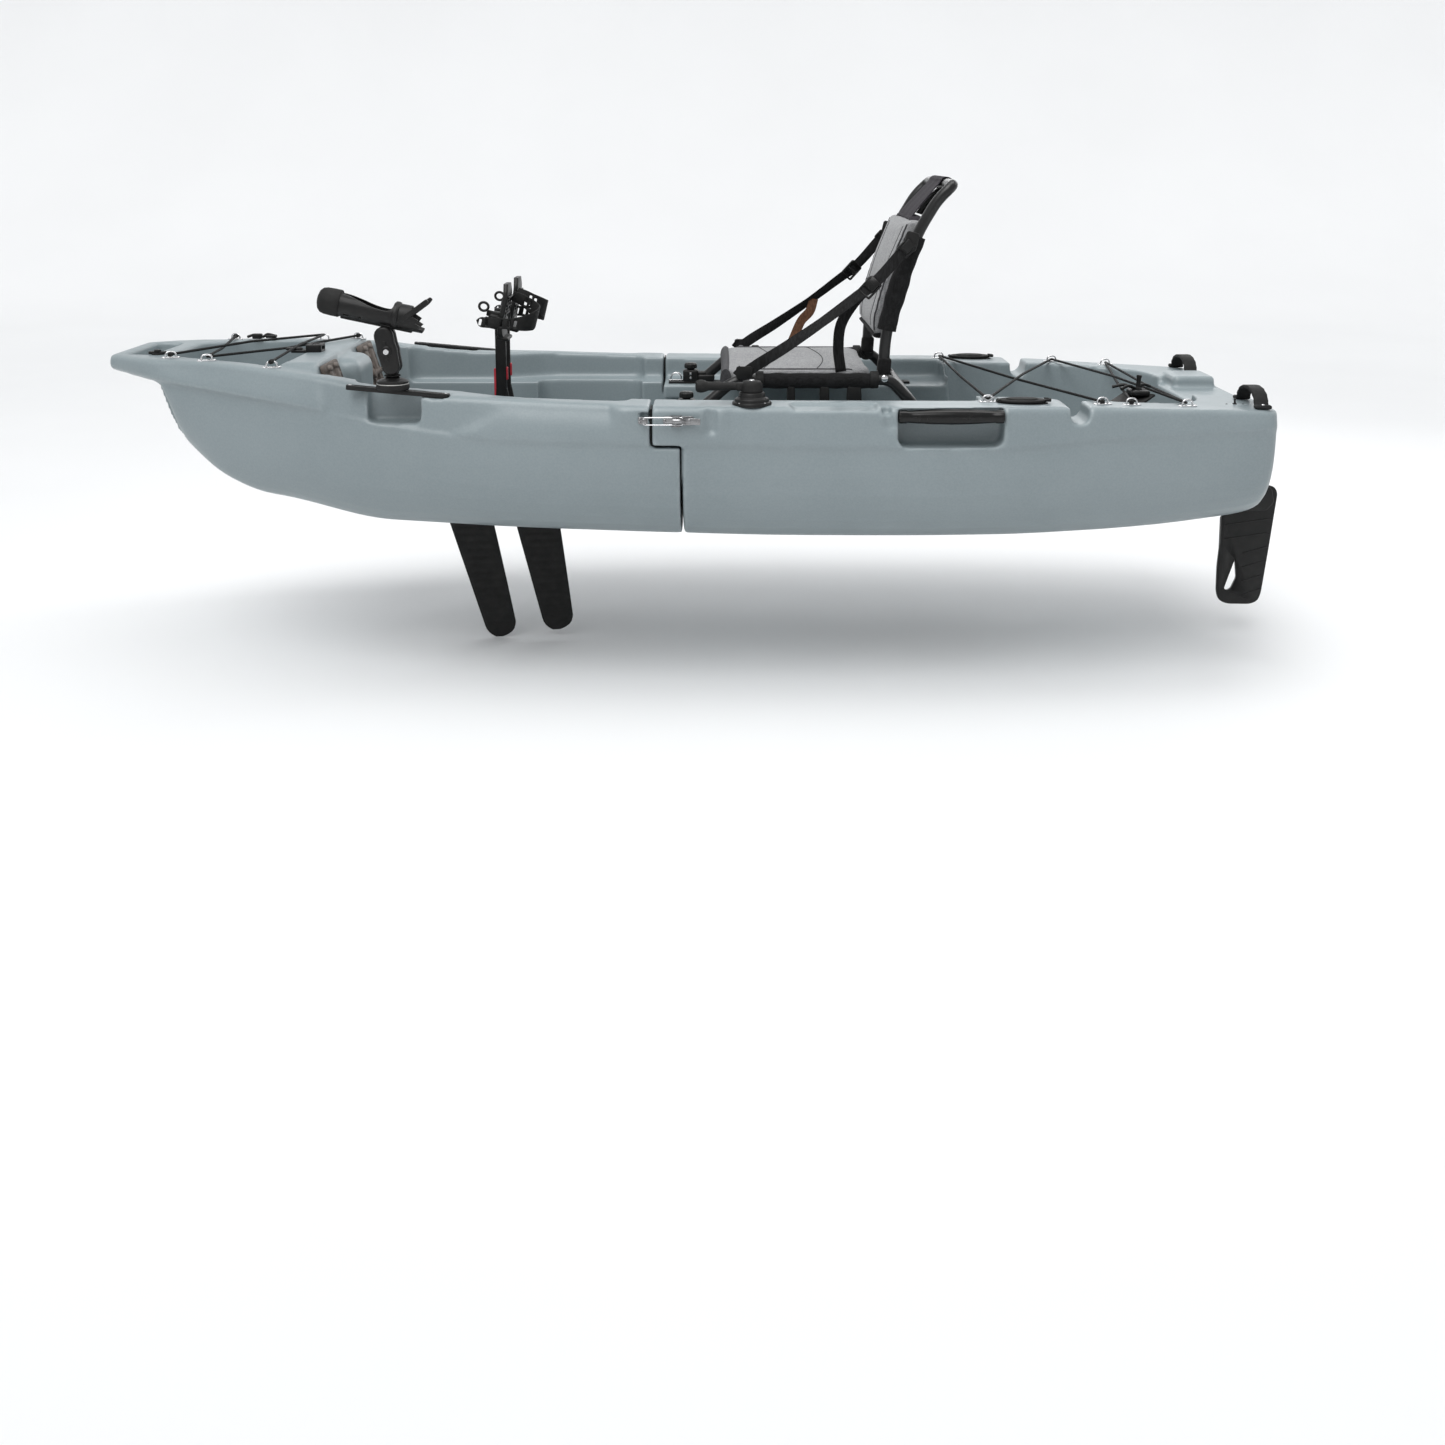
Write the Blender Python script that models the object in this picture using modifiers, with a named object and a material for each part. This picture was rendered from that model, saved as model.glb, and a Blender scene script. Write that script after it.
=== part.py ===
"""Two-module sit-on-top pedal kayak with a fin drive, a framed seat, a rudder and a rod holder.

The bow points to -X and the stern to +X, port is -Y and +Z is up. Z = 0 is the lowest point of
the hull bottom, and Y = 0 is the centre plane. Fins and rudder hang below Z = 0.
"""

import math

import bmesh
import bpy
import numpy as np
from mathutils import Matrix, Vector

# Driving dimensions, in metres
CLEARANCE = 0.0004
STEM_X = -1.337
SEAM_UPPER_X = -0.150
SEAM_LOWER_X = -0.087
SEAM_STEP_Z = 0.232
SEAM_GAP = 0.005
GUNWALE_LIP = 0.010
GUNWALE_ROUND = 0.018
CHANNEL_INNER = 0.120
CHANNEL_OUTER = 0.205
CHANNEL_DEPTH = 0.010
FLOOR_Z = 0.115
LEDGE_Z = 0.270
TANK_FLOOR_Z = 0.165
WELL_HALF = 0.20
LEDGE_HALF = 0.36
RAIL_Y = 0.250
RAIL_TOP = LEDGE_Z + 0.006
TUBE_R = 0.0125
HINGE_X = 0.358
HINGE_Z = 0.351
SEAT_TUBE_Y = 0.245
BACK_TUBE_Y = 0.215
PEDAL_X = -0.518
PEDAL_PIVOT_Z = 0.150
FIN_AXIS_Z = 0.012
STEER_X = 0.062
STEER_Y = 0.425
STEER_DECK_Z = 0.318
FIN_ROOT_Z = -0.012
RUDDER_AXIS_X = 1.226
BLADE_PIVOT = (1.268, 0.022)
ROD_X = -0.700
ROD_Y = 0.400
TRACK_TILT = math.radians(5.2)
TRACK_TOP_Z = 0.3465
TRACK_HALF = 0.012
ROD_BALL_R = 0.0135
ROD_BALL_RISE = 0.0475
LATCH_Y = 0.4752
LATCH_Z = 0.292
LATCH_STANDOFF = 0.009
SOCKET_X = 0.630
SOCKET_Y = 0.385
CAP_Z = 0.3178
BACK_HEIGHTS = (HINGE_Z, 0.445, 0.560, 0.670, 0.740, 0.772)
BACK_PLACES = (HINGE_X, 0.363, 0.392, 0.430, 0.472, 0.505)

# x, half breadth at the gunwale, gunwale height, crease height, bottom height
STATIONS = (
    (-1.398, 0.134, 0.388, 0.354, 0.351),
    (-1.345, 0.171, 0.388, 0.348, 0.344),
    (-1.335, 0.178, 0.388, 0.347, 0.306),
    (-1.312, 0.193, 0.387, 0.344, 0.231),
    (-1.287, 0.206, 0.387, 0.340, 0.181),
    (-1.242, 0.227, 0.386, 0.334, 0.131),
    (-1.192, 0.247, 0.386, 0.327, 0.098),
    (-1.105, 0.281, 0.384, 0.317, 0.064),
    (-1.000, 0.323, 0.378, 0.306, 0.045),
    (-0.870, 0.371, 0.367, 0.292, 0.036),
    (-0.745, 0.408, 0.348, 0.273, 0.030),
    (-0.620, 0.432, 0.338, 0.257, 0.025),
    (-0.450, 0.456, 0.331, 0.239, 0.018),
    (-0.300, 0.467, 0.325, 0.236, 0.013),
    (-0.100, 0.474, 0.320, 0.233, 0.007),
    (0.150, 0.474, 0.319, 0.229, 0.001),
    (0.400, 0.470, 0.318, 0.226, 0.0),
    (0.600, 0.458, 0.317, 0.225, 0.001),
    (0.800, 0.434, 0.312, 0.236, 0.008),
    (0.950, 0.412, 0.305, 0.242, 0.018),
    (1.080, 0.392, 0.300, 0.246, 0.033),
    (1.150, 0.382, 0.297, 0.248, 0.044),
    (1.185, 0.372, 0.295, 0.249, 0.056),
    (1.198, 0.360, 0.294, 0.249, 0.072),
    (1.204, 0.340, 0.292, 0.249, 0.095),
)

MATERIALS = {
    "hull_plastic": ((0.31, 0.38, 0.42), 0.45, 0.0),
    "black_plastic": ((0.012, 0.012, 0.013), 0.45, 0.0),
    "black_rubber": ((0.018, 0.018, 0.019), 0.75, 0.0),
    "foot_pad": ((0.12, 0.10, 0.09), 0.7, 0.0),
    "steel": ((0.6, 0.6, 0.62), 0.25, 1.0),
    "aluminium": ((0.55, 0.56, 0.58), 0.35, 1.0),
    "black_tube": ((0.02, 0.02, 0.022), 0.4, 0.0),
    "grey_fabric": ((0.32, 0.32, 0.33), 0.95, 0.0),
    "webbing": ((0.015, 0.015, 0.016), 0.9, 0.0),
}

PARTS = bpy.data.collections.new("pedal_boat")
CUTTERS = bpy.data.collections.new("cutters")


# Helpers

def clear_scene():
    for obj in list(bpy.data.objects):
        bpy.data.objects.remove(obj, do_unlink=True)
    bpy.context.scene.collection.children.link(PARTS)
    bpy.context.scene.collection.children.link(CUTTERS)


def material(name):
    made = bpy.data.materials.get(name)
    if made:
        return made
    colour, roughness, metallic = MATERIALS[name]
    made = bpy.data.materials.new(name)
    made.use_nodes = True
    shader = made.node_tree.nodes["Principled BSDF"]
    shader.inputs["Base Color"].default_value = (*colour, 1.0)
    shader.inputs["Roughness"].default_value = roughness
    shader.inputs["Metallic"].default_value = metallic
    return made


def add(name, data, finish=None):
    """A new object in the parts collection or, with no finish, a cutter."""
    obj = bpy.data.objects.new(name, data)
    if finish:
        PARTS.objects.link(obj)
        data.materials.append(material(finish))
    else:
        CUTTERS.objects.link(obj)
        obj.hide_render = True
        obj.display_type = "WIRE"
    return obj


def mesh_object(name, bm, finish=None, smooth=False):
    data = bpy.data.meshes.new(name)
    bmesh.ops.recalc_face_normals(bm, faces=bm.faces)
    bm.to_mesh(data)
    bm.free()
    if smooth:
        data.shade_smooth()
        data.set_sharp_from_angle(angle=math.radians(35))
    return add(name, data, finish)


def bevel_edges(obj, width):
    made = obj.modifiers.new("round", "BEVEL")
    made.width = width
    made.segments = 1
    made.limit_method = "ANGLE"
    made.angle_limit = math.radians(40)
    return obj


def box(name, low, high, finish=None, bevel=0.0):
    bm = bmesh.new()
    bmesh.ops.create_cube(bm, size=1.0)
    size = Vector(high) - Vector(low)
    middle = (Vector(high) + Vector(low)) / 2
    bmesh.ops.scale(bm, vec=size, verts=bm.verts)
    bmesh.ops.translate(bm, vec=middle, verts=bm.verts)
    obj = mesh_object(name, bm, finish)
    return bevel_edges(obj, bevel) if bevel else obj


def rod(name, start, end, radius, finish=None, sides=16):
    """A cylinder between two points."""
    start, end = Vector(start), Vector(end)
    along = end - start
    bm = bmesh.new()
    bmesh.ops.create_cone(
        bm, cap_ends=True, segments=sides, radius1=radius, radius2=radius, depth=along.length)
    turn = Vector((0, 0, 1)).rotation_difference(along).to_matrix().to_4x4()
    bmesh.ops.transform(bm, matrix=Matrix.Translation((start + end) / 2) @ turn, verts=bm.verts)
    return mesh_object(name, bm, finish, smooth=True)


def ball(name, centre, radius, finish=None):
    bm = bmesh.new()
    bmesh.ops.create_uvsphere(bm, u_segments=12, v_segments=7, radius=radius)
    bmesh.ops.translate(bm, vec=centre, verts=bm.verts)
    return mesh_object(name, bm, finish, smooth=True)


def as_mesh(obj):
    """Replace a curve object by the welded mesh of it."""
    bpy.context.view_layer.update()
    graph = bpy.context.evaluated_depsgraph_get()
    data = bpy.data.meshes.new_from_object(obj.evaluated_get(graph))
    bm = bmesh.new()
    bm.from_mesh(data)
    bmesh.ops.remove_doubles(bm, verts=bm.verts, dist=0.00001)
    bmesh.ops.recalc_face_normals(bm, faces=bm.faces)
    bm.to_mesh(data)
    bm.free()
    name, place = obj.name, obj.matrix_world.copy()
    home = obj.users_collection[0]
    bpy.data.objects.remove(obj, do_unlink=True)
    made = bpy.data.objects.new(name, data)
    made.matrix_world = place
    home.objects.link(made)
    if home == CUTTERS:
        made.hide_render = True
        made.display_type = "WIRE"
    return made


PLANES = {
    "XY": Matrix.Identity(4),
    "XZ": Matrix(((1, 0, 0, 0), (0, 0, -1, 0), (0, 1, 0, 0), (0, 0, 0, 1))),
    "YZ": Matrix(((0, 0, 1, 0), (1, 0, 0, 0), (0, 1, 0, 0), (0, 0, 0, 1))),
}


def plate(name, outline, low, high, plane="XY", finish=None, holes=()):
    """A flat outline, with holes, that fills low..high across its plane. It comes as a mesh."""
    data = bpy.data.curves.new(name, "CURVE")
    data.dimensions = "2D"
    data.fill_mode = "BOTH"
    data.extrude = (high - low) / 2
    for loop in (outline, *holes):
        spline = data.splines.new("POLY")
        spline.points.add(len(loop) - 1)
        for point, (u, v) in zip(spline.points, loop):
            point.co = (u, v, 0, 1)
        spline.use_cyclic_u = True
    obj = add(name, data, finish)
    middle = (low + high) / 2
    # The XZ plane's own normal is -Y.
    offset = {"XY": (0, 0, middle), "XZ": (0, middle, 0), "YZ": (middle, 0, 0)}[plane]
    obj.matrix_world = Matrix.Translation(offset) @ PLANES[plane]
    return as_mesh(obj)


def tube(name, points, radius, finish, resolution=2):
    data = bpy.data.curves.new(name, "CURVE")
    data.dimensions = "3D"
    data.bevel_depth = radius
    data.bevel_resolution = resolution
    data.use_fill_caps = True
    spline = data.splines.new("POLY")
    spline.points.add(len(points) - 1)
    for point, place in zip(spline.points, points):
        point.co = (*place, 1)
    made = as_mesh(add(name, data, finish))
    made.data.shade_smooth()
    return made


def rounded(corners, radius, steps=3):
    """The path through these corners with each inner corner turned on an arc."""
    path = [Vector(corners[0])]
    for before, corner, after in zip(corners, corners[1:], corners[2:]):
        before, corner, after = Vector(before), Vector(corner), Vector(after)
        inward = (before - corner).normalized()
        outward = (after - corner).normalized()
        reach = min(radius, (before - corner).length * 0.45, (after - corner).length * 0.45)
        start, end = corner + inward * reach, corner + outward * reach
        for step in range(steps + 1):
            t = step / steps
            path.append(start * (1 - t) ** 2 + corner * 2 * t * (1 - t) + end * t ** 2)
    path.append(Vector(corners[-1]))
    return path


def chamfered(low, high, cut):
    """A rectangle's outline with its corners cut off."""
    (x0, y0), (x1, y1) = low, high
    return [(x0 + cut, y0), (x1 - cut, y0), (x1, y0 + cut), (x1, y1 - cut),
            (x1 - cut, y1), (x0 + cut, y1), (x0, y1 - cut), (x0, y0 + cut)]


def boolean(obj, other, operation):
    made = obj.modifiers.new(f"{operation.lower()}_{other.name}", "BOOLEAN")
    made.object = other
    made.operation = operation
    return obj


def cut(obj, *cutters):
    for cutter in cutters:
        boolean(obj, cutter, "DIFFERENCE")
    return obj


def join(obj, *others):
    for other in others:
        boolean(obj, other, "UNION")
    return obj


def turned(name, profile, finish, place, steps=20):
    """A profile of (radius, height) points, top to bottom on its outer side, turned round Z."""
    bm = bmesh.new()
    points = [bm.verts.new((radius, 0, height)) for radius, height in profile]
    for first, second in zip(points, points[1:]):
        bm.edges.new((first, second))
    data = bpy.data.meshes.new(name)
    bm.to_mesh(data)
    bm.free()
    obj = add(name, data, finish)
    screw = obj.modifiers.new("turn", "SCREW")
    screw.steps = screw.render_steps = steps
    screw.use_merge_vertices = True
    screw.merge_threshold = 0.0001
    obj.location = place
    return obj


def both_sides(make):
    """Makes a piece on port (side -1) and on starboard (side +1)."""
    for side, word in ((-1, "left"), (1, "right")):
        make(side, word)


def sided(side, inner, outer):
    """The lowest and the highest Y between two distances from the centre plane, on one side."""
    return (inner, outer) if side > 0 else (-outer, -inner)


def pivot(name, place, pieces, carrier=None):
    """An empty on a joint's axis that carries the pieces which the joint moves."""
    empty = bpy.data.objects.new(f"pivot_{name}", None)
    PARTS.objects.link(empty)
    empty.location = place
    bpy.context.view_layer.update()
    for obj in pieces:
        obj = bpy.data.objects[obj]
        obj.parent = empty
        obj.matrix_parent_inverse = empty.matrix_world.inverted()
    if carrier:
        empty.parent = carrier
        empty.matrix_parent_inverse = carrier.matrix_world.inverted()
    return empty


# Hull

def smooth_table(column, x):
    """A smooth curve through one column of STATIONS, with no overshoot between the stations."""
    xs = np.array([row[0] for row in STATIONS])
    ys = np.array([row[column] for row in STATIONS])
    slope = np.diff(ys) / np.diff(xs)
    tangent = np.zeros(len(xs))
    rising = slope[:-1] * slope[1:] > 0
    tangent[1:-1][rising] = 2 / (1 / slope[:-1][rising] + 1 / slope[1:][rising])
    tangent[0], tangent[-1] = slope[0], slope[-1]
    k = int(np.clip(np.searchsorted(xs, x) - 1, 0, len(xs) - 2))
    width = xs[k + 1] - xs[k]
    t = (x - xs[k]) / width
    return float(
        (1 + 2 * t) * (1 - t) ** 2 * ys[k] + t * (1 - t) ** 2 * width * tangent[k]
        + t * t * (3 - 2 * t) * ys[k + 1] - t * t * (1 - t) * width * tangent[k + 1])


def ramp(x, start, end):
    t = min(max((x - start) / (end - start), 0.0), 1.0)
    return t * t * (3 - 2 * t)


def half_section(x):
    """The hull's section at x, from the keel round the bilge and gunwale to the deck's middle."""
    breadth, sheer, crease, bottom = (smooth_table(column, x) for column in (1, 2, 3, 4))
    width = breadth - GUNWALE_LIP
    spread = 0.35 + 0.65 * ramp(x, STEM_X, -1.12)
    body = ramp(x, STEM_X - 0.008, STEM_X + 0.03)
    keel = (1 - ramp(x, -1.30, -0.77)) * body
    rise = 0.035 * keel
    depth = CHANNEL_DEPTH * (1 - keel) * body
    inner, outer = CHANNEL_INNER * spread, CHANNEL_OUTER * spread
    side = 0.012 * spread
    points = [
        (0.0, bottom), (0.35 * inner, bottom + 0.8 * rise), (inner, bottom + rise),
        (inner + side, bottom + rise + depth), (outer - side, bottom + 0.8 * rise + depth),
        (outer, bottom + 0.4 * rise)]
    base = bottom + 0.4 * rise
    for degrees in (22, 40, 56, 72, 90):
        angle = math.radians(degrees)
        points.append((
            outer + (width - outer) * math.sin(angle) ** 0.75,
            crease - (crease - base) * max(math.cos(angle), 0.0) ** 0.75))
    round_off = 0.3 * GUNWALE_ROUND
    points += [
        (breadth, crease + 0.006), (breadth, sheer - GUNWALE_ROUND),
        (breadth - round_off, sheer - round_off), (breadth - GUNWALE_ROUND, sheer), (0.0, sheer)]
    return points


def hull_loft(name):
    """The closed hull, before its wells are cut: one ring of points at each station."""
    bm = bmesh.new()
    rings = []
    for x in [row[0] for row in STATIONS]:
        half = half_section(x)
        loop = half + [(-y, z) for y, z in reversed(half[1:-1])]
        rings.append([bm.verts.new((x, y, z)) for y, z in loop])
    for first, second in zip(rings, rings[1:]):
        for k in range(len(first)):
            n = (k + 1) % len(first)
            bm.faces.new((first[k], first[n], second[n], second[k]))
    bm.faces.new(rings[0])
    bm.faces.new(rings[-1])
    return mesh_object(name, bm, "hull_plastic", smooth=True)


def well(name, outline, floor, top, draft, finish=None):
    """A block, or with no finish a well's cutter: its outline at the top, drawn in at the floor."""
    bm = bmesh.new()
    middle = Vector((sum(p[0] for p in outline), sum(p[1] for p in outline))) / len(outline)
    lower, upper = [], []
    for place in outline:
        flat = Vector(place)
        inward = (middle - flat).normalized() * draft
        lower.append(bm.verts.new((flat.x + inward.x, flat.y + inward.y, floor)))
        upper.append(bm.verts.new((flat.x, flat.y, top)))
    for k in range(len(outline)):
        n = (k + 1) % len(outline)
        bm.faces.new((lower[k], lower[n], upper[n], upper[k]))
    bm.faces.new(lower[::-1])
    bm.faces.new(upper)
    return mesh_object(name, bm, finish)


def symmetric(half):
    """An outline from its port half, given bow to stern."""
    return [(x, -y) for x, y in half] + list(reversed(half))


def footwell_cutters():
    """The front module's wells: the carry slot, the bow well, the footwell and its wide part."""
    slot = plate("bow_slot_cut", [(-1.368, -0.112), (-1.308, -0.118), (-1.308, 0.118),
                                  (-1.368, 0.112)], 0.325, 0.45)
    bow = well("bow_well_cut", symmetric([(-1.272, 0.115), (-1.20, 0.175), (-1.09, 0.215),
                                          (-0.985, 0.255), (-0.965, 0.235)]), 0.285, 0.45, 0.015)
    narrow = plate("footwell_cut", [(-0.915, 0.45), (-0.815, FLOOR_Z), (-0.02, FLOOR_Z),
                                    (-0.02, 0.45)], -0.30, 0.30, "XZ")
    shelf = well("foot_shelf_cut", chamfered((-0.80, -0.335), (-0.10, 0.335), 0.03), LEDGE_Z - 0.005,
                 0.45, 0.004)
    wide = well("wide_shelf_cut", chamfered((-0.470, -0.395), (-0.205, 0.395), 0.035), LEDGE_Z - 0.005,
                0.45, 0.006)
    low_wide = well("wide_well_cut", chamfered((-0.470, -0.355), (-0.205, 0.355), 0.03), 0.16,
                    0.30, 0.006)
    return [slot, bow, narrow, shelf, wide, low_wide]


def rear_cutters():
    """The rear module's wells: the seat's ledges, the middle well, the tank well and the stern deck."""
    ledge = well("seat_ledge_cut", chamfered((-0.30, -LEDGE_HALF), (0.560, LEDGE_HALF), 0.03),
                 LEDGE_Z, 0.45, 0.004)
    middle = well("seat_well_cut", chamfered((-0.30, -WELL_HALF), (0.700, WELL_HALF), 0.02),
                  FLOOR_Z, 0.45, 0.004)
    tank = well("tank_well_cut", symmetric([(0.545, 0.305), (0.700, 0.315), (0.745, 0.345),
                                            (0.98, 0.325), (1.06, 0.27), (1.085, 0.20)]),
                TANK_FLOOR_Z, 0.45, 0.035)
    stern = well("stern_deck_cut", chamfered((1.02, -0.15), (1.30, 0.15), 0.02), 0.283, 0.45, 0.004)
    return [ledge, middle, tank, stern]


def bottom_cutters():
    """Scuppers, the drive's well and seat, the sensor pocket and the rudder's notch."""
    made = []
    for side in (-1, 1):
        word = "port" if side < 0 else "starboard"
        for number, x in enumerate((0.0105, 0.431, 0.741)):
            place = (x, side * 0.159)
            made.append(rod(f"rear_scupper_cut_{word}_{number}", (*place, -0.05), (*place, 0.25),
                            0.030, sides=16))
        place = (-0.664, side * 0.233)
        made.append(rod(f"front_scupper_cut_{word}", (*place, -0.05), (*place, 0.25), 0.035, sides=16))
    drive = plate("drive_well_cut", DRIVE_OPENING, -0.05, 0.25)
    seat = plate("drive_seat_cut", grown(DRIVE_OCTAGON, CLEARANCE), -0.05, 0.046)
    pocket = plate("sensor_pocket_cut", grown(SENSOR_OUTLINE, CLEARANCE), -0.05, 0.020)
    notch = box("rudder_notch_cut", (1.172, -0.026, -0.05), (1.30, 0.026, 0.20))
    return made + [drive, seat, pocket, notch]


def gunwale_cutters():
    """Recesses in both gunwales, for the tracks, grips, paddle notches and rod sockets."""
    made = []
    for side, word in ((-1, "port"), (1, "starboard")):
        low, high = sided(side, ROD_Y - TRACK_HALF - 0.0005, ROD_Y + TRACK_HALF + 0.0005)
        track = box(f"track_cut_{word}", (-0.1104, low, -0.010), (0.1104, high, 0.03))
        track.matrix_world = track_place()
        recess = plate(f"track_recess_cut_{word}", chamfered((-0.761, 0.272), (-0.645, 0.325), 0.012),
                       *sided(side, 0.385, 0.60), "XZ")
        grip = plate(f"grip_recess_cut_{word}", [(0.369, 0.3145), (0.369, 0.252), (0.385, 0.232),
                                                 (0.576, 0.232), (0.592, 0.252), (0.592, 0.3145)],
                     *sided(side, 0.405, 0.60), "XZ")
        notch = rod(f"paddle_notch_cut_{word}", (0.756, side * 0.30, 0.297), (0.756, side * 0.60, 0.297),
                    0.021, sides=16)
        low, high = sided(side, 0.30, 0.60)
        mouth = box(f"paddle_mouth_cut_{word}", (0.731, low, 0.297), (0.781, high, 0.40))
        socket = rod(f"socket_cut_{word}", (SOCKET_X, side * SOCKET_Y, 0.36),
                     (SOCKET_X + 0.05, side * SOCKET_Y, 0.19), 0.024, sides=16)
        low, high = sided(side, 0.395, 0.45)
        rest = box(f"gunwale_rest_cut_{word}", (0.145, low, 0.311), (0.325, high, 0.40))
        scoop = rod(f"latch_scoop_cut_{word}", (-0.025, side * 0.480, 0.345),
                    (-0.025, side * 0.480, 0.262), 0.016, sides=12)
        made += [track, recess, grip, notch, mouth, socket, rest, scoop]
    return made


def track_place():
    return (Matrix.Translation((-0.690, 0, TRACK_TOP_Z)) @ Matrix.Rotation(TRACK_TILT, 4, "Y"))


def grown(outline, by):
    """An outline with each point moved out from the middle by this much along X and Y."""
    middle_x = sum(p[0] for p in outline) / len(outline)
    return [(x + math.copysign(by, x - middle_x), y + math.copysign(by, y)) for x, y in outline]


DRIVE_OCTAGON = [(-0.772, -0.054), (-0.680, -0.124), (-0.282, -0.124), (-0.198, -0.054),
                 (-0.198, 0.054), (-0.282, 0.124), (-0.680, 0.124), (-0.772, 0.054)]
DRIVE_OPENING = [(-0.704, -0.018), (-0.600, -0.053), (-0.480, -0.053), (-0.379, -0.018),
                 (-0.379, 0.018), (-0.480, 0.053), (-0.600, 0.053), (-0.704, 0.018)]
SENSOR_OUTLINE = [(0.232, -0.045), (0.252, -0.078), (0.300, -0.100), (0.634, -0.100),
                  (0.634, 0.100), (0.300, 0.100), (0.252, 0.078), (0.232, 0.045)]


def make_hull():
    """Two modules that meet at a stepped seam."""
    half_gap = SEAM_GAP / 2
    steps = [(SEAM_LOWER_X, -1.0), (SEAM_LOWER_X, SEAM_STEP_Z), (SEAM_UPPER_X, SEAM_STEP_Z),
             (SEAM_UPPER_X, 1.0)]
    before = [(x - half_gap, z) for x, z in steps] + [(-3.0, 1.0), (-3.0, -1.0)]
    behind = [(x + half_gap, z) for x, z in steps] + [(3.0, 1.0), (3.0, -1.0)]
    behind[1] = (SEAM_LOWER_X + half_gap, SEAM_STEP_Z + SEAM_GAP)
    behind[2] = (SEAM_UPPER_X + half_gap, SEAM_STEP_Z + SEAM_GAP)
    front_side = plate("front_side", before, -1.0, 1.0, "XZ")
    rear_side = plate("rear_side", behind, -1.0, 1.0, "XZ")
    block = box("foot_block", (-0.985, -0.262, 0.20), (-0.80, 0.262, 0.386), bevel=0.012)
    column = box("foot_column", (-0.93, -0.085, 0.09), (-0.838, 0.085, 0.372), bevel=0.02)
    stern_block = box("stern_block", (1.085, 0.065, 0.20), (1.186, 0.185, 0.312), bevel=0.008)
    fore_cuts = footwell_cutters()
    aft_cuts = rear_cutters()
    under_cuts = bottom_cutters()
    side_cuts = gunwale_cutters()
    front = hull_loft("front_hull")
    boolean(front, front_side, "INTERSECT")
    join(front, block)
    cut(front, *fore_cuts)
    join(front, column)
    cut(front, *[c for c in aft_cuts if c.name in ("seat_ledge_cut", "seat_well_cut")])
    cut(front, *[c for c in under_cuts if "front" in c.name or "drive" in c.name])
    cut(front, *[c for c in side_cuts if "track" in c.name])
    rear = hull_loft("rear_hull")
    boolean(rear, rear_side, "INTERSECT")
    cut(rear, *aft_cuts)
    join(rear, stern_block)
    cut(rear, *[c for c in under_cuts if "rear" in c.name or "sensor" in c.name or "rudder" in c.name])
    cut(rear, *[c for c in side_cuts if "track" not in c.name])


# Fixed fittings

def make_bottom_plates():
    """The drive's base plate and the sensor cover, let into the bottom."""
    plate("drive_base_plate", DRIVE_OCTAGON, 0.016, 0.0455, finish="black_plastic",
          holes=(DRIVE_OPENING,))
    slots = [chamfered((x, y - 0.004), (x + 0.034, y + 0.004), 0.002)
             for x in (0.395, 0.525) for y in (-0.033, 0.0, 0.033)]
    plate("sensor_cover", SENSOR_OUTLINE, 0.004, 0.0125, finish="black_plastic", holes=slots)


def make_track(side, word):
    low, high = sided(side, ROD_Y - TRACK_HALF, ROD_Y + TRACK_HALF)
    track = box(f"gear_track_{word}", (-0.110, low, -0.0095), (0.110, high, 0.0), "black_plastic",
                bevel=0.0015)
    track.matrix_world = track_place()


def make_grip(side, word):
    """A carry grip across its recess, thicker in the middle."""
    length = 0.223 - 2 * CLEARANCE
    place = (0.369 + CLEARANCE + length, side * 0.449, 0.2935)
    profile = [(0.0, length), (0.010, length), (0.0135, length - 0.006), (0.0135, length * 0.82),
               (0.0162, length * 0.65), (0.0162, length * 0.35), (0.0135, length * 0.18),
               (0.0135, 0.006), (0.010, 0.0), (0.0, 0.0)]
    grip = turned(f"side_handle_{word}", profile, "black_rubber", place, steps=14)
    grip.rotation_euler = (0, -math.pi / 2, 0)


def make_stern_handle(side, word):
    """A band arched across the corner of the stern deck, with a flat foot at each end."""
    middle, deck = side * 0.275, 0.2975
    angles = [math.pi * k / 8 for k in range(9)]
    outer = [(middle + 0.066 * math.cos(a), deck + 0.006 + 0.036 * math.sin(a)) for a in angles]
    inner = [(middle + 0.056 * math.cos(a), deck + 0.028 * math.sin(a)) for a in angles]
    outline = ([(middle + 0.082, deck), (middle + 0.082, deck + 0.006)] + outer
               + [(middle - 0.082, deck + 0.006), (middle - 0.082, deck)] + inner[::-1])
    plate(f"stern_handle_{word}", outline, 1.150, 1.184, "YZ", finish="black_rubber")


def make_socket_cap(side, word):
    """A lid over the flush rod socket, hinged at its fore end."""
    turns = [math.radians(degrees) for degrees in range(0, 360, 24)]
    outline = [(SOCKET_X + 0.010 + 0.052 * math.cos(a), side * SOCKET_Y + 0.031 * math.sin(a))
               for a in turns]
    lid = plate(f"socket_cap_{word}", outline, CAP_Z, CAP_Z + 0.008, finish="black_rubber")
    bevel_edges(lid, 0.002)


def make_seat_rail(side, word):
    box(f"seat_rail_{word}", (-0.135, side * RAIL_Y - 0.015, LEDGE_Z + CLEARANCE),
        (0.470, side * RAIL_Y + 0.015, RAIL_TOP), "black_plastic")


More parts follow.
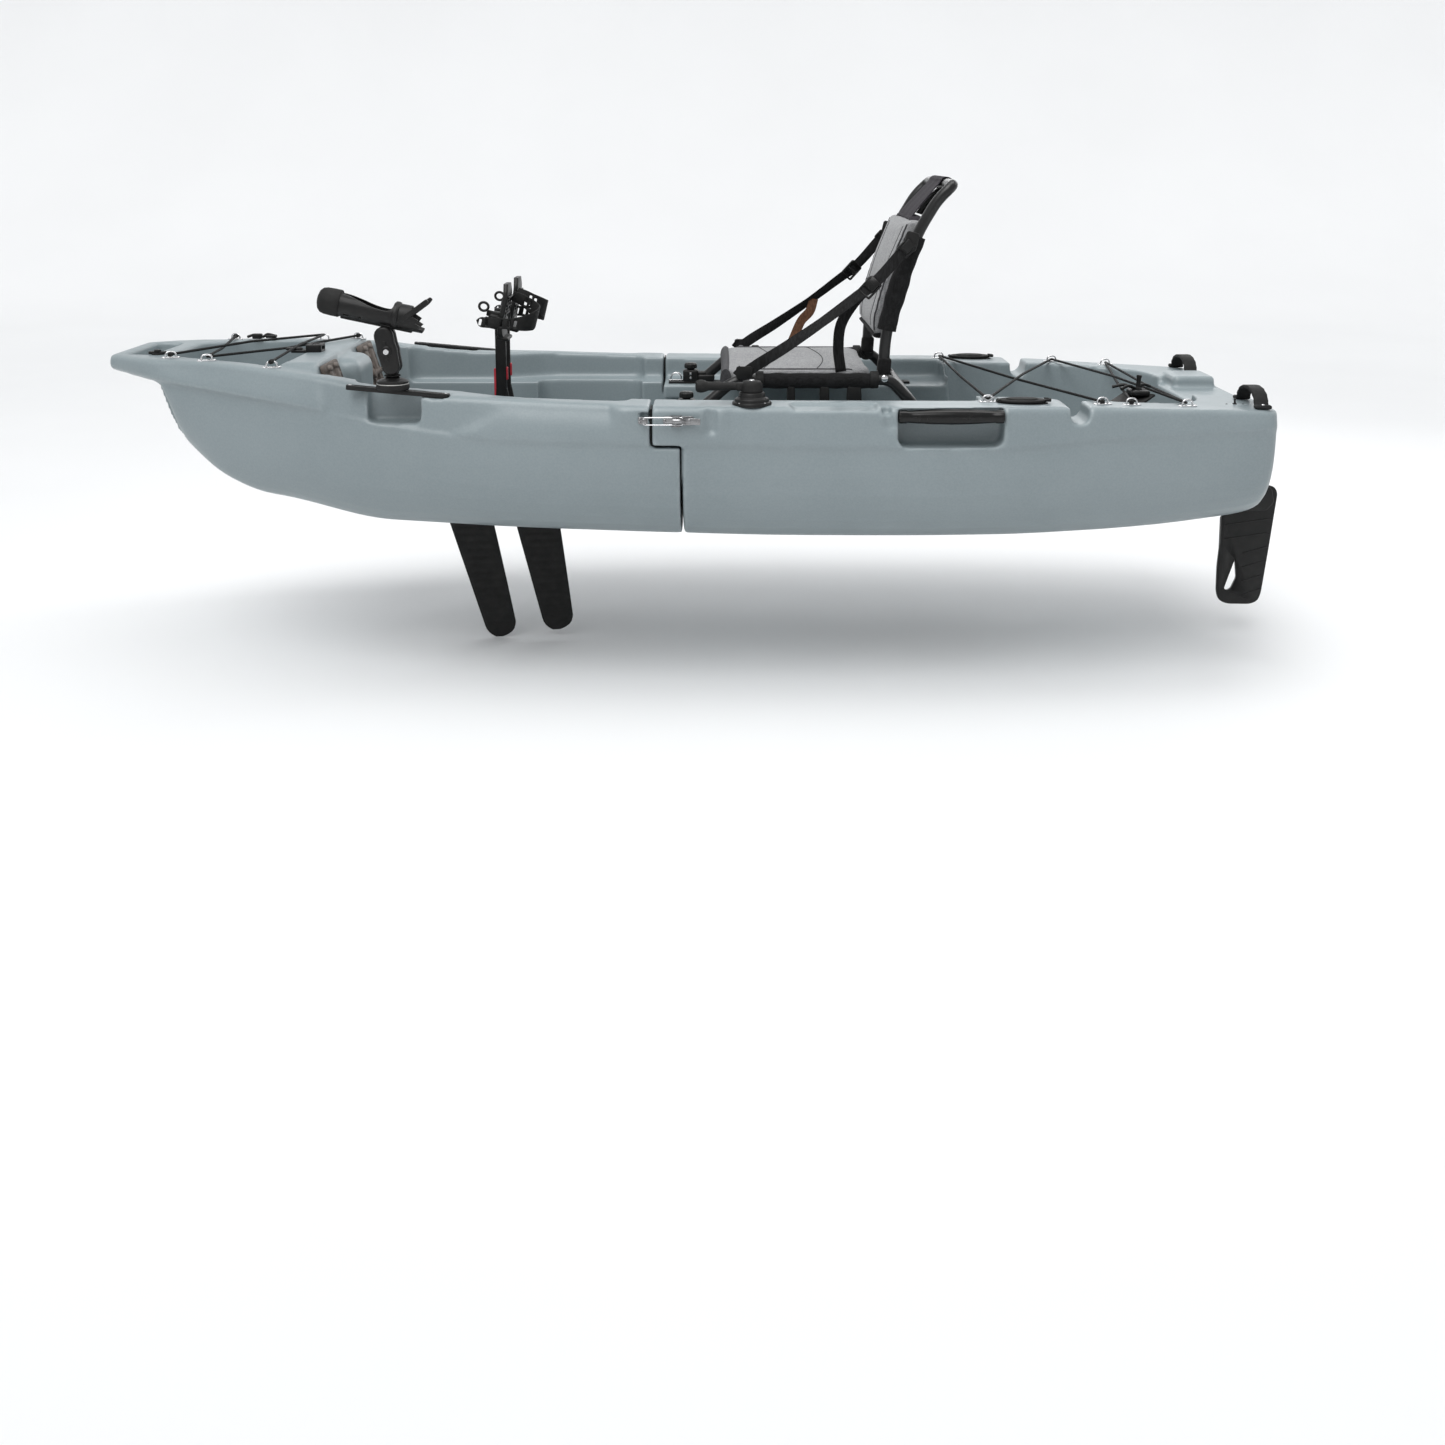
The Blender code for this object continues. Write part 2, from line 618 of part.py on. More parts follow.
def make_foot_rest(side, word):
    """A ribbed pad on the sloped fore wall of the footwell."""
    lean = math.atan2(0.100, 0.450 - FLOOR_Z)
    pad = box(f"foot_rest_{word}", (0, -0.075, 0), (0.010, 0.075, 0.170), "foot_pad", bevel=0.003)
    ribs = [box(f"foot_rest_rib_{word}_{k}", (0.006, y - 0.006, 0.015), (0.016, y + 0.006, 0.155))
            for k, y in enumerate((-0.028, 0.028))]
    place = (Matrix.Translation((wall_x(0.205) + CLEARANCE * 2, side * 0.185, 0.205))
             @ Matrix.Rotation(-lean, 4, "Y"))
    for piece in (pad, *ribs):
        piece.matrix_world = place
    join(pad, *ribs)


def wall_x(z):
    """Where the footwell's sloped fore wall is at height z."""
    return -0.815 - 0.100 * (z - FLOOR_Z) / (0.450 - FLOOR_Z)


def make_bungees():
    """Elastic cords laced between the eyes on both gunwales; one run passes over the other."""
    def laced(name, eyes, lifts):
        corners = [eyes[0]]
        for first, second, lift in zip(eyes, eyes[1:], lifts):
            middle = (Vector(first) + Vector(second)) / 2
            corners += [middle + Vector((0, 0, lift)), second]
        tube(name, rounded(corners, 0.006, 2), 0.003, "black_rubber", resolution=1)
    laced("front_bungee",
          [(-1.245, -0.170, 0.394), (-1.000, 0.262, 0.391), (-0.990, -0.274, 0.3905)],
          (0.006, 0.006))
    laced("front_bungee_cross",
          [(-1.205, 0.200, 0.394), (-1.150, -0.216, 0.394), (-0.905, 0.215, 0.394)],
          (-0.006, -0.006))
    laced("rear_bungee",
          [(0.815, -0.372, 0.3165), (0.560, 0.378, 0.3235), (0.568, -0.378, 0.3235),
           (0.850, 0.368, 0.3155), (1.005, -0.345, 0.309), (0.985, 0.350, 0.310),
           (0.880, -0.362, 0.3145)],
          (-0.004, -0.004, 0.007, 0.007, -0.005, -0.005))


# Latches

def make_latch(side, word):
    """A toggle latch across the seam: the bail hooks over the keeper's post on the front module."""
    def slab(name, x0, x1, y0, y1, z, finish=None):
        low, high = sided(side, LATCH_Y + y0, LATCH_Y + y1)
        return box(name, (x0, low, LATCH_Z - z), (x1, high, LATCH_Z + z), finish)

    keeper = slab(f"latch_keeper_{word}", -0.192, -0.158, -0.0005, 0.0012, 0.010, "steel")
    join(keeper, slab(f"keeper_post_{word}", -0.1635, -0.1585, 0.0, 0.0105, 0.004))
    base = slab(f"latch_base_{word}", -0.128, -0.060, 0.0, 0.0015, 0.0115, "steel")
    lugs = []
    for end in (-1, 1):
        bottom, top = sided(end, 0.0100, 0.0115)
        low, high = sided(side, LATCH_Y + 0.001, LATCH_Y + LATCH_STANDOFF + 0.004)
        lugs.append(box(f"latch_lug_{word}_{end}", (-0.108, low, LATCH_Z + bottom),
                        (-0.086, high, LATCH_Z + top)))
    join(base, *lugs)
    axis = LATCH_Y + LATCH_STANDOFF
    lever = plate(f"latch_lever_{word}",
                  [(-0.104, side * (axis - 0.003)), (-0.104, side * (axis + 0.003)),
                   (-0.050, side * (axis + 0.003)), (-0.036, side * (axis + 0.010)),
                   (-0.035, side * (axis + 0.0075)), (-0.049, side * axis),
                   (-0.074, side * axis), (-0.078, side * (axis - 0.003))],
                  LATCH_Z - 0.0055, LATCH_Z + 0.0055, finish="steel")
    lever.data.shade_flat()
    y = side * axis
    corners = [(-0.084, y, LATCH_Z - 0.0060), (-0.084, y, LATCH_Z - 0.0078),
               (-0.1655, y, LATCH_Z - 0.0078), (-0.1655, y, LATCH_Z + 0.0078),
               (-0.084, y, LATCH_Z + 0.0078), (-0.084, y, LATCH_Z + 0.0060)]
    tube(f"latch_bail_{word}", [Vector(c) for c in corners], 0.0011, "steel", resolution=1)


# Drive

def make_drive():
    housing = box("drive_housing", (-0.690, -0.0165, 0.030), (-0.393, 0.0165, 0.132),
                  "black_plastic", bevel=0.004)
    crown = box("drive_crown", (-0.580, -0.030, 0.060), (-0.455, 0.030, 0.172), bevel=0.006)
    lip = box("drive_lip", (-0.600, -0.050, 0.1165), (-0.480, 0.050, 0.126), bevel=0.002)
    join(housing, crown, lip)
    for axis, x0, x1 in (("front", -0.672, -0.560), ("rear", -0.512, -0.400)):
        make_fin(axis, x0, x1)
    both_sides(make_pedal)


def make_fin(word, x0, x1):
    """A fin, its mast along the leading edge, and the drum that swings them about X."""
    z_tip = -0.318 if word == "front" else -0.300
    lean = 0.094 if word == "front" else 0.073
    tip_x = x0 + 0.012 + lean
    drum = rod(f"fin_mast_{word}", (x0, 0, FIN_AXIS_Z), (x1, 0, FIN_AXIS_Z), 0.0155, "steel", sides=12)
    socket = box(f"fin_socket_{word}", (x0 + 0.002, -0.009, FIN_ROOT_Z + 0.001),
                 (x0 + 0.026, 0.009, FIN_AXIS_Z))
    start = Vector((x0 + 0.012, 0, FIN_ROOT_Z + 0.010))
    end = Vector((tip_x - 0.004, 0, z_tip + 0.022))
    join(drum, socket, rod(f"fin_rod_{word}", start, end, 0.004, sides=10))
    slope = (end.x - start.x) / (end.z - start.z)
    lead = [(start.x + slope * (z - start.z) + 0.0048, z) for z in (FIN_ROOT_Z, z_tip + 0.020)]
    outline = [lead[0], (x1 + 0.004, FIN_ROOT_Z), (tip_x + 0.062, z_tip + 0.030),
               (tip_x + 0.055, z_tip + 0.008), (tip_x + 0.045, z_tip), (tip_x + 0.010, z_tip),
               lead[1]]
    plate(f"fin_{word}", outline, -0.0035, 0.0035, "XZ", finish="black_rubber")


def make_pedal(side, word):
    """A pedal arm on the drive's cross pivot, its foot plate and the strap over the foot."""
    x, y0, y1 = PEDAL_X, 0.0305, 0.0425
    low, high = sided(side, y0, y1)
    arm = box(f"pedal_arm_{word}", (x - 0.0125, low, PEDAL_PIVOT_Z), (x + 0.0125, high, 0.480),
              "black_plastic", bevel=0.002)
    hub = rod(f"pedal_hub_{word}", (x, side * y0, PEDAL_PIVOT_Z), (x, side * y1, PEDAL_PIVOT_Z), 0.020,
              sides=16)
    spindle = rod(f"pedal_spindle_{word}", (x, side * 0.035, 0.466), (x, side * 0.140, 0.466), 0.007,
                  sides=12)
    join(arm, hub, spindle)
    lean = math.radians(14)
    place = Matrix.Translation((x, side * 0.095, 0.466)) @ Matrix.Rotation(lean, 4, "Y")
    foot = box(f"pedal_{word}", (0.0085, -0.048, -0.034), (0.0225, 0.048, 0.090), "black_plastic",
               bevel=0.004)
    foot.matrix_world = place
    loop = [(0.0235, -0.052), (0.050, -0.056), (0.078, -0.044), (0.090, -0.018), (0.090, 0.018),
            (0.078, 0.044), (0.050, 0.056), (0.0235, 0.052)]
    inner = [(0.0235, -0.0495), (0.049, -0.0535), (0.076, -0.042), (0.0875, -0.017), (0.0875, 0.017),
             (0.076, 0.042), (0.049, 0.0535), (0.0235, 0.0495)]
    strap = plate(f"pedal_strap_{word}", loop + inner[::-1], 0.016, 0.042, finish="black_rubber")
    strap.matrix_world = place @ strap.matrix_world


# Seat

def make_seat_base():
    """The bent side tubes with their slanted front legs and the rear bow, and the cushion."""
    foot_z = RAIL_TOP + CLEARANCE + TUBE_R
    half = [(-0.040, -RAIL_Y, foot_z), (0.026, -SEAT_TUBE_Y, 0.3465), (0.372, -SEAT_TUBE_Y, 0.3465),
            (0.425, -SEAT_TUBE_Y, foot_z)]
    corners = half + [(x, -y, z) for x, y, z in reversed(half)]
    tube("seat_frame", rounded(corners, 0.030, 3), TUBE_R, "aluminium", resolution=2)
    outline = symmetric([(0.004, 0.206), (0.024, 0.226), (0.292, 0.226), (0.338, 0.180)])
    cushion = well("seat_cushion", outline, 0.322, 0.352, 0.002, finish="grey_fabric")
    bevel_edges(cushion, 0.006)


def back_line(z):
    """The backrest tube's X at height z: upright at its foot, leaning back and then hooked at the top."""
    return float(np.interp(z, BACK_HEIGHTS, BACK_PLACES))


def make_backrest():
    half = [(x, -BACK_TUBE_Y, z) for x, z in zip(BACK_PLACES, BACK_HEIGHTS)]
    corners = half + [(x, -y, z) for x, y, z in reversed(half)]
    tube("back_frame", rounded(corners, 0.035, 2), TUBE_R, "black_tube", resolution=2)
    face = [(back_line(0.440) - 0.028, 0.440)]
    face += [(back_line(z) - 0.040, z) for z in (0.475, 0.530, 0.600, 0.700)]
    rear = [(back_line(z) + 0.004, z) for z in (0.700, 0.600, 0.510, 0.440)]
    pad = plate("back_pad", face + rear, -0.196, 0.196, "XZ", finish="grey_fabric")
    bevel_edges(pad, 0.005)


def band(start, end, width):
    """The outline of a straight strap between two points."""
    start, end = Vector(start), Vector(end)
    across = (end - start).orthogonal().normalized() * width / 2
    return [tuple(start - across), tuple(end - across), tuple(end + across), tuple(start + across)]


def make_seat_straps(side, word):
    """The strap from the seat's front bolt to the buckle, and from the buckle to the backrest tube."""
    low, high = sided(side, 0.2625, 0.2650)
    lower = plate(f"seat_strap_{word}", band((0.040, 0.366), (0.310, 0.546), 0.024), low, high, "XZ",
                  finish="webbing")
    bolt = rod(f"seat_bolt_{word}", (0.046, side * 0.2585, 0.366), (0.046, side * 0.2640, 0.366),
               0.009, sides=12)
    join(lower, bolt)
    low, high = sided(side, 0.2545, 0.2570)
    upper = plate(f"back_strap_{word}", band((0.325, 0.556), (0.412, 0.655), 0.024), low, high, "XZ",
                  finish="webbing")
    low, high = sided(side, 0.2520, 0.2595)
    buckle = plate(f"strap_buckle_{word}", band((0.312, 0.541), (0.345, 0.579), 0.032), low, high,
                   "XZ")
    z = 0.650
    bolt = rod(f"back_bolt_{word}", (0.408, side * (BACK_TUBE_Y + TUBE_R + 0.001), z),
               (0.408, side * 0.260, z), 0.008, sides=12)
    join(upper, buckle, bolt)


def make_seat_clamp(side, word):
    """The clamp that holds the seat's front foot to its rail, and the knob on it."""
    x, y = -0.080, side * RAIL_Y
    box(f"seat_clamp_{word}", (x - 0.019, y - 0.018, RAIL_TOP + CLEARANCE),
        (x + 0.019, y + 0.018, 0.304), "black_plastic", bevel=0.003)
    knob = [(0.0, 0.321), (0.013, 0.321), (0.016, 0.318), (0.016, 0.309), (0.009, 0.3045),
            (0.0, 0.3045)]
    turned(f"seat_knob_{word}", knob, "black_plastic", (x, y, 0), steps=14)


# Steering and rudder

def make_steering():
    base = [(0.0, 0.346), (0.026, 0.346), (0.029, 0.343), (0.029, 0.334), (0.036, 0.331),
            (0.036, 0.326), (0.0415, 0.323), (0.0415, STEER_DECK_Z + 0.0025), (0.0, STEER_DECK_Z + 0.0025)]
    turned("steering_base", base, "black_plastic", (STEER_X, -STEER_Y, 0), steps=24)
    hub = turned("steering_handle", [(0.0, 0.368), (0.019, 0.368), (0.023, 0.364), (0.023, 0.3465),
                                     (0.0, 0.3465)], "black_plastic", (STEER_X, -STEER_Y, 0), steps=20)
    arm = rod("steering_arm", (STEER_X, -STEER_Y, 0.3575), (-0.052, -STEER_Y, 0.3575), 0.0090, sides=14)
    end = ball("steering_bulb", (-0.046, -STEER_Y, 0.3575), 0.0115)
    join(hub, arm, end)


def make_rudder():
    bracket = box("rudder_bracket", (1.1725, -0.0235, 0.075), (1.214, 0.0235, 0.150), "black_plastic",
                  bevel=0.002)
    pin = rod("rudder_pin", (RUDDER_AXIS_X, 0, 0.0665), (RUDDER_AXIS_X, 0, 0.150), 0.006, sides=12)
    lug = box("rudder_lug", (1.208, -0.012, 0.080), (1.238, 0.012, 0.145), bevel=0.002)
    join(bracket, lug, pin)
    head = box("rudder_head", (1.212, -0.0175, -0.002), (1.318, 0.0175, 0.064), "black_plastic",
               bevel=0.004)
    slit = box("rudder_slit_cut", (1.228, -0.0075, -0.06), (1.40, 0.0075, 0.20))
    bore = rod("rudder_bore_cut", (RUDDER_AXIS_X, 0, 0.05), (RUDDER_AXIS_X, 0, 0.20), 0.0068, sides=12)
    cut(head, slit, bore)
    x, z = BLADE_PIVOT
    crown = [(x + 0.0375 * math.cos(a), z + 0.0375 * math.sin(a))
             for a in (math.radians(d) for d in (100, 130, 160, 190, 215))]
    outline = crown + [(1.196, -0.014), (1.197, -0.080), (1.193, -0.140),
               (1.194, -0.205), (1.202, -0.226), (1.222, -0.235), (1.278, -0.236), (1.296, -0.228),
               (1.304, -0.208), (1.316, -0.100), (1.326, 0.000), (1.330, 0.040), (1.322, 0.056),
               (1.300, 0.0595)]
    slot = [(1.236, -0.120), (1.212, -0.196), (1.220, -0.202), (1.230, -0.198), (1.242, -0.170)]
    plate("rudder_blade", outline, -0.0065, 0.0065, "XZ", finish="black_plastic", holes=(slot,))


# Rod holder

def make_rod_holder():
    z = rod_base_z()
    base = [(0.0, z + 0.022), (0.017, z + 0.022), (0.027, z + 0.016), (0.032, z + 0.010),
            (0.032, z), (0.0, z)]
    turned("rod_base", base, "black_plastic", (ROD_X, -ROD_Y, 0), steps=20)
    stud = rod("rod_ball", (ROD_X, -ROD_Y, z + 0.0225), (ROD_X, -ROD_Y, z + 0.042), 0.010,
               "black_rubber", sides=12)
    lower, upper = arm_ends()
    join(stud, ball("rod_ball_head", (lower[0], -ROD_Y, lower[1]), ROD_BALL_R))
    cheeks = [plate(f"rod_cheek_{y}", arm_outline(), -ROD_Y + y - 0.0045, -ROD_Y + y + 0.0045, "XZ")
              for y in (-0.0185, 0.0185)]
    middle = (Vector(lower) + Vector(upper)) / 2
    web = box("rod_arm", (middle.x - 0.012, -ROD_Y - 0.020, middle.y - 0.007),
              (middle.x + 0.012, -ROD_Y + 0.020, middle.y + 0.007), "black_plastic")
    join(web, *cheeks)
    hole = (middle.x, middle.y)
    knob = rod("rod_arm_knob", (hole[0], -ROD_Y - 0.0235, hole[1]), (hole[0], -ROD_Y - 0.031, hole[1]),
               0.011, "black_plastic", sides=12)
    wing = box("rod_arm_wing", (hole[0] - 0.004, -ROD_Y - 0.042, hole[1] - 0.021),
               (hole[0] + 0.004, -ROD_Y - 0.029, hole[1] + 0.021))
    join(knob, wing)
    make_cradle(upper)


def rod_base_z():
    """The base's underside, just over the track where the base stands."""
    return TRACK_TOP_Z + 0.010 * math.sin(TRACK_TILT) + 0.032 * math.tan(TRACK_TILT) + CLEARANCE


def arm_ends():
    """The clamp arm's two ball centres, in X and Z."""
    z = rod_base_z() + ROD_BALL_RISE
    return (ROD_X, z), (ROD_X - 0.013, z + 0.064)


def arm_outline():
    """The side of the arm: a waisted bar, round over both balls."""
    lower, upper = arm_ends()
    along = (Vector(upper) - Vector(lower)).normalized()
    across = Vector((along.y, -along.x))
    points = []
    for centre, start in ((Vector(upper), 0), (Vector(lower), 180)):
        for degrees in range(start, start + 181, 36):
            angle = math.radians(degrees)
            points.append(tuple(centre + 0.0215 * (across * math.cos(angle) + along * math.sin(angle))))
        sign = -1 if start == 0 else 1
        middle = (Vector(lower) + Vector(upper)) / 2
        points.append(tuple(middle + sign * 0.017 * across))
    return points


def make_cradle(pivot):
    """The rod tube, open on top for most of its length, with its forked mouth and stem."""
    tilt = math.radians(12)
    place = (Matrix.Translation((pivot[0], -ROD_Y, pivot[1])) @ Matrix.Rotation(tilt, 4, "Y"))
    tube_z = 0.047
    body = rod("rod_cradle", (-0.145, 0, tube_z), (0.075, 0, tube_z), 0.0265, "black_plastic", sides=20)
    bore = rod("rod_bore_cut", (-0.132, 0, tube_z), (0.20, 0, tube_z), 0.0225, sides=20)
    top = box("rod_top_cut", (-0.095, -0.05, tube_z + 0.004), (0.020, 0.05, 0.20))
    fork = plate("rod_fork_cut", [(0.048, tube_z - 0.012), (0.20, tube_z - 0.030), (0.20, tube_z + 0.030),
                                  (0.048, tube_z + 0.012)], -0.05, 0.05, "XZ")
    stem = rod("rod_stem", (0, 0, 0.010), (0, 0, tube_z - 0.021), 0.010, sides=12)
    stud = ball("rod_stem_ball", (0, 0, 0), ROD_BALL_R)
    horns = []
    for side in (-1, 1):
        low, high = sided(side, 0.0225, 0.0262)
        horns.append(box(f"rod_horn_{side}", (0.050, low, tube_z + 0.004),
                         (0.074, high, tube_z + 0.050)))
    for piece in (body, bore, top, stem, stud, *horns):
        piece.matrix_world = place
    fork.matrix_world = place @ fork.matrix_world
    cut(body, top, fork)
    join(body, stem, stud, *horns)
    cut(body, bore)


# Joints

def make_pivots():
    """An empty on the axis of each joint, carrying what the joint moves."""
    seat = pivot("seat_slide", (0, 0, RAIL_TOP), [
        "seat_frame", "seat_cushion", "seat_clamp_left", "seat_clamp_right",
        "seat_strap_left", "seat_strap_right"])
    pivot("backrest_fold", (HINGE_X, 0, HINGE_Z),
          ["back_frame", "back_pad", "back_strap_left", "back_strap_right"], seat)
    for x, word in ((-0.616, "front"), (-0.456, "rear")):
        pivot(f"fin_{word}_flap", (x, 0, FIN_AXIS_Z), [f"fin_mast_{word}", f"fin_{word}"])
    head = pivot("rudder_steer", (RUDDER_AXIS_X, 0, 0.10), ["rudder_head"])
    pivot("rudder_lift", (BLADE_PIVOT[0], 0, BLADE_PIVOT[1]), ["rudder_blade"], head)
    pivot("lever_steer", (STEER_X, -STEER_Y, 0.350), ["steering_handle"])
    lower, upper = arm_ends()
    swivel = pivot("rod_swivel", (ROD_X, -ROD_Y, rod_base_z()), ["rod_ball"])
    arm = pivot("rod_tilt", (lower[0], -ROD_Y, lower[1]), ["rod_arm"], swivel)
    pivot("rod_knob_turn", ((lower[0] + upper[0]) / 2, -ROD_Y, (lower[1] + upper[1]) / 2),
          ["rod_arm_knob"], arm)
    pivot("cradle_tilt", (upper[0], -ROD_Y, upper[1]), ["rod_cradle"], arm)
    for side, word in ((-1, "left"), (1, "right")):
        pivot(f"pedal_{word}_swing", (PEDAL_X, side * 0.0365, PEDAL_PIVOT_Z),
              [f"pedal_arm_{word}", f"pedal_{word}", f"pedal_strap_{word}"])
        pivot(f"seat_knob_{word}_turn", (-0.080, side * RAIL_Y, 0.3045), [f"seat_knob_{word}"], seat)
        y = side * (LATCH_Y + LATCH_STANDOFF)
        lever = pivot(f"latch_{word}_open", (-0.098, y, LATCH_Z), [f"latch_lever_{word}"])
        pivot(f"latch_{word}_bail", (-0.084, y, LATCH_Z), [f"latch_bail_{word}"], lever)
        pivot(f"socket_cap_{word}_open", (SOCKET_X - 0.042, side * SOCKET_Y, CAP_Z),
              [f"socket_cap_{word}"])


clear_scene()
make_hull()
make_bottom_plates()
for make in (make_track, make_grip, make_stern_handle, make_socket_cap, make_seat_rail,
             make_foot_rest, make_latch, make_seat_straps, make_seat_clamp):
    both_sides(make)
make_bungees()
make_drive()
make_seat_base()
make_backrest()
make_steering()
make_rudder()
make_rod_holder()
make_pivots()
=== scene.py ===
"""Looks for the two-module pedal kayak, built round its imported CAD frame.

The bow points to -X, port is -Y and +Z is up, in metres. Hull modules are remeshed at high
resolution for soft rotomoulded edges, seat and back pads are simulated cloth, and the small
fittings that have no CAD node of their own are modelled here.
"""

import math

import bmesh
import bpy
import numpy as np
from mathutils import Matrix, Vector


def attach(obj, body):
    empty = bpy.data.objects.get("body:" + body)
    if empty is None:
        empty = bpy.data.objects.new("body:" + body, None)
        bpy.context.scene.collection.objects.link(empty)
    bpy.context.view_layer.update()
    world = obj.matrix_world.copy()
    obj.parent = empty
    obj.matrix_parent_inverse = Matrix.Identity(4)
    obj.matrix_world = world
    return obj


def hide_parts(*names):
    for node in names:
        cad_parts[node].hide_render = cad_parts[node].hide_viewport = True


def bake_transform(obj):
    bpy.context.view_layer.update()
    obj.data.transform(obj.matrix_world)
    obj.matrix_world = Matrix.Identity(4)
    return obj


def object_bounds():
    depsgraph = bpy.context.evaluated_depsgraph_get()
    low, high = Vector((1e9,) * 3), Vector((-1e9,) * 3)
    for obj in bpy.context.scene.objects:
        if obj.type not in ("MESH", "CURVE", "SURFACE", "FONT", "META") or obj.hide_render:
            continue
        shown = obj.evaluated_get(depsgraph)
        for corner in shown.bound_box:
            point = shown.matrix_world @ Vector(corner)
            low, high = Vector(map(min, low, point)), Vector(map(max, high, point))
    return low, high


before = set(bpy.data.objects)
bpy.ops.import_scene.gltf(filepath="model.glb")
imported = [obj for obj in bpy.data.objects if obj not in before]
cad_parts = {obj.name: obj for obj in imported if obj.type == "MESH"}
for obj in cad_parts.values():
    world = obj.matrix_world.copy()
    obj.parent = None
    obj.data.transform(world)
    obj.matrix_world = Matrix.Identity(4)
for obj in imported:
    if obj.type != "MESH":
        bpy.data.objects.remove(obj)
CAD_BOX = [list(corner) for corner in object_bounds()]

# Driving dimensions, as in the CAD
STEM_X = -1.337
SEAM_UPPER_X, SEAM_LOWER_X, SEAM_STEP_Z, SEAM_GAP = -0.150, -0.087, 0.232, 0.005
FLOOR_Z, LEDGE_Z, TANK_FLOOR_Z = 0.115, 0.270, 0.165
RAIL_Y, RAIL_TOP = 0.250, 0.276
TUBE_R = 0.0125
HINGE = Vector((0.358, 0.0, 0.351))
SEAT_TUBE_Y, BACK_TUBE_Y = 0.245, 0.215
PEDAL_X, PEDAL_Z = -0.518, 0.466
STEER_X, STEER_Y = 0.062, 0.425
ROD_X, ROD_Y = -0.700, 0.400
TRACK_TILT, TRACK_TOP_Z = math.radians(5.2), 0.3465
LATCH_Y, LATCH_Z, LATCH_STANDOFF = 0.4752, 0.292, 0.009
SOCKET_X, SOCKET_Y = 0.630, 0.385
VOXEL = 0.005

SIDES = ((-1, "left"), (1, "right"))


# Mesh helpers

def link(name, data):
    obj = bpy.data.objects.new(name, data)
    bpy.context.scene.collection.objects.link(obj)
    return obj


def from_bmesh(name, bm, sharp=35):
    bmesh.ops.recalc_face_normals(bm, faces=bm.faces)
    data = bpy.data.meshes.new(name)
    bm.to_mesh(data)
    bm.free()
    data.shade_smooth()
    data.set_sharp_from_angle(angle=math.radians(sharp))
    return link(name, data)


def modify(obj, kind, **settings):
    made = obj.modifiers.new(kind.lower(), kind)
    for key, value in settings.items():
        setattr(made, key, value)
    return obj


def applied(obj):
    """The object with its modifiers applied to its mesh."""
    bpy.context.view_layer.update()
    graph = bpy.context.evaluated_depsgraph_get()
    data = bpy.data.meshes.new_from_object(obj.evaluated_get(graph))
    obj.modifiers.clear()
    obj.data = data
    return obj


def rounded_edges(obj, width, segments=2, angle=40):
    modify(obj, "BEVEL", width=width, segments=segments, limit_method="ANGLE",
           angle_limit=math.radians(angle))
    applied(obj)
    obj.data.shade_smooth()
    obj.data.set_sharp_from_angle(angle=math.radians(50))
    return obj


def moved(obj, matrix):
    obj.data.transform(matrix)
    return obj


def merged(name, pieces):
    """One object out of several, each a closed shell, keeping their materials."""
    first = pieces[0]
    if len(pieces) > 1:
        with bpy.context.temp_override(active_object=first, selected_editable_objects=pieces):
            bpy.ops.object.join()
    first.name = name
    first.data.name = name
    return first


def cut(obj, *cutters, operation="DIFFERENCE"):
    for cutter in cutters:
        modify(obj, "BOOLEAN", object=cutter, operation=operation)
    applied(obj)
    for cutter in cutters:
        bpy.data.objects.remove(cutter, do_unlink=True)
    return obj


def block(name, low, high, radius=0.0, segments=3):
    bm = bmesh.new()
    bmesh.ops.create_cube(bm, size=1.0)
    bmesh.ops.scale(bm, vec=Vector(high) - Vector(low), verts=bm.verts)
    bmesh.ops.translate(bm, vec=(Vector(high) + Vector(low)) / 2, verts=bm.verts)
    obj = from_bmesh(name, bm)
    return rounded_edges(obj, radius, segments) if radius else obj


def ellipsoid(name, centre, radii, segments=32):
    bm = bmesh.new()
    bmesh.ops.create_uvsphere(bm, u_segments=segments, v_segments=segments // 2, radius=1.0)
    bmesh.ops.scale(bm, vec=radii, verts=bm.verts)
    bmesh.ops.translate(bm, vec=centre, verts=bm.verts)
    return from_bmesh(name, bm)


def rod(name, start, end, radius, far_radius=None, segments=24):
    """A cylinder or a cone between two points."""
    start, end = Vector(start), Vector(end)
    along = end - start
    bm = bmesh.new()
    bmesh.ops.create_cone(bm, cap_ends=True, segments=segments, radius1=radius,
                          radius2=radius if far_radius is None else far_radius,
                          depth=along.length)
    turn = Vector((0, 0, 1)).rotation_difference(along).to_matrix().to_4x4()
    bmesh.ops.transform(bm, matrix=Matrix.Translation((start + end) / 2) @ turn, verts=bm.verts)
    return from_bmesh(name, bm)


PLANES = {
    "XY": lambda u, v, w: (u, v, w),
    "XZ": lambda u, v, w: (u, w, v),
    "YZ": lambda u, v, w: (w, u, v),
}


def plate(name, outline, low, high, plane="XY", bevel=0.0, segments=2):
    """A flat outline that fills low..high across its plane."""
    place = PLANES[plane]
    bm = bmesh.new()
    lower = [bm.verts.new(place(u, v, low)) for u, v in outline]
    upper = [bm.verts.new(place(u, v, high)) for u, v in outline]
    bm.faces.new(lower[::-1])
    bm.faces.new(upper)
    for k in range(len(outline)):
        n = (k + 1) % len(outline)
        bm.faces.new((lower[k], lower[n], upper[n], upper[k]))
    obj = from_bmesh(name, bm)
    return rounded_edges(obj, bevel, segments) if bevel else obj


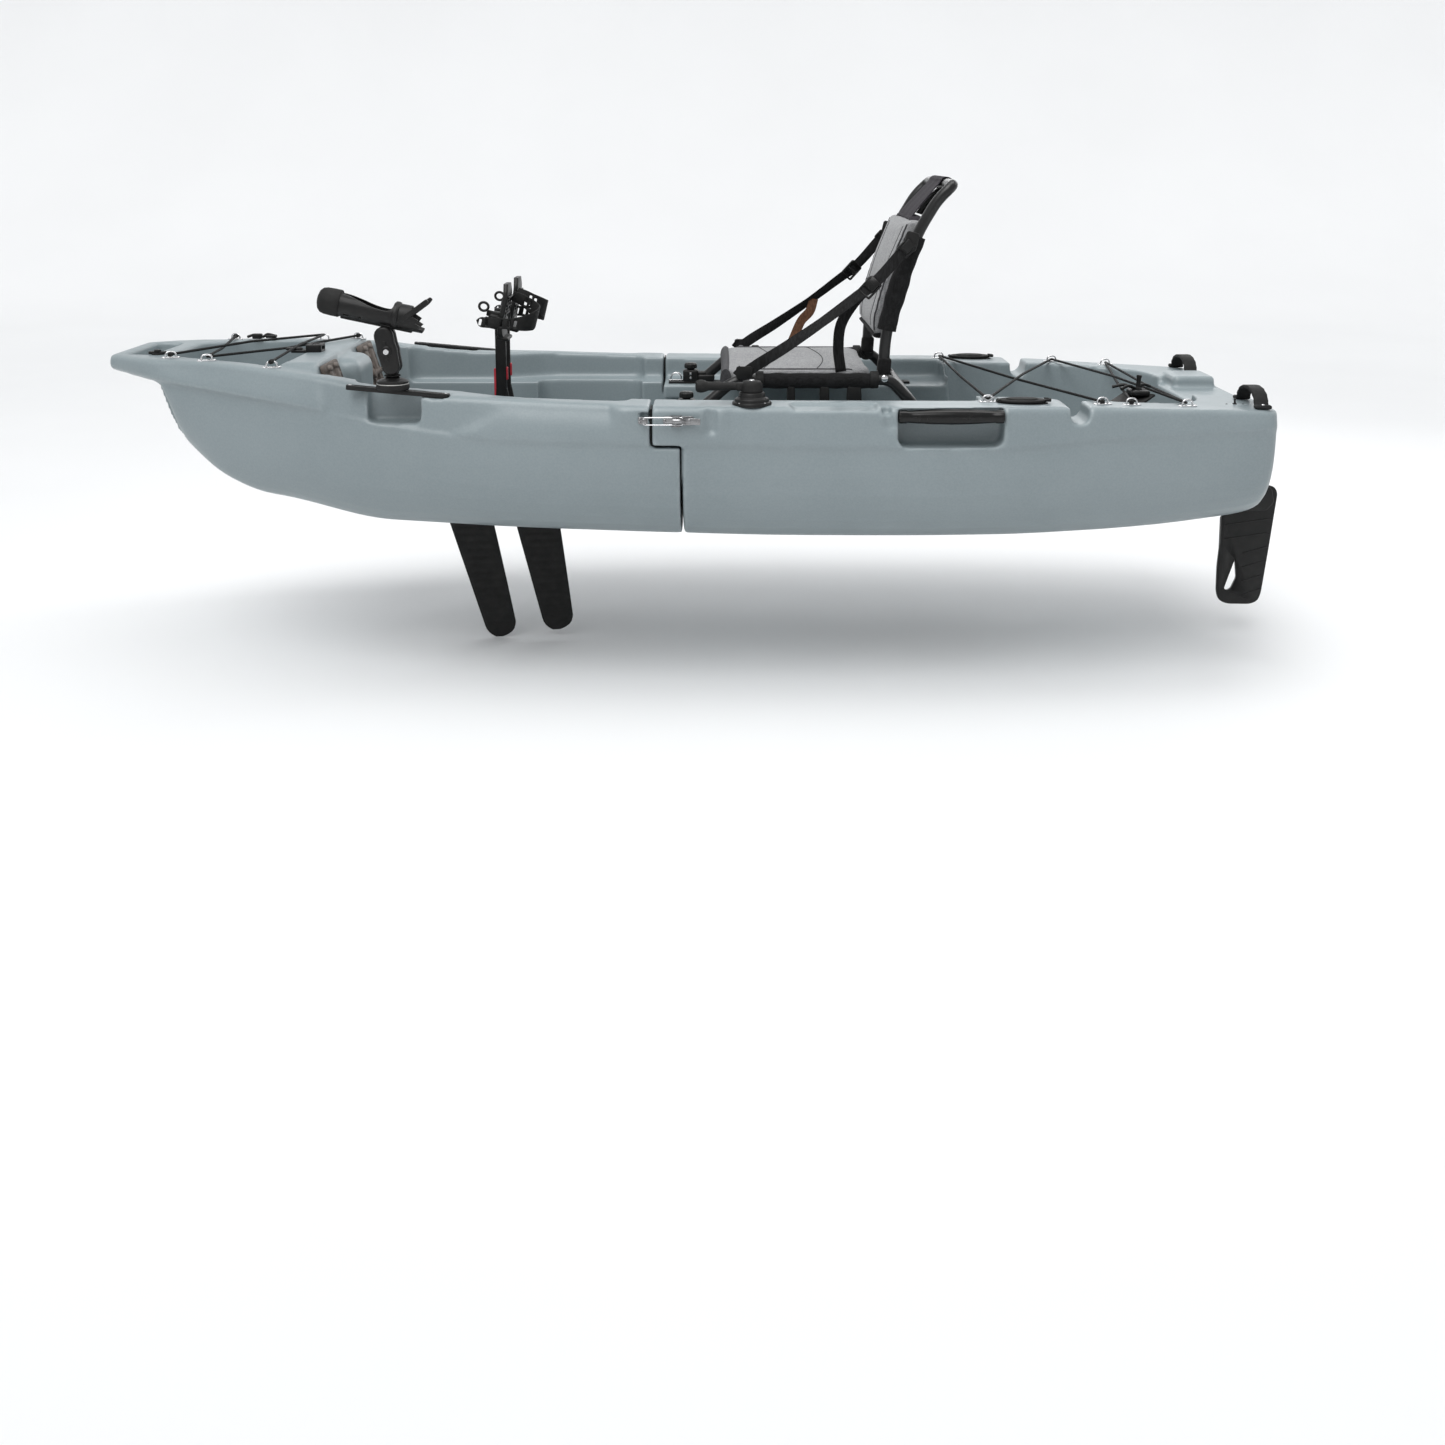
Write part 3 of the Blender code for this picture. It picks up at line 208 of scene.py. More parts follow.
def lathe(name, profile, place=(0, 0, 0), axis=(0, 0, 1), segments=40, sharp=30):
    """A profile of (radius, height) points turned round an axis through place."""
    bm = bmesh.new()
    rings = []
    for radius, height in profile:
        if radius < 1e-6:
            rings.append([bm.verts.new((0, 0, height))])
            continue
        turns = [2 * math.pi * k / segments for k in range(segments)]
        rings.append([bm.verts.new((radius * math.cos(a), radius * math.sin(a), height)) for a in turns])
    for first, second in zip(rings, rings[1:]):
        for k in range(segments):
            n = (k + 1) % segments
            if len(first) == 1 and len(second) > 1:
                bm.faces.new((first[0], second[k], second[n]))
            elif len(second) == 1 and len(first) > 1:
                bm.faces.new((first[k], first[n], second[0]))
            elif len(first) > 1:
                bm.faces.new((first[k], first[n], second[n], second[k]))
    turn = Vector((0, 0, 1)).rotation_difference(Vector(axis)).to_matrix().to_4x4()
    bmesh.ops.transform(bm, matrix=Matrix.Translation(place) @ turn, verts=bm.verts)
    return from_bmesh(name, bm, sharp)


def smooth_path(points, per=8, cyclic=False):
    """A Catmull-Rom curve through the points."""
    points = [np.array(p, float) for p in points]
    ends = ([points[-1]], points[:2]) if cyclic else (
        [2 * points[0] - points[1]], [2 * points[-1] - points[-2]])
    full = ends[0] + points + ends[1]
    path = []
    for a, b, c, d in zip(full, full[1:], full[2:], full[3:]):
        for t in np.arange(per) / per:
            path.append(0.5 * (2 * b + (c - a) * t + (2 * a - 5 * b + 4 * c - d) * t * t
                               + (3 * b - a - 3 * c + d) * t ** 3))
    if not cyclic:
        path.append(points[-1])
    return path


def turned_corners(corners, radius, steps=6):
    """The path through these corners with each inner corner turned on an arc."""
    path = [Vector(corners[0])]
    for before, corner, after in zip(corners, corners[1:], corners[2:]):
        before, corner, after = Vector(before), Vector(corner), Vector(after)
        reach = min(radius, (before - corner).length * 0.45, (after - corner).length * 0.45)
        start = corner + (before - corner).normalized() * reach
        end = corner + (after - corner).normalized() * reach
        for step in range(steps + 1):
            t = step / steps
            path.append(start * (1 - t) ** 2 + corner * 2 * t * (1 - t) + end * t ** 2)
    path.append(Vector(corners[-1]))
    return path


def round_outline(corners, radius, steps=5):
    """A closed 2D outline with its corners on arcs."""
    count = len(corners)
    made = []
    for k, corner in enumerate(corners):
        corner, before, after = Vector(corner), Vector(corners[k - 1]), Vector(corners[(k + 1) % count])
        reach = min(radius, (before - corner).length * 0.48, (after - corner).length * 0.48)
        start = corner + (before - corner).normalized() * reach
        end = corner + (after - corner).normalized() * reach
        for step in range(steps + 1):
            t = step / steps
            made.append(tuple(start * (1 - t) ** 2 + corner * 2 * t * (1 - t) + end * t ** 2))
    return made


def rectangle(low, high):
    return [(low[0], low[1]), (high[0], low[1]), (high[0], high[1]), (low[0], high[1])]


def circle(radius, steps=12, squash=1.0):
    turns = [2 * math.pi * k / steps for k in range(steps)]
    return [(radius * math.cos(a), radius * squash * math.sin(a)) for a in turns]


def sweep(name, path, profile, facing=None, cyclic=False, scale=None, sharp=40):
    """A profile of (across, outward) points carried along a path.

    With facing, the profile's outward side points that way; without, it turns as little as it can.
    """
    points = np.array([tuple(p) for p in path], float)
    ahead, behind = np.roll(points, -1, axis=0), np.roll(points, 1, axis=0)
    if not cyclic:
        ahead[-1], behind[0] = points[-1], points[0]
    tangents = ahead - behind
    tangents /= np.linalg.norm(tangents, axis=1)[:, None]
    out = np.array(facing if facing is not None else Vector(tangents[0]).orthogonal(), float)
    bm = bmesh.new()
    rings = []
    for k, (point, tangent) in enumerate(zip(points, tangents)):
        base = np.array(facing[k] if facing is not None and np.ndim(facing) > 1 else
                        (facing if facing is not None else out), float)
        out = base - base.dot(tangent) * tangent
        out /= np.linalg.norm(out)
        across = np.cross(out, tangent)
        size = scale[k] if scale is not None else 1.0
        rings.append([bm.verts.new(point + across * a * size + out * b * size) for a, b in profile])
    pairs = list(zip(rings, rings[1:])) + ([(rings[-1], rings[0])] if cyclic else [])
    for first, second in pairs:
        for k in range(len(profile)):
            n = (k + 1) % len(profile)
            bm.faces.new((first[k], first[n], second[n], second[k]))
    if not cyclic:
        bm.faces.new(rings[0])
        bm.faces.new(rings[-1][::-1])
    return from_bmesh(name, bm, sharp)


def flat(width, thickness):
    """A strap's profile, with rounded edges."""
    return round_outline(rectangle((-width / 2, -thickness / 2), (width / 2, thickness / 2)),
                         thickness * 0.45, 2)


def tube(name, path, radius, steps=16, cyclic=False, scale=None):
    return sweep(name, path, circle(radius, steps), cyclic=cyclic, scale=scale)


def screw(name, place, direction, radius=0.0045, height=0.0022):
    """A pan head with a round socket."""
    head = lathe(name, [(0, 0.3 * height), (radius * 0.5, 0.3 * height), (radius * 0.55, height),
                        (radius * 0.72, height * 0.95), (radius * 0.95, height * 0.5), (radius, 0.0),
                        (radius, -height * 0.6), (0, -height * 0.6)], place, direction, 18, 50)
    return head


# Materials

class Look:
    """A material as a small node graph. Coordinates are the piece's own, in metres."""

    def __init__(self, name, roughness=0.5, metallic=0.0, **sockets):
        self.material = bpy.data.materials.new(name)
        self.material.use_nodes = True
        self.tree = self.material.node_tree
        self.shader = self.tree.nodes.get("Principled BSDF")
        self.shader.inputs["Roughness"].default_value = roughness
        self.shader.inputs["Metallic"].default_value = metallic
        for key, value in sockets.items():
            self.shader.inputs[key.replace("_", " ")].default_value = value
        self.place = self.node("ShaderNodeTexCoord").outputs["Object"]
        self.height = None

    def node(self, kind, inputs=(), **settings):
        made = self.tree.nodes.new(kind)
        for key, value in settings.items():
            setattr(made, key, value)
        for key, value in dict(inputs).items():
            if isinstance(value, bpy.types.NodeSocket):
                self.tree.links.new(value, made.inputs[key])
            else:
                made.inputs[key].default_value = value
        return made

    def noise(self, scale, detail=3.0, roughness=0.55, stretch=(1, 1, 1)):
        place = self.node("ShaderNodeMapping", {"Vector": self.place, "Scale": stretch}).outputs[0]
        return self.node("ShaderNodeTexNoise", {"Vector": place, "Scale": scale, "Detail": detail,
                                                "Roughness": roughness}).outputs["Fac"]

    def bands(self, scale, direction, distortion=0.0):
        return self.node("ShaderNodeTexWave", {"Vector": self.place, "Scale": scale,
                                               "Distortion": distortion, "Detail": 2.0},
                         bands_direction=direction).outputs["Fac"]

    def ramp(self, value, *stops):
        """Colours, or grey values, at positions along a value."""
        made = self.node("ShaderNodeValToRGB", {"Fac": value})
        elements = made.color_ramp.elements
        while len(elements) < len(stops):
            elements.new(0.5)
        for element, (position, colour) in zip(elements, stops):
            element.position = position
            element.color = (*(colour if hasattr(colour, "__len__") else (colour,) * 3), 1)
        return made.outputs["Color"]

    def mix(self, amount, first, second, blend="MIX"):
        made = self.node("ShaderNodeMix", data_type="RGBA", blend_type=blend)
        for index, value in ((0, amount), (6, first), (7, second)):
            if isinstance(value, bpy.types.NodeSocket):
                self.tree.links.new(value, made.inputs[index])
            elif index == 0:
                made.inputs[0].default_value = value
            else:
                made.inputs[index].default_value = (*value, 1)
        return made.outputs[2]

    def colour(self, value):
        if isinstance(value, bpy.types.NodeSocket):
            self.tree.links.new(value, self.shader.inputs["Base Color"])
        else:
            self.shader.inputs["Base Color"].default_value = (*value, 1)
        return self

    def rough(self, value, low, high):
        """Roughness from low to high as the value goes from 0 to 1."""
        out = self.node("ShaderNodeMapRange", {"Value": value, "To Min": low, "To Max": high}).outputs[0]
        self.tree.links.new(out, self.shader.inputs["Roughness"])
        return self

    def bump(self, value, strength, distance):
        inputs = {"Height": value, "Strength": strength, "Distance": distance}
        if self.height:
            inputs["Normal"] = self.height
        self.height = self.node("ShaderNodeBump", inputs).outputs["Normal"]
        self.tree.links.new(self.height, self.shader.inputs["Normal"])
        return self


def hull_plastic():
    """Rotomoulded polyethylene: cloudy pigment, a fine orange peel, scuffs, and convex edges painted lighter
    as a painted highlight.
    """
    look = Look("rotomoulded_grey", Specular_IOR_Level=0.5)
    cloud = look.ramp(look.noise(3.1, 4), (0.30, (0.205, 0.247, 0.262)), (0.70, (0.246, 0.290, 0.306)))
    speck = look.ramp(look.noise(230, 3, 0.7), (0.38, (0.200, 0.242, 0.257)), (0.62, (0.252, 0.296, 0.312)))
    body = look.mix(0.35, cloud, speck)
    scuff = look.ramp(look.noise(26, 5, 0.7, (1, 0.25, 0.25)), (0.66, 0.0), (0.74, 0.22))
    body = look.mix(scuff, body, (0.30, 0.34, 0.355))
    # Painted highlight: convex edges, found by pointiness, are painted a lighter grey as if they caught the
    # light.
    edge_highlight = look.node("ShaderNodeNewGeometry").outputs["Pointiness"]
    edge_highlight = look.ramp(edge_highlight, (0.515, 0.0), (0.56, 0.5))
    look.colour(look.mix(edge_highlight, body, (0.36, 0.405, 0.42)))
    look.rough(look.noise(14, 4), 0.27, 0.44)
    look.bump(look.noise(420, 2), 0.35, 0.00025)
    look.bump(look.noise(9, 2), 0.30, 0.0016)
    return look.material


def moulded_black(name, shade, low, high, grain, depth):
    """Black nylon or rubber with a spark-eroded grain and dust in it."""
    look = Look(name, Specular_IOR_Level=0.3)
    dust = look.ramp(look.noise(34, 5, 0.65), (0.42, (shade,) * 3),
                     (0.75, (shade * 1.8, shade * 1.77, shade * 1.7)))
    look.colour(dust)
    look.rough(look.noise(60, 4), low, high)
    look.bump(look.noise(grain, 2, 0.6), 0.5, depth)
    return look.material


def black_tube():
    look = Look("black_powder_coat", Specular_IOR_Level=0.35, Coat_Weight=0.15, Coat_Roughness=0.15)
    look.colour(look.ramp(look.noise(50, 3), (0.3, (0.007,) * 3), (0.8, (0.013, 0.013, 0.0135))))
    look.rough(look.noise(70, 3), 0.26, 0.40)
    look.bump(look.noise(900, 1), 0.25, 0.00012)
    return look.material


def brushed(name, colour, low, high, along=(1, 18, 18)):
    """Metal with fine drawn lines and a little tarnish."""
    look = Look(name, metallic=1.0)
    tone = look.noise(40, 4, 0.6, along)
    dark = tuple(0.78 * c for c in colour)
    look.colour(look.ramp(tone, (0.3, dark), (0.65, colour)))
    look.rough(look.noise(90, 3, 0.6, along), low, high)
    look.bump(look.noise(260, 2, 0.6, along), 0.12, 0.0001)
    return look.material


def heather(name, dark, light, weave=520, pile=0.0004, sheen=0.03):
    """A melange weave: light and dark yarns crossing, with a nap."""
    look = Look(name, roughness=0.95, Specular_IOR_Level=0.2, Sheen_Weight=sheen, Sheen_Roughness=0.5)
    warp = look.ramp(look.noise(weave, 2, 0.6, (0.12, 1, 0.12)), (0.38, dark), (0.62, light))
    weft = look.ramp(look.noise(weave, 2, 0.6, (1, 0.12, 1)), (0.38, dark), (0.62, light))
    cloth = look.mix(0.5, warp, weft)
    shade = look.ramp(look.noise(12, 3), (0.3, (0.86,) * 3), (0.7, (1.0,) * 3))
    look.colour(look.mix(1.0, cloth, shade, "MULTIPLY"))
    look.bump(look.noise(weave, 2, 0.6, (0.12, 1, 0.12)), 0.5, pile)
    look.bump(look.noise(weave, 2, 0.6, (1, 0.12, 1)), 0.5, pile)
    look.bump(look.noise(38, 3), 0.35, 0.0012)
    return look.material


def webbing(name, dark, light):
    """Polyester webbing with its ribs across."""
    look = Look(name, roughness=0.8, Specular_IOR_Level=0.2, Sheen_Weight=0.02)
    look.colour(look.ramp(look.noise(300, 2, 0.6, (1, 1, 0.2)), (0.35, dark), (0.7, light)))
    look.bump(look.bands(140, "DIAGONAL"), 0.45, 0.0003)
    look.bump(look.noise(700, 1), 0.3, 0.0002)
    return look.material


def foot_pad(name, dark, light):
    """A moulded pad with a pebbled face, its colours painted light: brown-grey painted shade with a warm
    painted reflection, or a lighter lit copy.
    """
    look = Look(name, Specular_IOR_Level=0.3)
    look.colour(look.ramp(look.noise(30, 4), (0.3, dark), (0.75, light)))
    look.rough(look.noise(80, 3), 0.55, 0.78)
    cells = look.node("ShaderNodeTexVoronoi", {"Vector": look.place, "Scale": 420.0}).outputs["Distance"]
    look.bump(cells, 0.5, 0.0004)
    return look.material


def anodised_red():
    look = Look("red_anodised", metallic=0.35)
    look.colour(look.ramp(look.noise(60, 3), (0.3, (0.42, 0.018, 0.035)), (0.75, (0.58, 0.045, 0.062))))
    look.rough(look.noise(90, 3), 0.32, 0.45)
    look.bump(look.noise(500, 2), 0.2, 0.0001)
    return look.material


MATERIALS = {
    "hull": (hull_plastic(), "hull_plastic"),
    "plastic": (moulded_black("moulded_black", 0.0075, 0.34, 0.52, 900, 0.00018), "black_plastic"),
    "gloss": (moulded_black("polished_black", 0.006, 0.16, 0.28, 1200, 0.00005), "black_plastic"),
    "matt": (moulded_black("matt_black", 0.008, 0.55, 0.75, 700, 0.0003), "black_plastic"),
    "rubber": (moulded_black("black_rubber", 0.010, 0.62, 0.82, 800, 0.0003), "black_rubber"),
    "cord": (moulded_black("bungee_sheath", 0.008, 0.6, 0.8, 1500, 0.0005), "black_rubber"),
    "tube": (black_tube(), "black_tube"),
    "steel": (brushed("brushed_stainless", (0.62, 0.62, 0.63), 0.22, 0.36), "steel"),
    "chrome": (brushed("polished_stainless", (0.80, 0.80, 0.81), 0.06, 0.14), "steel"),
    "latch": (brushed("latch_steel", (0.33, 0.33, 0.335), 0.20, 0.38), "steel"),
    "grey": (heather("heather_grey", (0.165, 0.168, 0.174), (0.36, 0.363, 0.37), sheen=0.20), "grey_fabric"),
    "black_cloth": (heather("black_cloth", (0.006,) * 3, (0.020, 0.020, 0.021), 620), "webbing"),
    "plum_cloth": (heather("plum_cloth", (0.016, 0.014, 0.018), (0.040, 0.035, 0.042), 620), "webbing"),
    "seam": (heather("seam_thread", (0.045, 0.045, 0.048), (0.085, 0.085, 0.090), 900), "grey_fabric"),
    "webbing": (webbing("webbing", (0.006, 0.006, 0.006), (0.018, 0.018, 0.019)), "webbing"),
    # A lit copy of the black webbing: its brown is painted warm light reflected onto the far strap's tail.
    "painted_sunlit_webbing": (webbing("sunlit_webbing", (0.055, 0.024, 0.012), (0.105, 0.048, 0.025)), "webbing"),
    # Painted shade: the foot rest's brown-grey stands for the footwell's shade with a warm painted
    # reflection; the next entry is the same pad painted lighter, as lit, for its ribs.
    "pad": (foot_pad("foot_pad", (0.085, 0.068, 0.058), (0.140, 0.118, 0.104)), "foot_pad"),
    "lit_pad_rib": (foot_pad("lit_foot_pad_rib", (0.150, 0.128, 0.115), (0.215, 0.190, 0.172)), "foot_pad"),
    "red": (anodised_red(), "black_plastic"),
    "pale": (brushed("pale_ring", (0.62, 0.62, 0.60), 0.45, 0.6), "steel"),
    "tread": (moulded_black("brown_black_mat", 0.014, 0.5, 0.7, 300, 0.0006), "black_rubber"),
}


def paint(obj, look):
    material, slot = MATERIALS[look]
    obj.data.materials.clear()
    obj.data.materials.append(material)
    return obj


def place(obj, look, body, *nodes):
    """Finishes a piece: its material, the body that it rides on and the CAD nodes it stands for."""
    if look:
        paint(obj, look)
    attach(obj, body)
    if nodes:
        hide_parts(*nodes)
    return obj


def span_fold(obj, look, start, end, *nodes):
    """Finishes a strap that runs from the seat to the backrest: its material, its baked transform and the CAD
    nodes it stands for. start and end are not used.
    """
    paint(obj, look)
    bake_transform(obj)
    if nodes:
        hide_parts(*nodes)
    return obj




# Hull

# x, half breadth at the gunwale, gunwale height, crease height, bottom height
STATIONS = (
    (-1.398, 0.134, 0.388, 0.354, 0.351),
    (-1.345, 0.171, 0.388, 0.348, 0.344),
    (-1.335, 0.178, 0.388, 0.347, 0.306),
    (-1.312, 0.193, 0.387, 0.344, 0.231),
    (-1.287, 0.206, 0.387, 0.340, 0.181),
    (-1.242, 0.227, 0.386, 0.334, 0.131),
    (-1.192, 0.247, 0.386, 0.327, 0.098),
    (-1.105, 0.281, 0.384, 0.317, 0.064),
    (-1.000, 0.323, 0.378, 0.306, 0.045),
    (-0.870, 0.371, 0.367, 0.292, 0.036),
    (-0.745, 0.408, 0.348, 0.273, 0.030),
    (-0.620, 0.432, 0.338, 0.257, 0.025),
    (-0.450, 0.456, 0.331, 0.239, 0.018),
    (-0.300, 0.467, 0.325, 0.236, 0.013),
    (-0.100, 0.474, 0.320, 0.233, 0.007),
    (0.150, 0.474, 0.319, 0.229, 0.001),
    (0.400, 0.470, 0.318, 0.226, 0.0),
    (0.600, 0.458, 0.317, 0.225, 0.001),
    (0.800, 0.434, 0.312, 0.236, 0.008),
    (0.950, 0.412, 0.305, 0.242, 0.018),
    (1.080, 0.392, 0.300, 0.246, 0.033),
    (1.150, 0.382, 0.297, 0.248, 0.044),
    (1.185, 0.372, 0.295, 0.249, 0.056),
    (1.198, 0.360, 0.294, 0.249, 0.072),
    (1.204, 0.340, 0.292, 0.249, 0.095),
)

DRIVE_OCTAGON = [(-0.772, -0.054), (-0.680, -0.124), (-0.282, -0.124), (-0.198, -0.054),
                 (-0.198, 0.054), (-0.282, 0.124), (-0.680, 0.124), (-0.772, 0.054)]
DRIVE_OPENING = [(-0.704, -0.018), (-0.600, -0.053), (-0.480, -0.053), (-0.379, -0.018),
                 (-0.379, 0.018), (-0.480, 0.053), (-0.600, 0.053), (-0.704, 0.018)]
SENSOR_OUTLINE = [(0.232, -0.045), (0.252, -0.078), (0.300, -0.100), (0.634, -0.100),
                  (0.634, 0.100), (0.300, 0.100), (0.252, 0.078), (0.232, 0.045)]


def smooth_table(column, x):
    """A smooth curve through one column of STATIONS, with no overshoot between the stations."""
    xs = np.array([row[0] for row in STATIONS])
    ys = np.array([row[column] for row in STATIONS])
    slope = np.diff(ys) / np.diff(xs)
    tangent = np.zeros(len(xs))
    rising = slope[:-1] * slope[1:] > 0
    tangent[1:-1][rising] = 2 / (1 / slope[:-1][rising] + 1 / slope[1:][rising])
    tangent[0], tangent[-1] = slope[0], slope[-1]
    k = int(np.clip(np.searchsorted(xs, x) - 1, 0, len(xs) - 2))
    width = xs[k + 1] - xs[k]
    t = (x - xs[k]) / width
    return float(
        (1 + 2 * t) * (1 - t) ** 2 * ys[k] + t * (1 - t) ** 2 * width * tangent[k]
        + t * t * (3 - 2 * t) * ys[k + 1] - t * t * (1 - t) * width * tangent[k + 1])


def ramp(x, start, end):
    t = min(max((x - start) / (end - start), 0.0), 1.0)
    return t * t * (3 - 2 * t)


def band_offset(x, rise):
    """How far inboard of the breadth the gunwale band lies, at rise 0 (its crease) to 1 (its top)."""
    lean = (0.017 * ramp(x, -1.32, -1.20) * (1 - ramp(x, -0.240, -0.212))
            + 0.006 * ramp(x, -0.005, 0.02))
    fore, aft = -0.852 - 0.014 * rise, -0.560 + 0.100 * rise
    set_in = 0.011 * (ramp(x, fore - 0.010, fore + 0.008) - ramp(x, aft - 0.014, aft + 0.014))
    bulge = 0.004 * 4 * rise * (1 - rise) * ramp(x, -0.52, -0.42) * (1 - ramp(x, -0.240, -0.212))
    flat = 0.6 * lean * set_in / 0.011
    return lean * rise ** 1.3 + set_in - bulge - flat * rise ** 1.3


def bow_lift(x):
    """How far the chines and the valleys beside the keel line stand above it, towards the stem."""
    return (0.030 * (1 - ramp(x, -1.000, -0.730)) + 0.044 * (1 - ramp(x, -1.270, -1.020))
            + 0.150 * (1 - ramp(x, -1.305, -1.215)))


def half_section(x):
    """The hull's section at x, from the keel round the bilge and gunwale to the deck's middle."""
    breadth, sheer, crease, bottom = (smooth_table(column, x) for column in (1, 2, 3, 4))
    width = breadth - 0.005 - 0.010 * (1 - ramp(x, -1.10, -0.75))
    spread = 0.35 + 0.65 * ramp(x, STEM_X, -1.12)
    body = ramp(x, STEM_X - 0.008, STEM_X + 0.03)
    keel = (1 - ramp(x, -1.30, -0.77)) * body
    rise = 0.038 * keel
    depth = 0.011 * (1 - keel) * body
    lift = bow_lift(x)
    inner, outer, side = 0.120 * spread, 0.205 * spread, 0.010 * spread
    shape = [
        (0.0, 0.0, 0.0), (0.06 * inner, 0.12 * rise, 0.12), (0.20 * inner, 0.62 * rise, 0.62),
        (0.45 * inner, 0.92 * rise, 0.90), (0.8 * inner, 1.02 * rise, 1.0),
        (inner, rise, 1.0), (inner + side, rise + depth, 1.0),
        ((inner + outer) / 2, 0.92 * rise + depth, 1.0),
        (outer - side, 0.8 * rise + depth, 1.0), (outer, 0.4 * rise, 1.0)]
    highest = crease - 0.006
    points = [(y, min(bottom + height + lift * part, max(highest, bottom))) for y, height, part in shape]
    base = points[-1][1]
    for degrees in (10, 20, 30, 40, 50, 60, 70, 80, 86, 90):
        angle = math.radians(degrees)
        points.append((
            outer + (width - outer) * math.sin(angle) ** 0.75,
            crease - (crease - base) * max(math.cos(angle), 0.0) ** 0.75))
    top = sheer - 0.016
    low = crease + 0.007
    for step in range(7):
        part = step / 6
        points.append((breadth - band_offset(x, part), low + (top - low) * part))
    edge = points[-1][0]
    for degrees in (30, 60, 90):
        angle = math.radians(degrees)
        points.append((edge - 0.016 * (1 - math.cos(angle)), top + 0.016 * math.sin(angle)))
    return points + [(0.5 * edge, sheer), (0.0, sheer)]


def hull_loft(name, start, end):
    """The closed hull between two stations, before its wells are cut."""
    wanted = [row[0] for row in STATIONS] + list(np.arange(-1.39, 1.19, 0.016)) + [start, end]
    bm = bmesh.new()
    rings = []
    for x in sorted({round(float(x), 4) for x in wanted if start <= x <= end}):
        half = half_section(x)
        loop = half + [(-y, z) for y, z in reversed(half[1:-1])]
        rings.append([bm.verts.new((x, y, z)) for y, z in loop])
    for first, second in zip(rings, rings[1:]):
        for k in range(len(first)):
            n = (k + 1) % len(first)
            bm.faces.new((first[k], first[n], second[n], second[k]))
    bm.faces.new(rings[0])
    bm.faces.new(rings[-1])
    return from_bmesh(name, bm)


def well(name, outline, floor, top, draft):
    """A well's cutter: its outline at the top, drawn in towards a filleted floor."""
    middle = Vector((sum(p[0] for p in outline), sum(p[1] for p in outline))) / len(outline)
    bm = bmesh.new()
    rings = []
    for inward, height in ((draft + 0.010, floor), (draft + 0.003, floor + 0.003),
                           (draft, floor + 0.010), (0.0, top)):
        ring = []
        for place in outline:
            spot = Vector(place)
            spot += (middle - spot).normalized() * inward
            ring.append(bm.verts.new((spot.x, spot.y, height)))
        rings.append(ring)
    for first, second in zip(rings, rings[1:]):
        for k in range(len(first)):
            n = (k + 1) % len(first)
            bm.faces.new((first[k], first[n], second[n], second[k]))
    bm.faces.new(rings[0][::-1])
    bm.faces.new(rings[-1])
    return from_bmesh(name, bm)


def symmetric(half):
    """An outline from its starboard half, given bow to stern."""
    return [(x, -y) for x, y in half] + list(reversed(half))


def grown(outline, by):
    middle_x = sum(p[0] for p in outline) / len(outline)
    return [(x + math.copysign(by, x - middle_x), y + math.copysign(by, y)) for x, y in outline]


def sided(side, inner, outer):
    """The lowest and the highest Y between two distances from the centre plane, on one side."""
    return (inner, outer) if side > 0 else (-outer, -inner)


def track_place():
    return Matrix.Translation((-0.690, 0, TRACK_TOP_Z)) @ Matrix.Rotation(TRACK_TILT, 4, "Y")


def footwell_cutters():
    slot = plate("bow_slot", round_outline([(-1.368, -0.112), (-1.308, -0.118), (-1.308, 0.118),
                                            (-1.368, 0.112)], 0.014), 0.325, 0.45)
    bow = well("bow_well", round_outline(symmetric(
        [(-1.272, 0.115), (-1.20, 0.175), (-1.09, 0.215), (-0.985, 0.255), (-0.965, 0.235)]), 0.03),
        0.285, 0.45, 0.015)
    narrow = plate("footwell", [(-0.915, 0.45), (-0.815, FLOOR_Z), (-0.02, FLOOR_Z), (-0.02, 0.45)],
                   -0.30, 0.30, "XZ", bevel=0.014, segments=3)
    shelf = well("shelf", round_outline(symmetric(
        [(-0.80, 0.335), (-0.575, 0.335), (-0.455, 0.395), (-0.205, 0.395), (-0.195, 0.335),
         (-0.10, 0.335)]), 0.035), LEDGE_Z - 0.005, 0.45, 0.005)
    wide = well("wide_well", round_outline(symmetric([(-0.470, 0.355), (-0.205, 0.355)]), 0.04),
                0.16, 0.30, 0.006)
    return [slot, bow, narrow, shelf, wide]


def seat_cutters():
    ledge = well("seat_ledge", round_outline(symmetric([(-0.30, 0.36), (0.560, 0.36)]), 0.04),
                 LEDGE_Z, 0.45, 0.004)
    middle = well("seat_well", round_outline(symmetric([(-0.30, 0.20), (0.700, 0.20)]), 0.03),
                  FLOOR_Z, 0.45, 0.004)
    return [ledge, middle]


def tank_cutters():
    tank = well("tank_well", round_outline(symmetric(
        [(0.545, 0.305), (0.700, 0.315), (0.745, 0.345), (0.98, 0.325), (1.06, 0.27), (1.085, 0.20)]),
        0.04), TANK_FLOOR_Z, 0.45, 0.035)
    stern = well("stern_pan", round_outline(symmetric([(1.02, 0.15), (1.30, 0.15)]), 0.02), 0.283, 0.45,
                 0.004)
    return [tank, stern]


def scuppers(xs, y, radius):
    """Drain holes right through, each with a groove that trails aft under the hull."""
    made = []
    for side, word in SIDES:
        for number, x in enumerate(xs):
            made.append(rod(f"scupper_{word}_{number}", (x, side * y, -0.05), (x, side * y, 0.25),
                            radius))
            bottom = smooth_table(4, x) + 0.009
            made.append(rod(f"groove_{word}_{number}", (x, side * y, bottom - 0.022),
                            (x + 0.125, side * y, bottom + 0.001), radius * 1.03, 0.003))
    return made


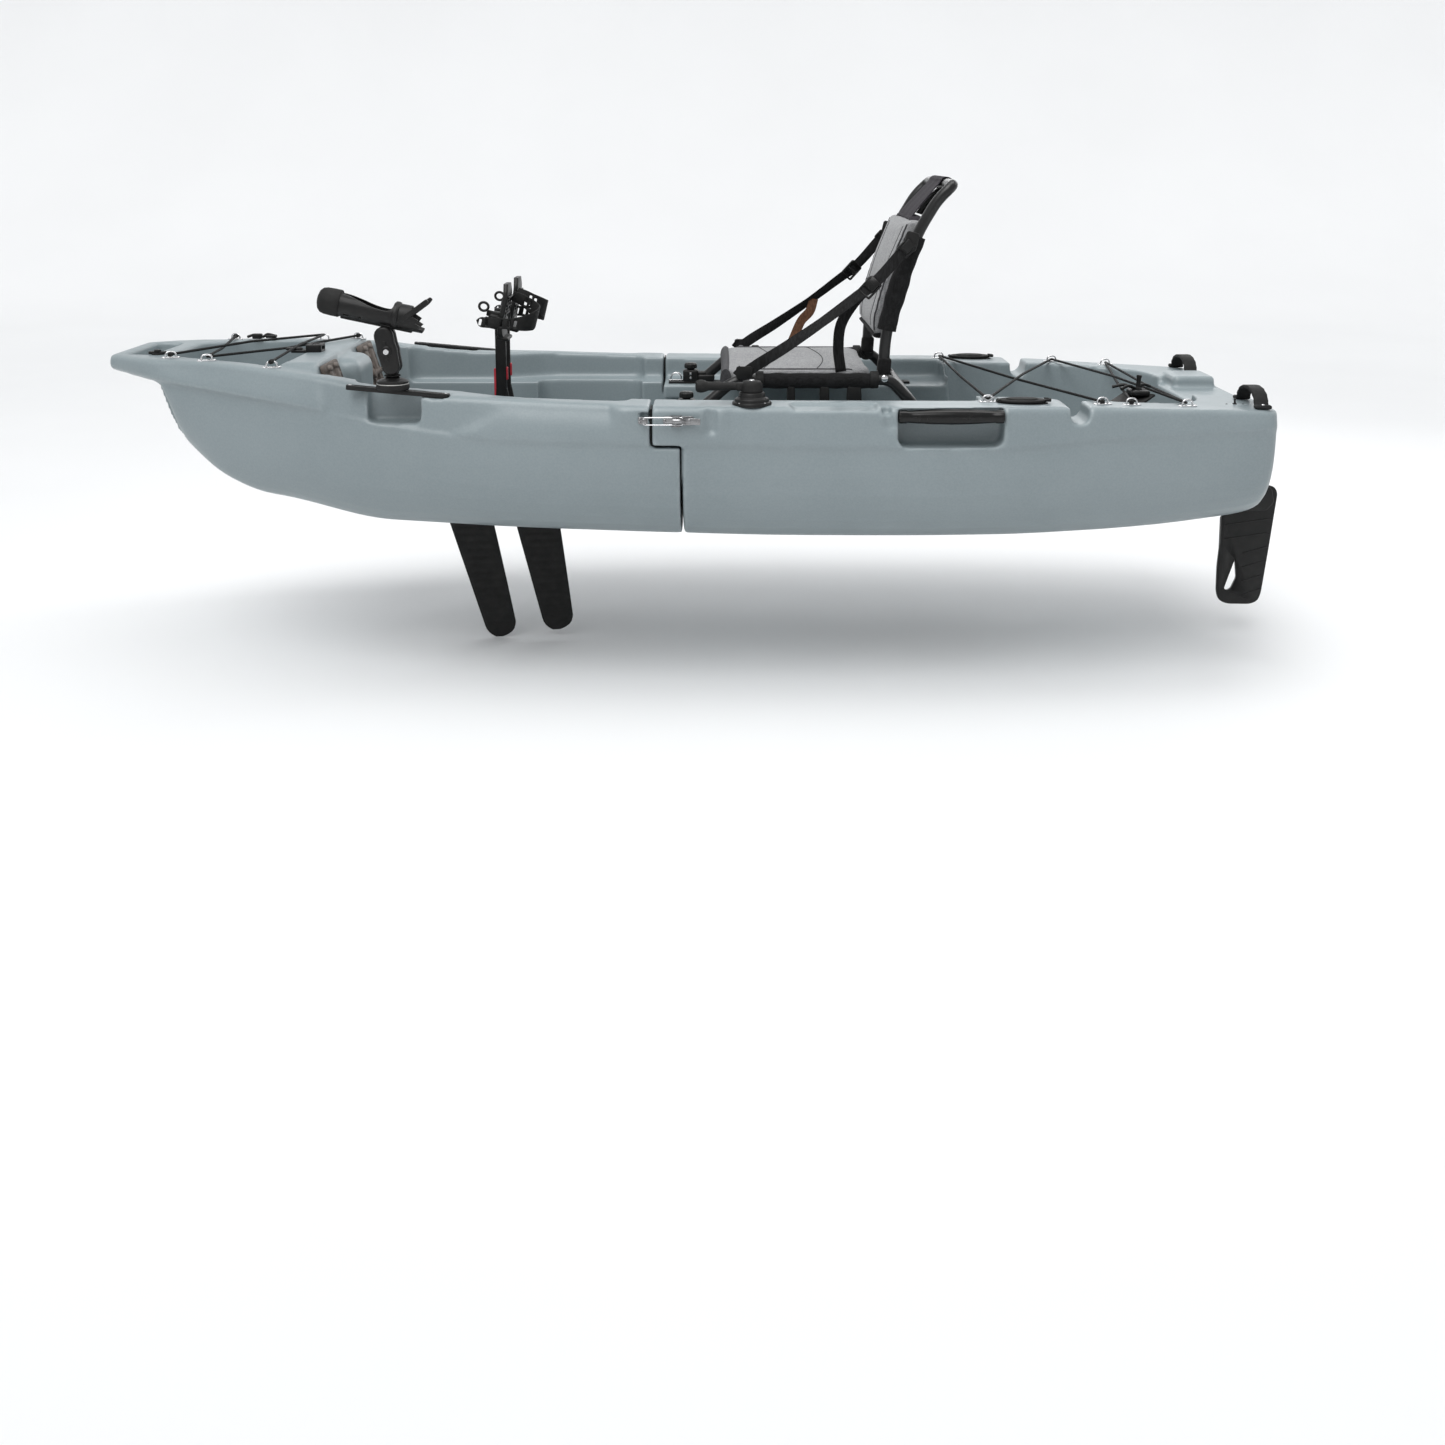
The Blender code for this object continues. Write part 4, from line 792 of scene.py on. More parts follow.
def gunwale_cutters(module):
    """The gunwales' recesses: tracks and rod base forward, grips, notches and sockets aft."""
    made = []
    for side, word in SIDES:
        if module == "front":
            low, high = sided(side, ROD_Y - 0.0135, ROD_Y + 0.0135)
            track = block(f"track_cut_{word}", (-0.1115, low, -0.0105), (0.1115, high, 0.03))
            made.append(moved(track, track_place()))
            recess = round_outline([(-0.757, 0.275), (-0.640, 0.275), (-0.640, 0.42), (-0.757, 0.42)], 0.014)
            made.append(plate(f"track_recess_{word}", recess, *sided(side, 0.362, 0.60), "XZ"))
            made.append(plate(f"latch_notch_{word}",
                              [(-0.186, 0.312), (-0.162, 0.308), (-0.145, 0.302), (-0.145, 0.296),
                               (-0.166, 0.294)], *sided(side, 0.455, 0.60), "XZ"))
            continue
        grip = round_outline([(0.369, 0.232), (0.592, 0.232), (0.592, 0.36), (0.369, 0.36)], 0.022)
        made.append(plate(f"grip_recess_{word}", [(x, min(z, 0.3145)) for x, z in grip],
                          *sided(side, 0.405, 0.60), "XZ"))
        for x in (0.352, 0.609):
            made.append(ellipsoid(f"grip_scoop_{word}_{x}", (x, side * 0.478, 0.288), (0.024, 0.018, 0.026)))
        made.append(rod(f"paddle_notch_{word}", (0.756, side * 0.30, 0.297), (0.756, side * 0.60, 0.297),
                        0.021))
        low, high = sided(side, 0.30, 0.60)
        made.append(block(f"paddle_mouth_{word}", (0.735, low, 0.297), (0.777, high, 0.40)))
        socket = (SOCKET_X, side * SOCKET_Y, 0.36)
        made.append(rod(f"socket_{word}", socket, (SOCKET_X + 0.05, side * SOCKET_Y, 0.19), 0.024))
        low, high = sided(side, 0.395, 0.47)
        made.append(block(f"gunwale_rest_{word}", (0.145, low, 0.311), (0.325, high, 0.40), 0.003))
        made.append(rod(f"latch_scoop_{word}", (-0.025, side * 0.482, 0.345),
                        (-0.025, side * 0.482, 0.262), 0.019))
        made.append(block(f"strap_slot_{word}", (0.334, *sided(side, 0.440, 0.60)[:1], 0.300),
                          (0.354, *sided(side, 0.440, 0.60)[1:], 0.40), 0.003))
    return made


def underside_parts(module):
    """Low fairings and the keel line that stand out of the bottom."""
    if module == "front":
        return [ellipsoid("drive_fairing", (-0.225, 0, 0.016), (0.125, 0.100, 0.018)),
                ellipsoid("drive_nose", (-0.745, 0, 0.036), (0.090, 0.075, 0.016))]
    wedge = plate("sensor_fairing", [(0.600, -0.086), (0.600, 0.086), (0.700, 0.048), (0.785, 0.004),
                                     (0.785, -0.004), (0.700, -0.048)], -0.0035, 0.03, bevel=0.003)
    nose = ellipsoid("sensor_nose", (0.270, 0, 0.012), (0.075, 0.080, 0.013))
    line = sweep("keel_line", [(x, 0, smooth_table(4, x) - 0.0008) for x in np.linspace(0.79, 1.165, 20)],
                 circle(0.006, 8), facing=(0, 0, -1), scale=list(np.linspace(0.5, 1.2, 20)))
    return [wedge, nose, line]


def softened(obj, rounds=6):
    """Remeshed, smoothed and thinned: the soft edges of a rotomoulded shell."""
    modify(obj, "REMESH", mode="VOXEL", voxel_size=VOXEL)
    modify(obj, "SMOOTH", factor=0.5, iterations=rounds)
    applied(obj)
    count = sum(len(polygon.vertices) - 2 for polygon in obj.data.polygons)
    if count > 110000:
        modify(obj, "DECIMATE", ratio=110000 / count)
        applied(obj)
    obj.data.shade_smooth()
    return obj


def unite(obj, pieces):
    return cut(obj, *pieces, operation="UNION")


def half_space(name, corners):
    return plate(name, corners, -1.0, 1.0, "XZ")


def make_hull():
    """Two modules that meet at a stepped seam."""
    half_gap = SEAM_GAP / 2
    front = hull_loft("front_shell", -1.398, -0.060)
    cut(front, half_space("behind", [(SEAM_UPPER_X - half_gap, 1.0), (SEAM_UPPER_X - half_gap, SEAM_STEP_Z),
                                     (SEAM_LOWER_X - half_gap, SEAM_STEP_Z), (SEAM_LOWER_X - half_gap, -1.0),
                                     (3.0, -1.0), (3.0, 1.0)]))
    unite(front, [block("foot_block", (-0.985, -0.262, 0.20), (-0.80, 0.262, 0.386), 0.02)]
          + underside_parts("front"))
    cut(front, *footwell_cutters())
    unite(front, [block("foot_column", (-0.93, -0.085, 0.09), (-0.838, 0.085, 0.372), 0.032, 4)])
    cut(front, *seat_cutters())
    cut(front, *scuppers((-0.664,), 0.233, 0.035))
    cut(front, plate("drive_well", DRIVE_OPENING, -0.05, 0.25),
        plate("drive_seat", grown(DRIVE_OCTAGON, 0.0014), -0.05, 0.0462))
    cut(front, *gunwale_cutters("front"))
    place(softened(front), "hull", "hull", "front_hull")
    rear = hull_loft("rear_shell", -0.160, 1.204)
    cut(rear, half_space("before", [(SEAM_UPPER_X + half_gap, 1.0),
                                    (SEAM_UPPER_X + half_gap, SEAM_STEP_Z + SEAM_GAP),
                                    (SEAM_LOWER_X + half_gap, SEAM_STEP_Z + SEAM_GAP),
                                    (SEAM_LOWER_X + half_gap, -1.0), (-3.0, -1.0), (-3.0, 1.0)]))
    unite(rear, underside_parts("rear"))
    cut(rear, *seat_cutters(), *tank_cutters())
    unite(rear, [block("stern_block", (1.085, 0.065, 0.20), (1.186, 0.185, 0.312), 0.010)])
    cut(rear, *scuppers((0.0105, 0.431, 0.741), 0.159, 0.030))
    cut(rear, plate("sensor_pocket", grown(SENSOR_OUTLINE, 0.0014), -0.05, 0.0203),
        block("rudder_notch", (1.172, -0.026, -0.05), (1.30, 0.026, 0.20)))
    cut(rear, *gunwale_cutters("rear"))
    place(softened(rear), "hull", "hull", "rear_hull")


# Deck fittings

def pad_eye(name, spot, angle=0.0):
    """A polished oval plate with two screws and a bar arched over it for the elastic cord."""
    base = plate(name, round_outline(rectangle((-0.021, -0.0085), (0.021, 0.0085)), 0.0084, 5), -0.002,
                 0.0018, bevel=0.0006)
    arch = tube(f"{name}_arch", smooth_path([(-0.0115, 0, 0.0), (-0.0110, 0, 0.0075), (-0.006, 0, 0.0128),
                                             (0.006, 0, 0.0128), (0.0110, 0, 0.0075),
                                             (0.0115, 0, 0.0)], 4), 0.0020, 10)
    heads = [screw(f"{name}_{x}", (x, 0, 0.0016), (0, 0, 1), 0.0031, 0.0014) for x in (-0.0165, 0.0165)]
    eye = merged(name, [base, arch, *heads])
    moved(eye, Matrix.Translation(spot) @ Matrix.Rotation(angle, 4, "Z"))
    return place(eye, "chrome", "hull")


def deck_z(x):
    return smooth_table(2, x)


def make_pad_eyes():
    eyes = ((-1.245, -0.170), (-1.000, 0.262), (-0.990, -0.274), (-1.205, 0.200), (-1.150, -0.216),
            (-0.905, 0.215), (0.815, -0.372), (0.560, 0.378), (0.568, -0.378), (0.850, 0.368),
            (1.005, -0.345), (0.985, 0.350), (0.880, -0.362))
    for number, (x, y) in enumerate(eyes):
        height = 0.3862 if x == -0.905 else deck_z(x)
        pad_eye(f"pad_eye_{number}", (x, y, height), 0.12 if x > 0 else -0.3 * math.copysign(1, y))


def make_bow_fittings():
    """The drain plug by the carry slot, the cord hook in the well and the buckle on the foot block."""
    plug = lathe("bow_drain_plug", [(0, 0.011), (0.006, 0.011), (0.008, 0.0095), (0.008, 0.004),
                                    (0.0125, 0.003), (0.0135, 0.0), (0.0135, -0.004), (0, -0.004)],
                 (-1.292, -0.118, 0.3875))
    ear = block("bow_drain_ear", (-1.312, -0.1235, 0.388), (-1.272, -0.1125, 0.3945), 0.002)
    place(merged("bow_drain_plug", [plug, ear]), "plastic", "hull")
    hook = tube("cord_hook", smooth_path([(-1.172, 0.186, 0.3935), (-1.156, 0.199, 0.3975),
                                          (-1.138, 0.196, 0.3925), (-1.128, 0.206, 0.3975),
                                          (-1.112, 0.210, 0.394)], 6), 0.0034, 12)
    catch = block("cord_hook_catch", (-1.160, 0.180, 0.3885), (-1.136, 0.194, 0.4015), 0.003)
    tongue = block("cord_hook_tongue", (-1.132, 0.198, 0.3885), (-1.106, 0.216, 0.3965), 0.003)
    place(merged("cord_hook", [hook, catch, tongue]), "plastic", "hull")
    base = plate("deck_buckle", round_outline(rectangle((-1.002, -0.066), (-0.962, -0.030)), 0.006), 0.384,
                 0.3905, bevel=0.0015)
    frame_ring = plate("buckle_ring", round_outline(rectangle((-0.966, -0.072), (-0.930, -0.022)), 0.007),
                       0.384, 0.4035, bevel=0.002)
    cut(frame_ring, block("buckle_window", (-0.957, -0.062, 0.380), (-0.939, -0.032, 0.42), 0.002),
        block("buckle_side", (-0.975, -0.060, 0.3905), (-0.90, -0.034, 0.3985), 0.002))
    tongue = block("buckle_tongue", (-1.016, -0.056, 0.3885), (-0.978, -0.040, 0.3955), 0.003)
    place(merged("deck_buckle", [base, frame_ring, tongue]), "plastic", "hull")


def make_track(side, word):
    """A black rail let into the gunwale: a channel with inward lips and a screw at each end."""
    low, high = sided(side, ROD_Y - 0.0125, ROD_Y + 0.0065)
    middle = side * (ROD_Y - 0.003)
    rail = plate(f"gear_rail_{word}", round_outline([(-0.110, low), (0.110, low), (0.110, high),
                                                     (-0.110, high)], 0.006), -0.0095, 0.0006, bevel=0.0012)
    cut(rail, block("lip", (-0.094, middle - 0.0035, -0.0025), (0.094, middle + 0.0035, 0.02)),
        block("groove", (-0.094, middle - 0.0075, -0.0075), (0.094, middle + 0.0075, -0.0022)))
    place(moved(rail, track_place()), "plastic", "hull", f"gear_track_{word}")
    for end, x in (("fore", -0.102), ("aft", 0.102)):
        head = screw(f"rail_screw_{word}_{end}", (x, middle, 0.0006), (0, 0, 1), 0.0036, 0.0016)
        place(moved(head, track_place()), "steel", "hull")


# Rod holder

def rod_base_z():
    return TRACK_TOP_Z + 0.010 * math.sin(TRACK_TILT) + 0.032 * math.tan(TRACK_TILT) + 0.0004


def arm_ends():
    """The clamp arm's two ball centres."""
    z = rod_base_z() + 0.0475
    return Vector((ROD_X, -ROD_Y, z)), Vector((ROD_X - 0.013, -ROD_Y, z + 0.064))


def make_rod_base():
    z = rod_base_z()
    spot = (ROD_X, -ROD_Y, z)
    lower = lathe("rod_base_disc", [(0, 0.0085), (0.0325, 0.0085), (0.0345, 0.0075), (0.0352, 0.0055),
                                    (0.0352, 0.0), (0.033, -0.0035), (0, -0.0035)], spot, segments=56)
    place(lower, "matt", "hull", "rod_base")
    ring = lathe("rod_base_ring", [(0.0, 0.0101), (0.0340, 0.0101), (0.0343, 0.0093), (0.0340, 0.0085),
                                   (0, 0.0085)], spot, segments=56)
    place(ring, "pale", "hull")
    upper = lathe("rod_base_dome", [(0, 0.0245), (0.012, 0.0245), (0.0145, 0.0235), (0.0175, 0.0215),
                                    (0.026, 0.0185), (0.031, 0.0165), (0.0335, 0.0145), (0.0335, 0.0115),
                                    (0.0325, 0.0101), (0, 0.0101)], spot, segments=56)
    place(upper, "plastic", "hull")
    neck = lathe("rod_ball_stud", [(0, 0.0600), (0.0060, 0.0592), (0.0105, 0.0565), (0.0130, 0.0520),
                                   (0.0135, 0.0475), (0.0130, 0.0430), (0.0115, 0.0395), (0.0080, 0.0370),
                                   (0.0080, 0.0350), (0.0128, 0.0345), (0.0140, 0.0330), (0.0140, 0.0312),
                                   (0.0110, 0.0300), (0.0110, 0.0290), (0.0165, 0.0284), (0.0175, 0.0270),
                                   (0.0170, 0.0256), (0, 0.0250)], spot, segments=40)
    place(neck, "rubber", "rod_stud", "rod_ball")


def make_rod_arm():
    """Two clamp shells over both balls, drawn together by a bolt with a T handle."""
    lower, upper = arm_ends()
    along = (upper - lower).normalized()
    across = Vector((along.z, 0, -along.x))
    middle = (lower + upper) / 2
    outline = []
    for centre, start, radius in ((upper, 0, 0.0205), (lower, 180, 0.0190)):
        for degrees in range(start, start + 181, 20):
            angle = math.radians(degrees)
            spot = centre + radius * (across * math.cos(angle) + along * math.sin(angle))
            outline.append((spot.x, spot.z))
        sign = -1 if start == 0 else 1
        for shift in (0.014, 0.0, -0.014):
            spot = middle - along * sign * shift + across * sign * (0.0215 - abs(shift) * 0.10)
            outline.append((spot.x, spot.z))
    shells = []
    for side in (-1, 1):
        low, high = sorted((-ROD_Y + side * 0.0035, -ROD_Y + side * 0.0225))
        shell = plate(f"arm_shell_{side}", outline, low, high, "XZ", bevel=0.0062, segments=4)
        shells.append(cut(shell, ellipsoid("ball_a", lower, (0.0139,) * 3, 24),
                          ellipsoid("ball_b", upper, (0.0139,) * 3, 24)))
    boss = lathe("arm_boss", [(0, 0.0255), (0.0095, 0.0255), (0.0115, 0.0240), (0.0120, 0.0205), (0, 0.0205)],
                 middle, (0, -1, 0))
    rib = plate("arm_rib", [(middle.x - 0.004, middle.z - 0.020), (middle.x + 0.004, middle.z - 0.020),
                            (middle.x - 0.001, middle.z + 0.022), (middle.x - 0.008, middle.z + 0.022)],
                -ROD_Y - 0.0236, -ROD_Y - 0.0215, "XZ", bevel=0.0008)
    place(merged("rod_arm_shells", shells + [boss, rib]), "plastic", "rod_arm", "rod_arm")
    head = lathe("rod_arm_bolt", [(0, 0.0288), (0.0025, 0.0288), (0.0028, 0.0305), (0.0055, 0.0305),
                                  (0.0065, 0.0290), (0.0068, 0.0262), (0, 0.0262)], middle, (0, -1, 0), 24)
    place(head, "chrome", "rod_knob", "rod_arm_knob")
    stem = lathe("t_handle", [(0, 0.046), (0.0125, 0.046), (0.0140, 0.044), (0.0140, 0.034), (0.0110, 0.031),
                              (0.0085, 0.0235), (0, 0.0235)], middle, (0, 1, 0))
    wing = plate("t_wing", round_outline([(middle.x - 0.0065, middle.z - 0.027),
                                          (middle.x + 0.0065, middle.z - 0.027),
                                          (middle.x + 0.0085, middle.z),
                                          (middle.x + 0.0065, middle.z + 0.027),
                                          (middle.x - 0.0065, middle.z + 0.027),
                                          (middle.x - 0.0085, middle.z)], 0.005),
                 -ROD_Y + 0.032, -ROD_Y + 0.046, "XZ", bevel=0.003)
    place(merged("rod_t_handle", [stem, wing]), "plastic", "rod_knob")


def make_cradle():
    """The rod tube: a trough with a curved rim, a rubber end, a collar and a forked mouth."""
    _, upper = arm_ends()
    where = Matrix.Translation(upper) @ Matrix.Rotation(math.radians(12), 4, "Y")
    tube_z = 0.047
    shell = lathe("cradle_tube", [(0.0, -0.128), (0.0265, -0.128), (0.0265, 0.006), (0.0270, 0.040),
                                  (0.0262, 0.076), (0.0226, 0.078), (0.0226, -0.120), (0.0, -0.120)],
                  (0, 0, tube_z), (1, 0, 0), 56)
    rim = smooth_path([(-0.104, 0.0, tube_z + 0.0225), (-0.085, 0.0, tube_z + 0.0210),
                       (-0.060, 0.0, tube_z + 0.0155), (-0.035, 0.0, tube_z + 0.0095),
                       (-0.010, 0.0, tube_z + 0.0070), (0.004, 0.0, tube_z + 0.0100),
                       (0.010, 0.0, tube_z + 0.0190)], 5)
    trough = [(p[0], p[2]) for p in rim] + [(0.012, 0.16), (-0.104, 0.16)]
    mouth = [(0.085, tube_z + 0.040), (0.046, tube_z + 0.030), (0.052, tube_z + 0.008),
             (0.066, tube_z + 0.002), (0.062, tube_z - 0.006), (0.072, tube_z - 0.010),
             (0.068, tube_z - 0.016), (0.085, tube_z - 0.018)]
    cut(shell, plate("trough", trough, -0.05, 0.05, "XZ"), plate("mouth", mouth, -0.05, 0.05, "XZ"),
        rod("pin_hole", (-0.055, -0.05, tube_z - 0.019), (-0.055, 0.05, tube_z - 0.019), 0.0028),
        plate("pin_slot", round_outline(rectangle((-0.092, tube_z - 0.0205), (-0.078, tube_z - 0.0175)),
                                        0.0014), -0.05, 0.05, "XZ"))
    rounded_edges(shell, 0.0008, 2, 50)
    collar = lathe("cradle_collar", [(0.0262, 0.011), (0.0292, 0.0125), (0.0298, 0.016), (0.0298, 0.019),
                                     (0.0286, 0.0225), (0.0262, 0.024)], (0, 0, tube_z), (1, 0, 0), 56)
    spine = block("cradle_spine", (-0.098, -0.006, tube_z - 0.0300), (0.055, 0.006, tube_z - 0.0245), 0.002)
    prongs = []
    for side in (-1, 1):
        low, high = sided(side, 0.0205, 0.0275)
        prong = [(0.022, tube_z - 0.006), (0.034, tube_z - 0.013), (0.056, tube_z + 0.012),
                 (0.076, tube_z + 0.034), (0.082, tube_z + 0.046), (0.075, tube_z + 0.050),
                 (0.066, tube_z + 0.040), (0.048, tube_z + 0.020)]
        prongs.append(plate(f"cradle_prong_{side}", round_outline(prong, 0.005, 3), low, high, "XZ",
                            bevel=0.0012))
    stem = lathe("cradle_stem", [(0, -0.0135), (0.0060, -0.0121), (0.0105, -0.0085), (0.0132, -0.003),
                                 (0.0135, 0.0), (0.0130, 0.004), (0.0110, 0.008), (0.0085, 0.0105),
                                 (0.0085, 0.013), (0.0120, 0.0145), (0.0135, 0.018), (0.016, 0.0215),
                                 (0.016, 0.024), (0, 0.024)])
    place(moved(merged("rod_cradle_tube", [shell, collar, spine, *prongs, stem]), where), "plastic",
          "rod_cradle", "rod_cradle")
    cap = lathe("rod_cradle_cap", [(0.0, -0.151), (0.012, -0.1505), (0.0205, -0.1475), (0.0260, -0.1420),
                                   (0.0283, -0.1340), (0.0290, -0.120), (0.0290, -0.104), (0.0282, -0.1025),
                                   (0.0266, -0.1025), (0.0266, -0.127), (0.0, -0.127)],
                (0, 0, tube_z), (1, 0, 0), 56)
    place(moved(cap, where), "rubber", "rod_cradle")


# Drive and pedals

def make_drive():
    """The base plate with its bevelled rim, and the housing's brackets, links and screws."""
    base = plate("drive_plate", DRIVE_OCTAGON, 0.0145, 0.0455, bevel=0.007, segments=4)
    rim = plate("opening_rim", grown(DRIVE_OPENING, 0.006), 0.0110, 0.0300, bevel=0.003)
    unite(base, [rim])
    cut(base, plate("opening", DRIVE_OPENING, -0.05, 0.25))
    place(base, "plastic", "hull", "drive_base_plate")
    for number, (x, y) in enumerate(((-0.735, 0.0), (-0.660, 0.098), (-0.660, -0.098), (-0.310, 0.098),
                                     (-0.310, -0.098), (-0.235, 0.0))):
        place(screw(f"drive_plate_screw_{number}", (x, y, 0.0145), (0, 0, -1), 0.005, 0.0018), "steel",
              "hull")
    housing = block("drive_spine", (-0.690, -0.0165, 0.030), (-0.393, 0.0165, 0.116), 0.004)
    crown = block("drive_crown", (-0.578, -0.0285, 0.070), (-0.458, 0.0285, 0.170), 0.009, 4)
    hood = plate("drive_hood", round_outline([(-0.600, 0.1165), (-0.480, 0.1165), (-0.492, 0.150),
                                              (-0.585, 0.146)], 0.012), -0.026, 0.026, "XZ", bevel=0.004)
    lip = plate("drive_lip", round_outline(rectangle((-0.600, -0.049), (-0.480, 0.049)), 0.012), 0.1168,
                0.1258, bevel=0.002)
    unite(housing, [crown, hood, lip])
    place(housing, "plastic", "hull", "drive_housing")
    for side, word in SIDES:
        cheek = plate(f"drive_cheek_{word}", round_outline([(-0.682, 0.036), (-0.402, 0.036), (-0.420, 0.078),
                                                            (-0.480, 0.104), (-0.600, 0.104),
                                                            (-0.664, 0.078)], 0.008),
                      *sided(side, 0.0168, 0.0188), "XZ", bevel=0.0006)
        place(cheek, "steel", "hull")
        heads = [screw(f"cheek_screw_{word}_{x}", (x, side * 0.0186, z), (0, side, 0), 0.0045, 0.0022)
                 for x, z in ((-0.655, 0.052), (-0.600, 0.088), (-0.540, 0.052), (-0.478, 0.088),
                              (-0.425, 0.052))]
        place(merged(f"cheek_screws_{word}", heads), "chrome", "hull")


def make_fin(word, x0, x1):
    """A flexible fin: a foil that thins aft from its mast, with ribs moulded across it."""
    z_tip = -0.318 if word == "front" else -0.300
    lean = 0.094 if word == "front" else 0.073
    tip_x = x0 + 0.012 + lean
    start, end = Vector((x0 + 0.012, 0, -0.002)), Vector((tip_x - 0.004, 0, z_tip + 0.022))
    slope = (end.x - start.x) / (end.z - start.z)
    bm = bmesh.new()
    rings = []
    heights = np.concatenate([np.linspace(-0.013, z_tip + 0.03, 60), z_tip + 0.03 * (1 - np.array(
        [0.35, 0.6, 0.8, 0.93, 1.0]))])
    for z in heights:
        part = (-0.013 - z) / (-0.013 - z_tip)
        close = max(0.0, (z_tip + 0.03 - z) / 0.03)
        lead = start.x + slope * (z - start.z) - 0.0055 + 0.018 * close ** 3
        trail = np.interp(part, [0, 0.88, 1.0], [x1 + 0.006, tip_x + 0.064,
                                                 tip_x + 0.058]) - 0.026 * close ** 3
        rib = 0.0011 * math.cos(2 * math.pi * part * 16)
        ring = []
        profile = [(0.0, 0.0), (0.025, 0.8), (0.09, 1.0), (0.2, 0.80), (0.4, 0.62), (0.7, 0.42), (0.96, 0.24),
                   (1.0, 0.0)]
        for sign, stations in ((1, profile), (-1, profile[1:-1][::-1])):
            for along, thick in stations:
                swell = rib if 0.15 < along < 0.95 else 0.0
                half = (0.0052 * thick + swell) * (1 - 0.75 * close ** 3)
                shift = 0.004 * along * math.sin(3 * part)
                ring.append(bm.verts.new((lead + (trail - lead) * along, sign * half if thick else 0.0,
                                          z + shift)))
        rings.append(ring)
    for first, second in zip(rings, rings[1:]):
        for k in range(len(first)):
            n = (k + 1) % len(first)
            bm.faces.new((first[k], first[n], second[n], second[k]))
    bm.faces.new(rings[0])
    bm.faces.new(rings[-1][::-1])
    place(from_bmesh(f"fin_blade_{word}", bm, 50), "rubber", f"fin_{word}", f"fin_{word}")


def make_fins():
    for word, x0, x1 in (("front", -0.672, -0.560), ("rear", -0.512, -0.400)):
        make_fin(word, x0, x1)
        drum = lathe(f"fin_drum_{word}", [(0, 0.0), (0.0125, 0.0), (0.0150, 0.0025), (0.0155, 0.006),
                                          (0.0155, 0.022), (0.0120, 0.025), (0.0120, 0.086), (0.0155, 0.089),
                                          (0.0155, 0.106), (0.0150, 0.1095), (0.0125, 0.112), (0, 0.112)],
                     (x0, 0, 0.012), (1, 0, 0), 36)
        socket = block(f"fin_socket_{word}", (x0 + 0.002, -0.0095, -0.0125), (x0 + 0.026, 0.0095, 0.012),
                       0.003)
        lean = 0.094 if word == "front" else 0.073
        z_tip = -0.318 if word == "front" else -0.300
        mast = rod(f"fin_mast_rod_{word}", (x0 + 0.012, 0, -0.002),
                   (x0 + 0.012 + lean - 0.004, 0, z_tip + 0.022), 0.0040, segments=14)
        grub = screw(f"fin_grub_{word}", (x0 + 0.014, -0.0094, -0.003), (0, -1, 0), 0.0035, 0.0012)
        place(merged(f"fin_mast_parts_{word}", [drum, socket, mast, grub]), "steel", f"fin_{word}",
              f"fin_mast_{word}")


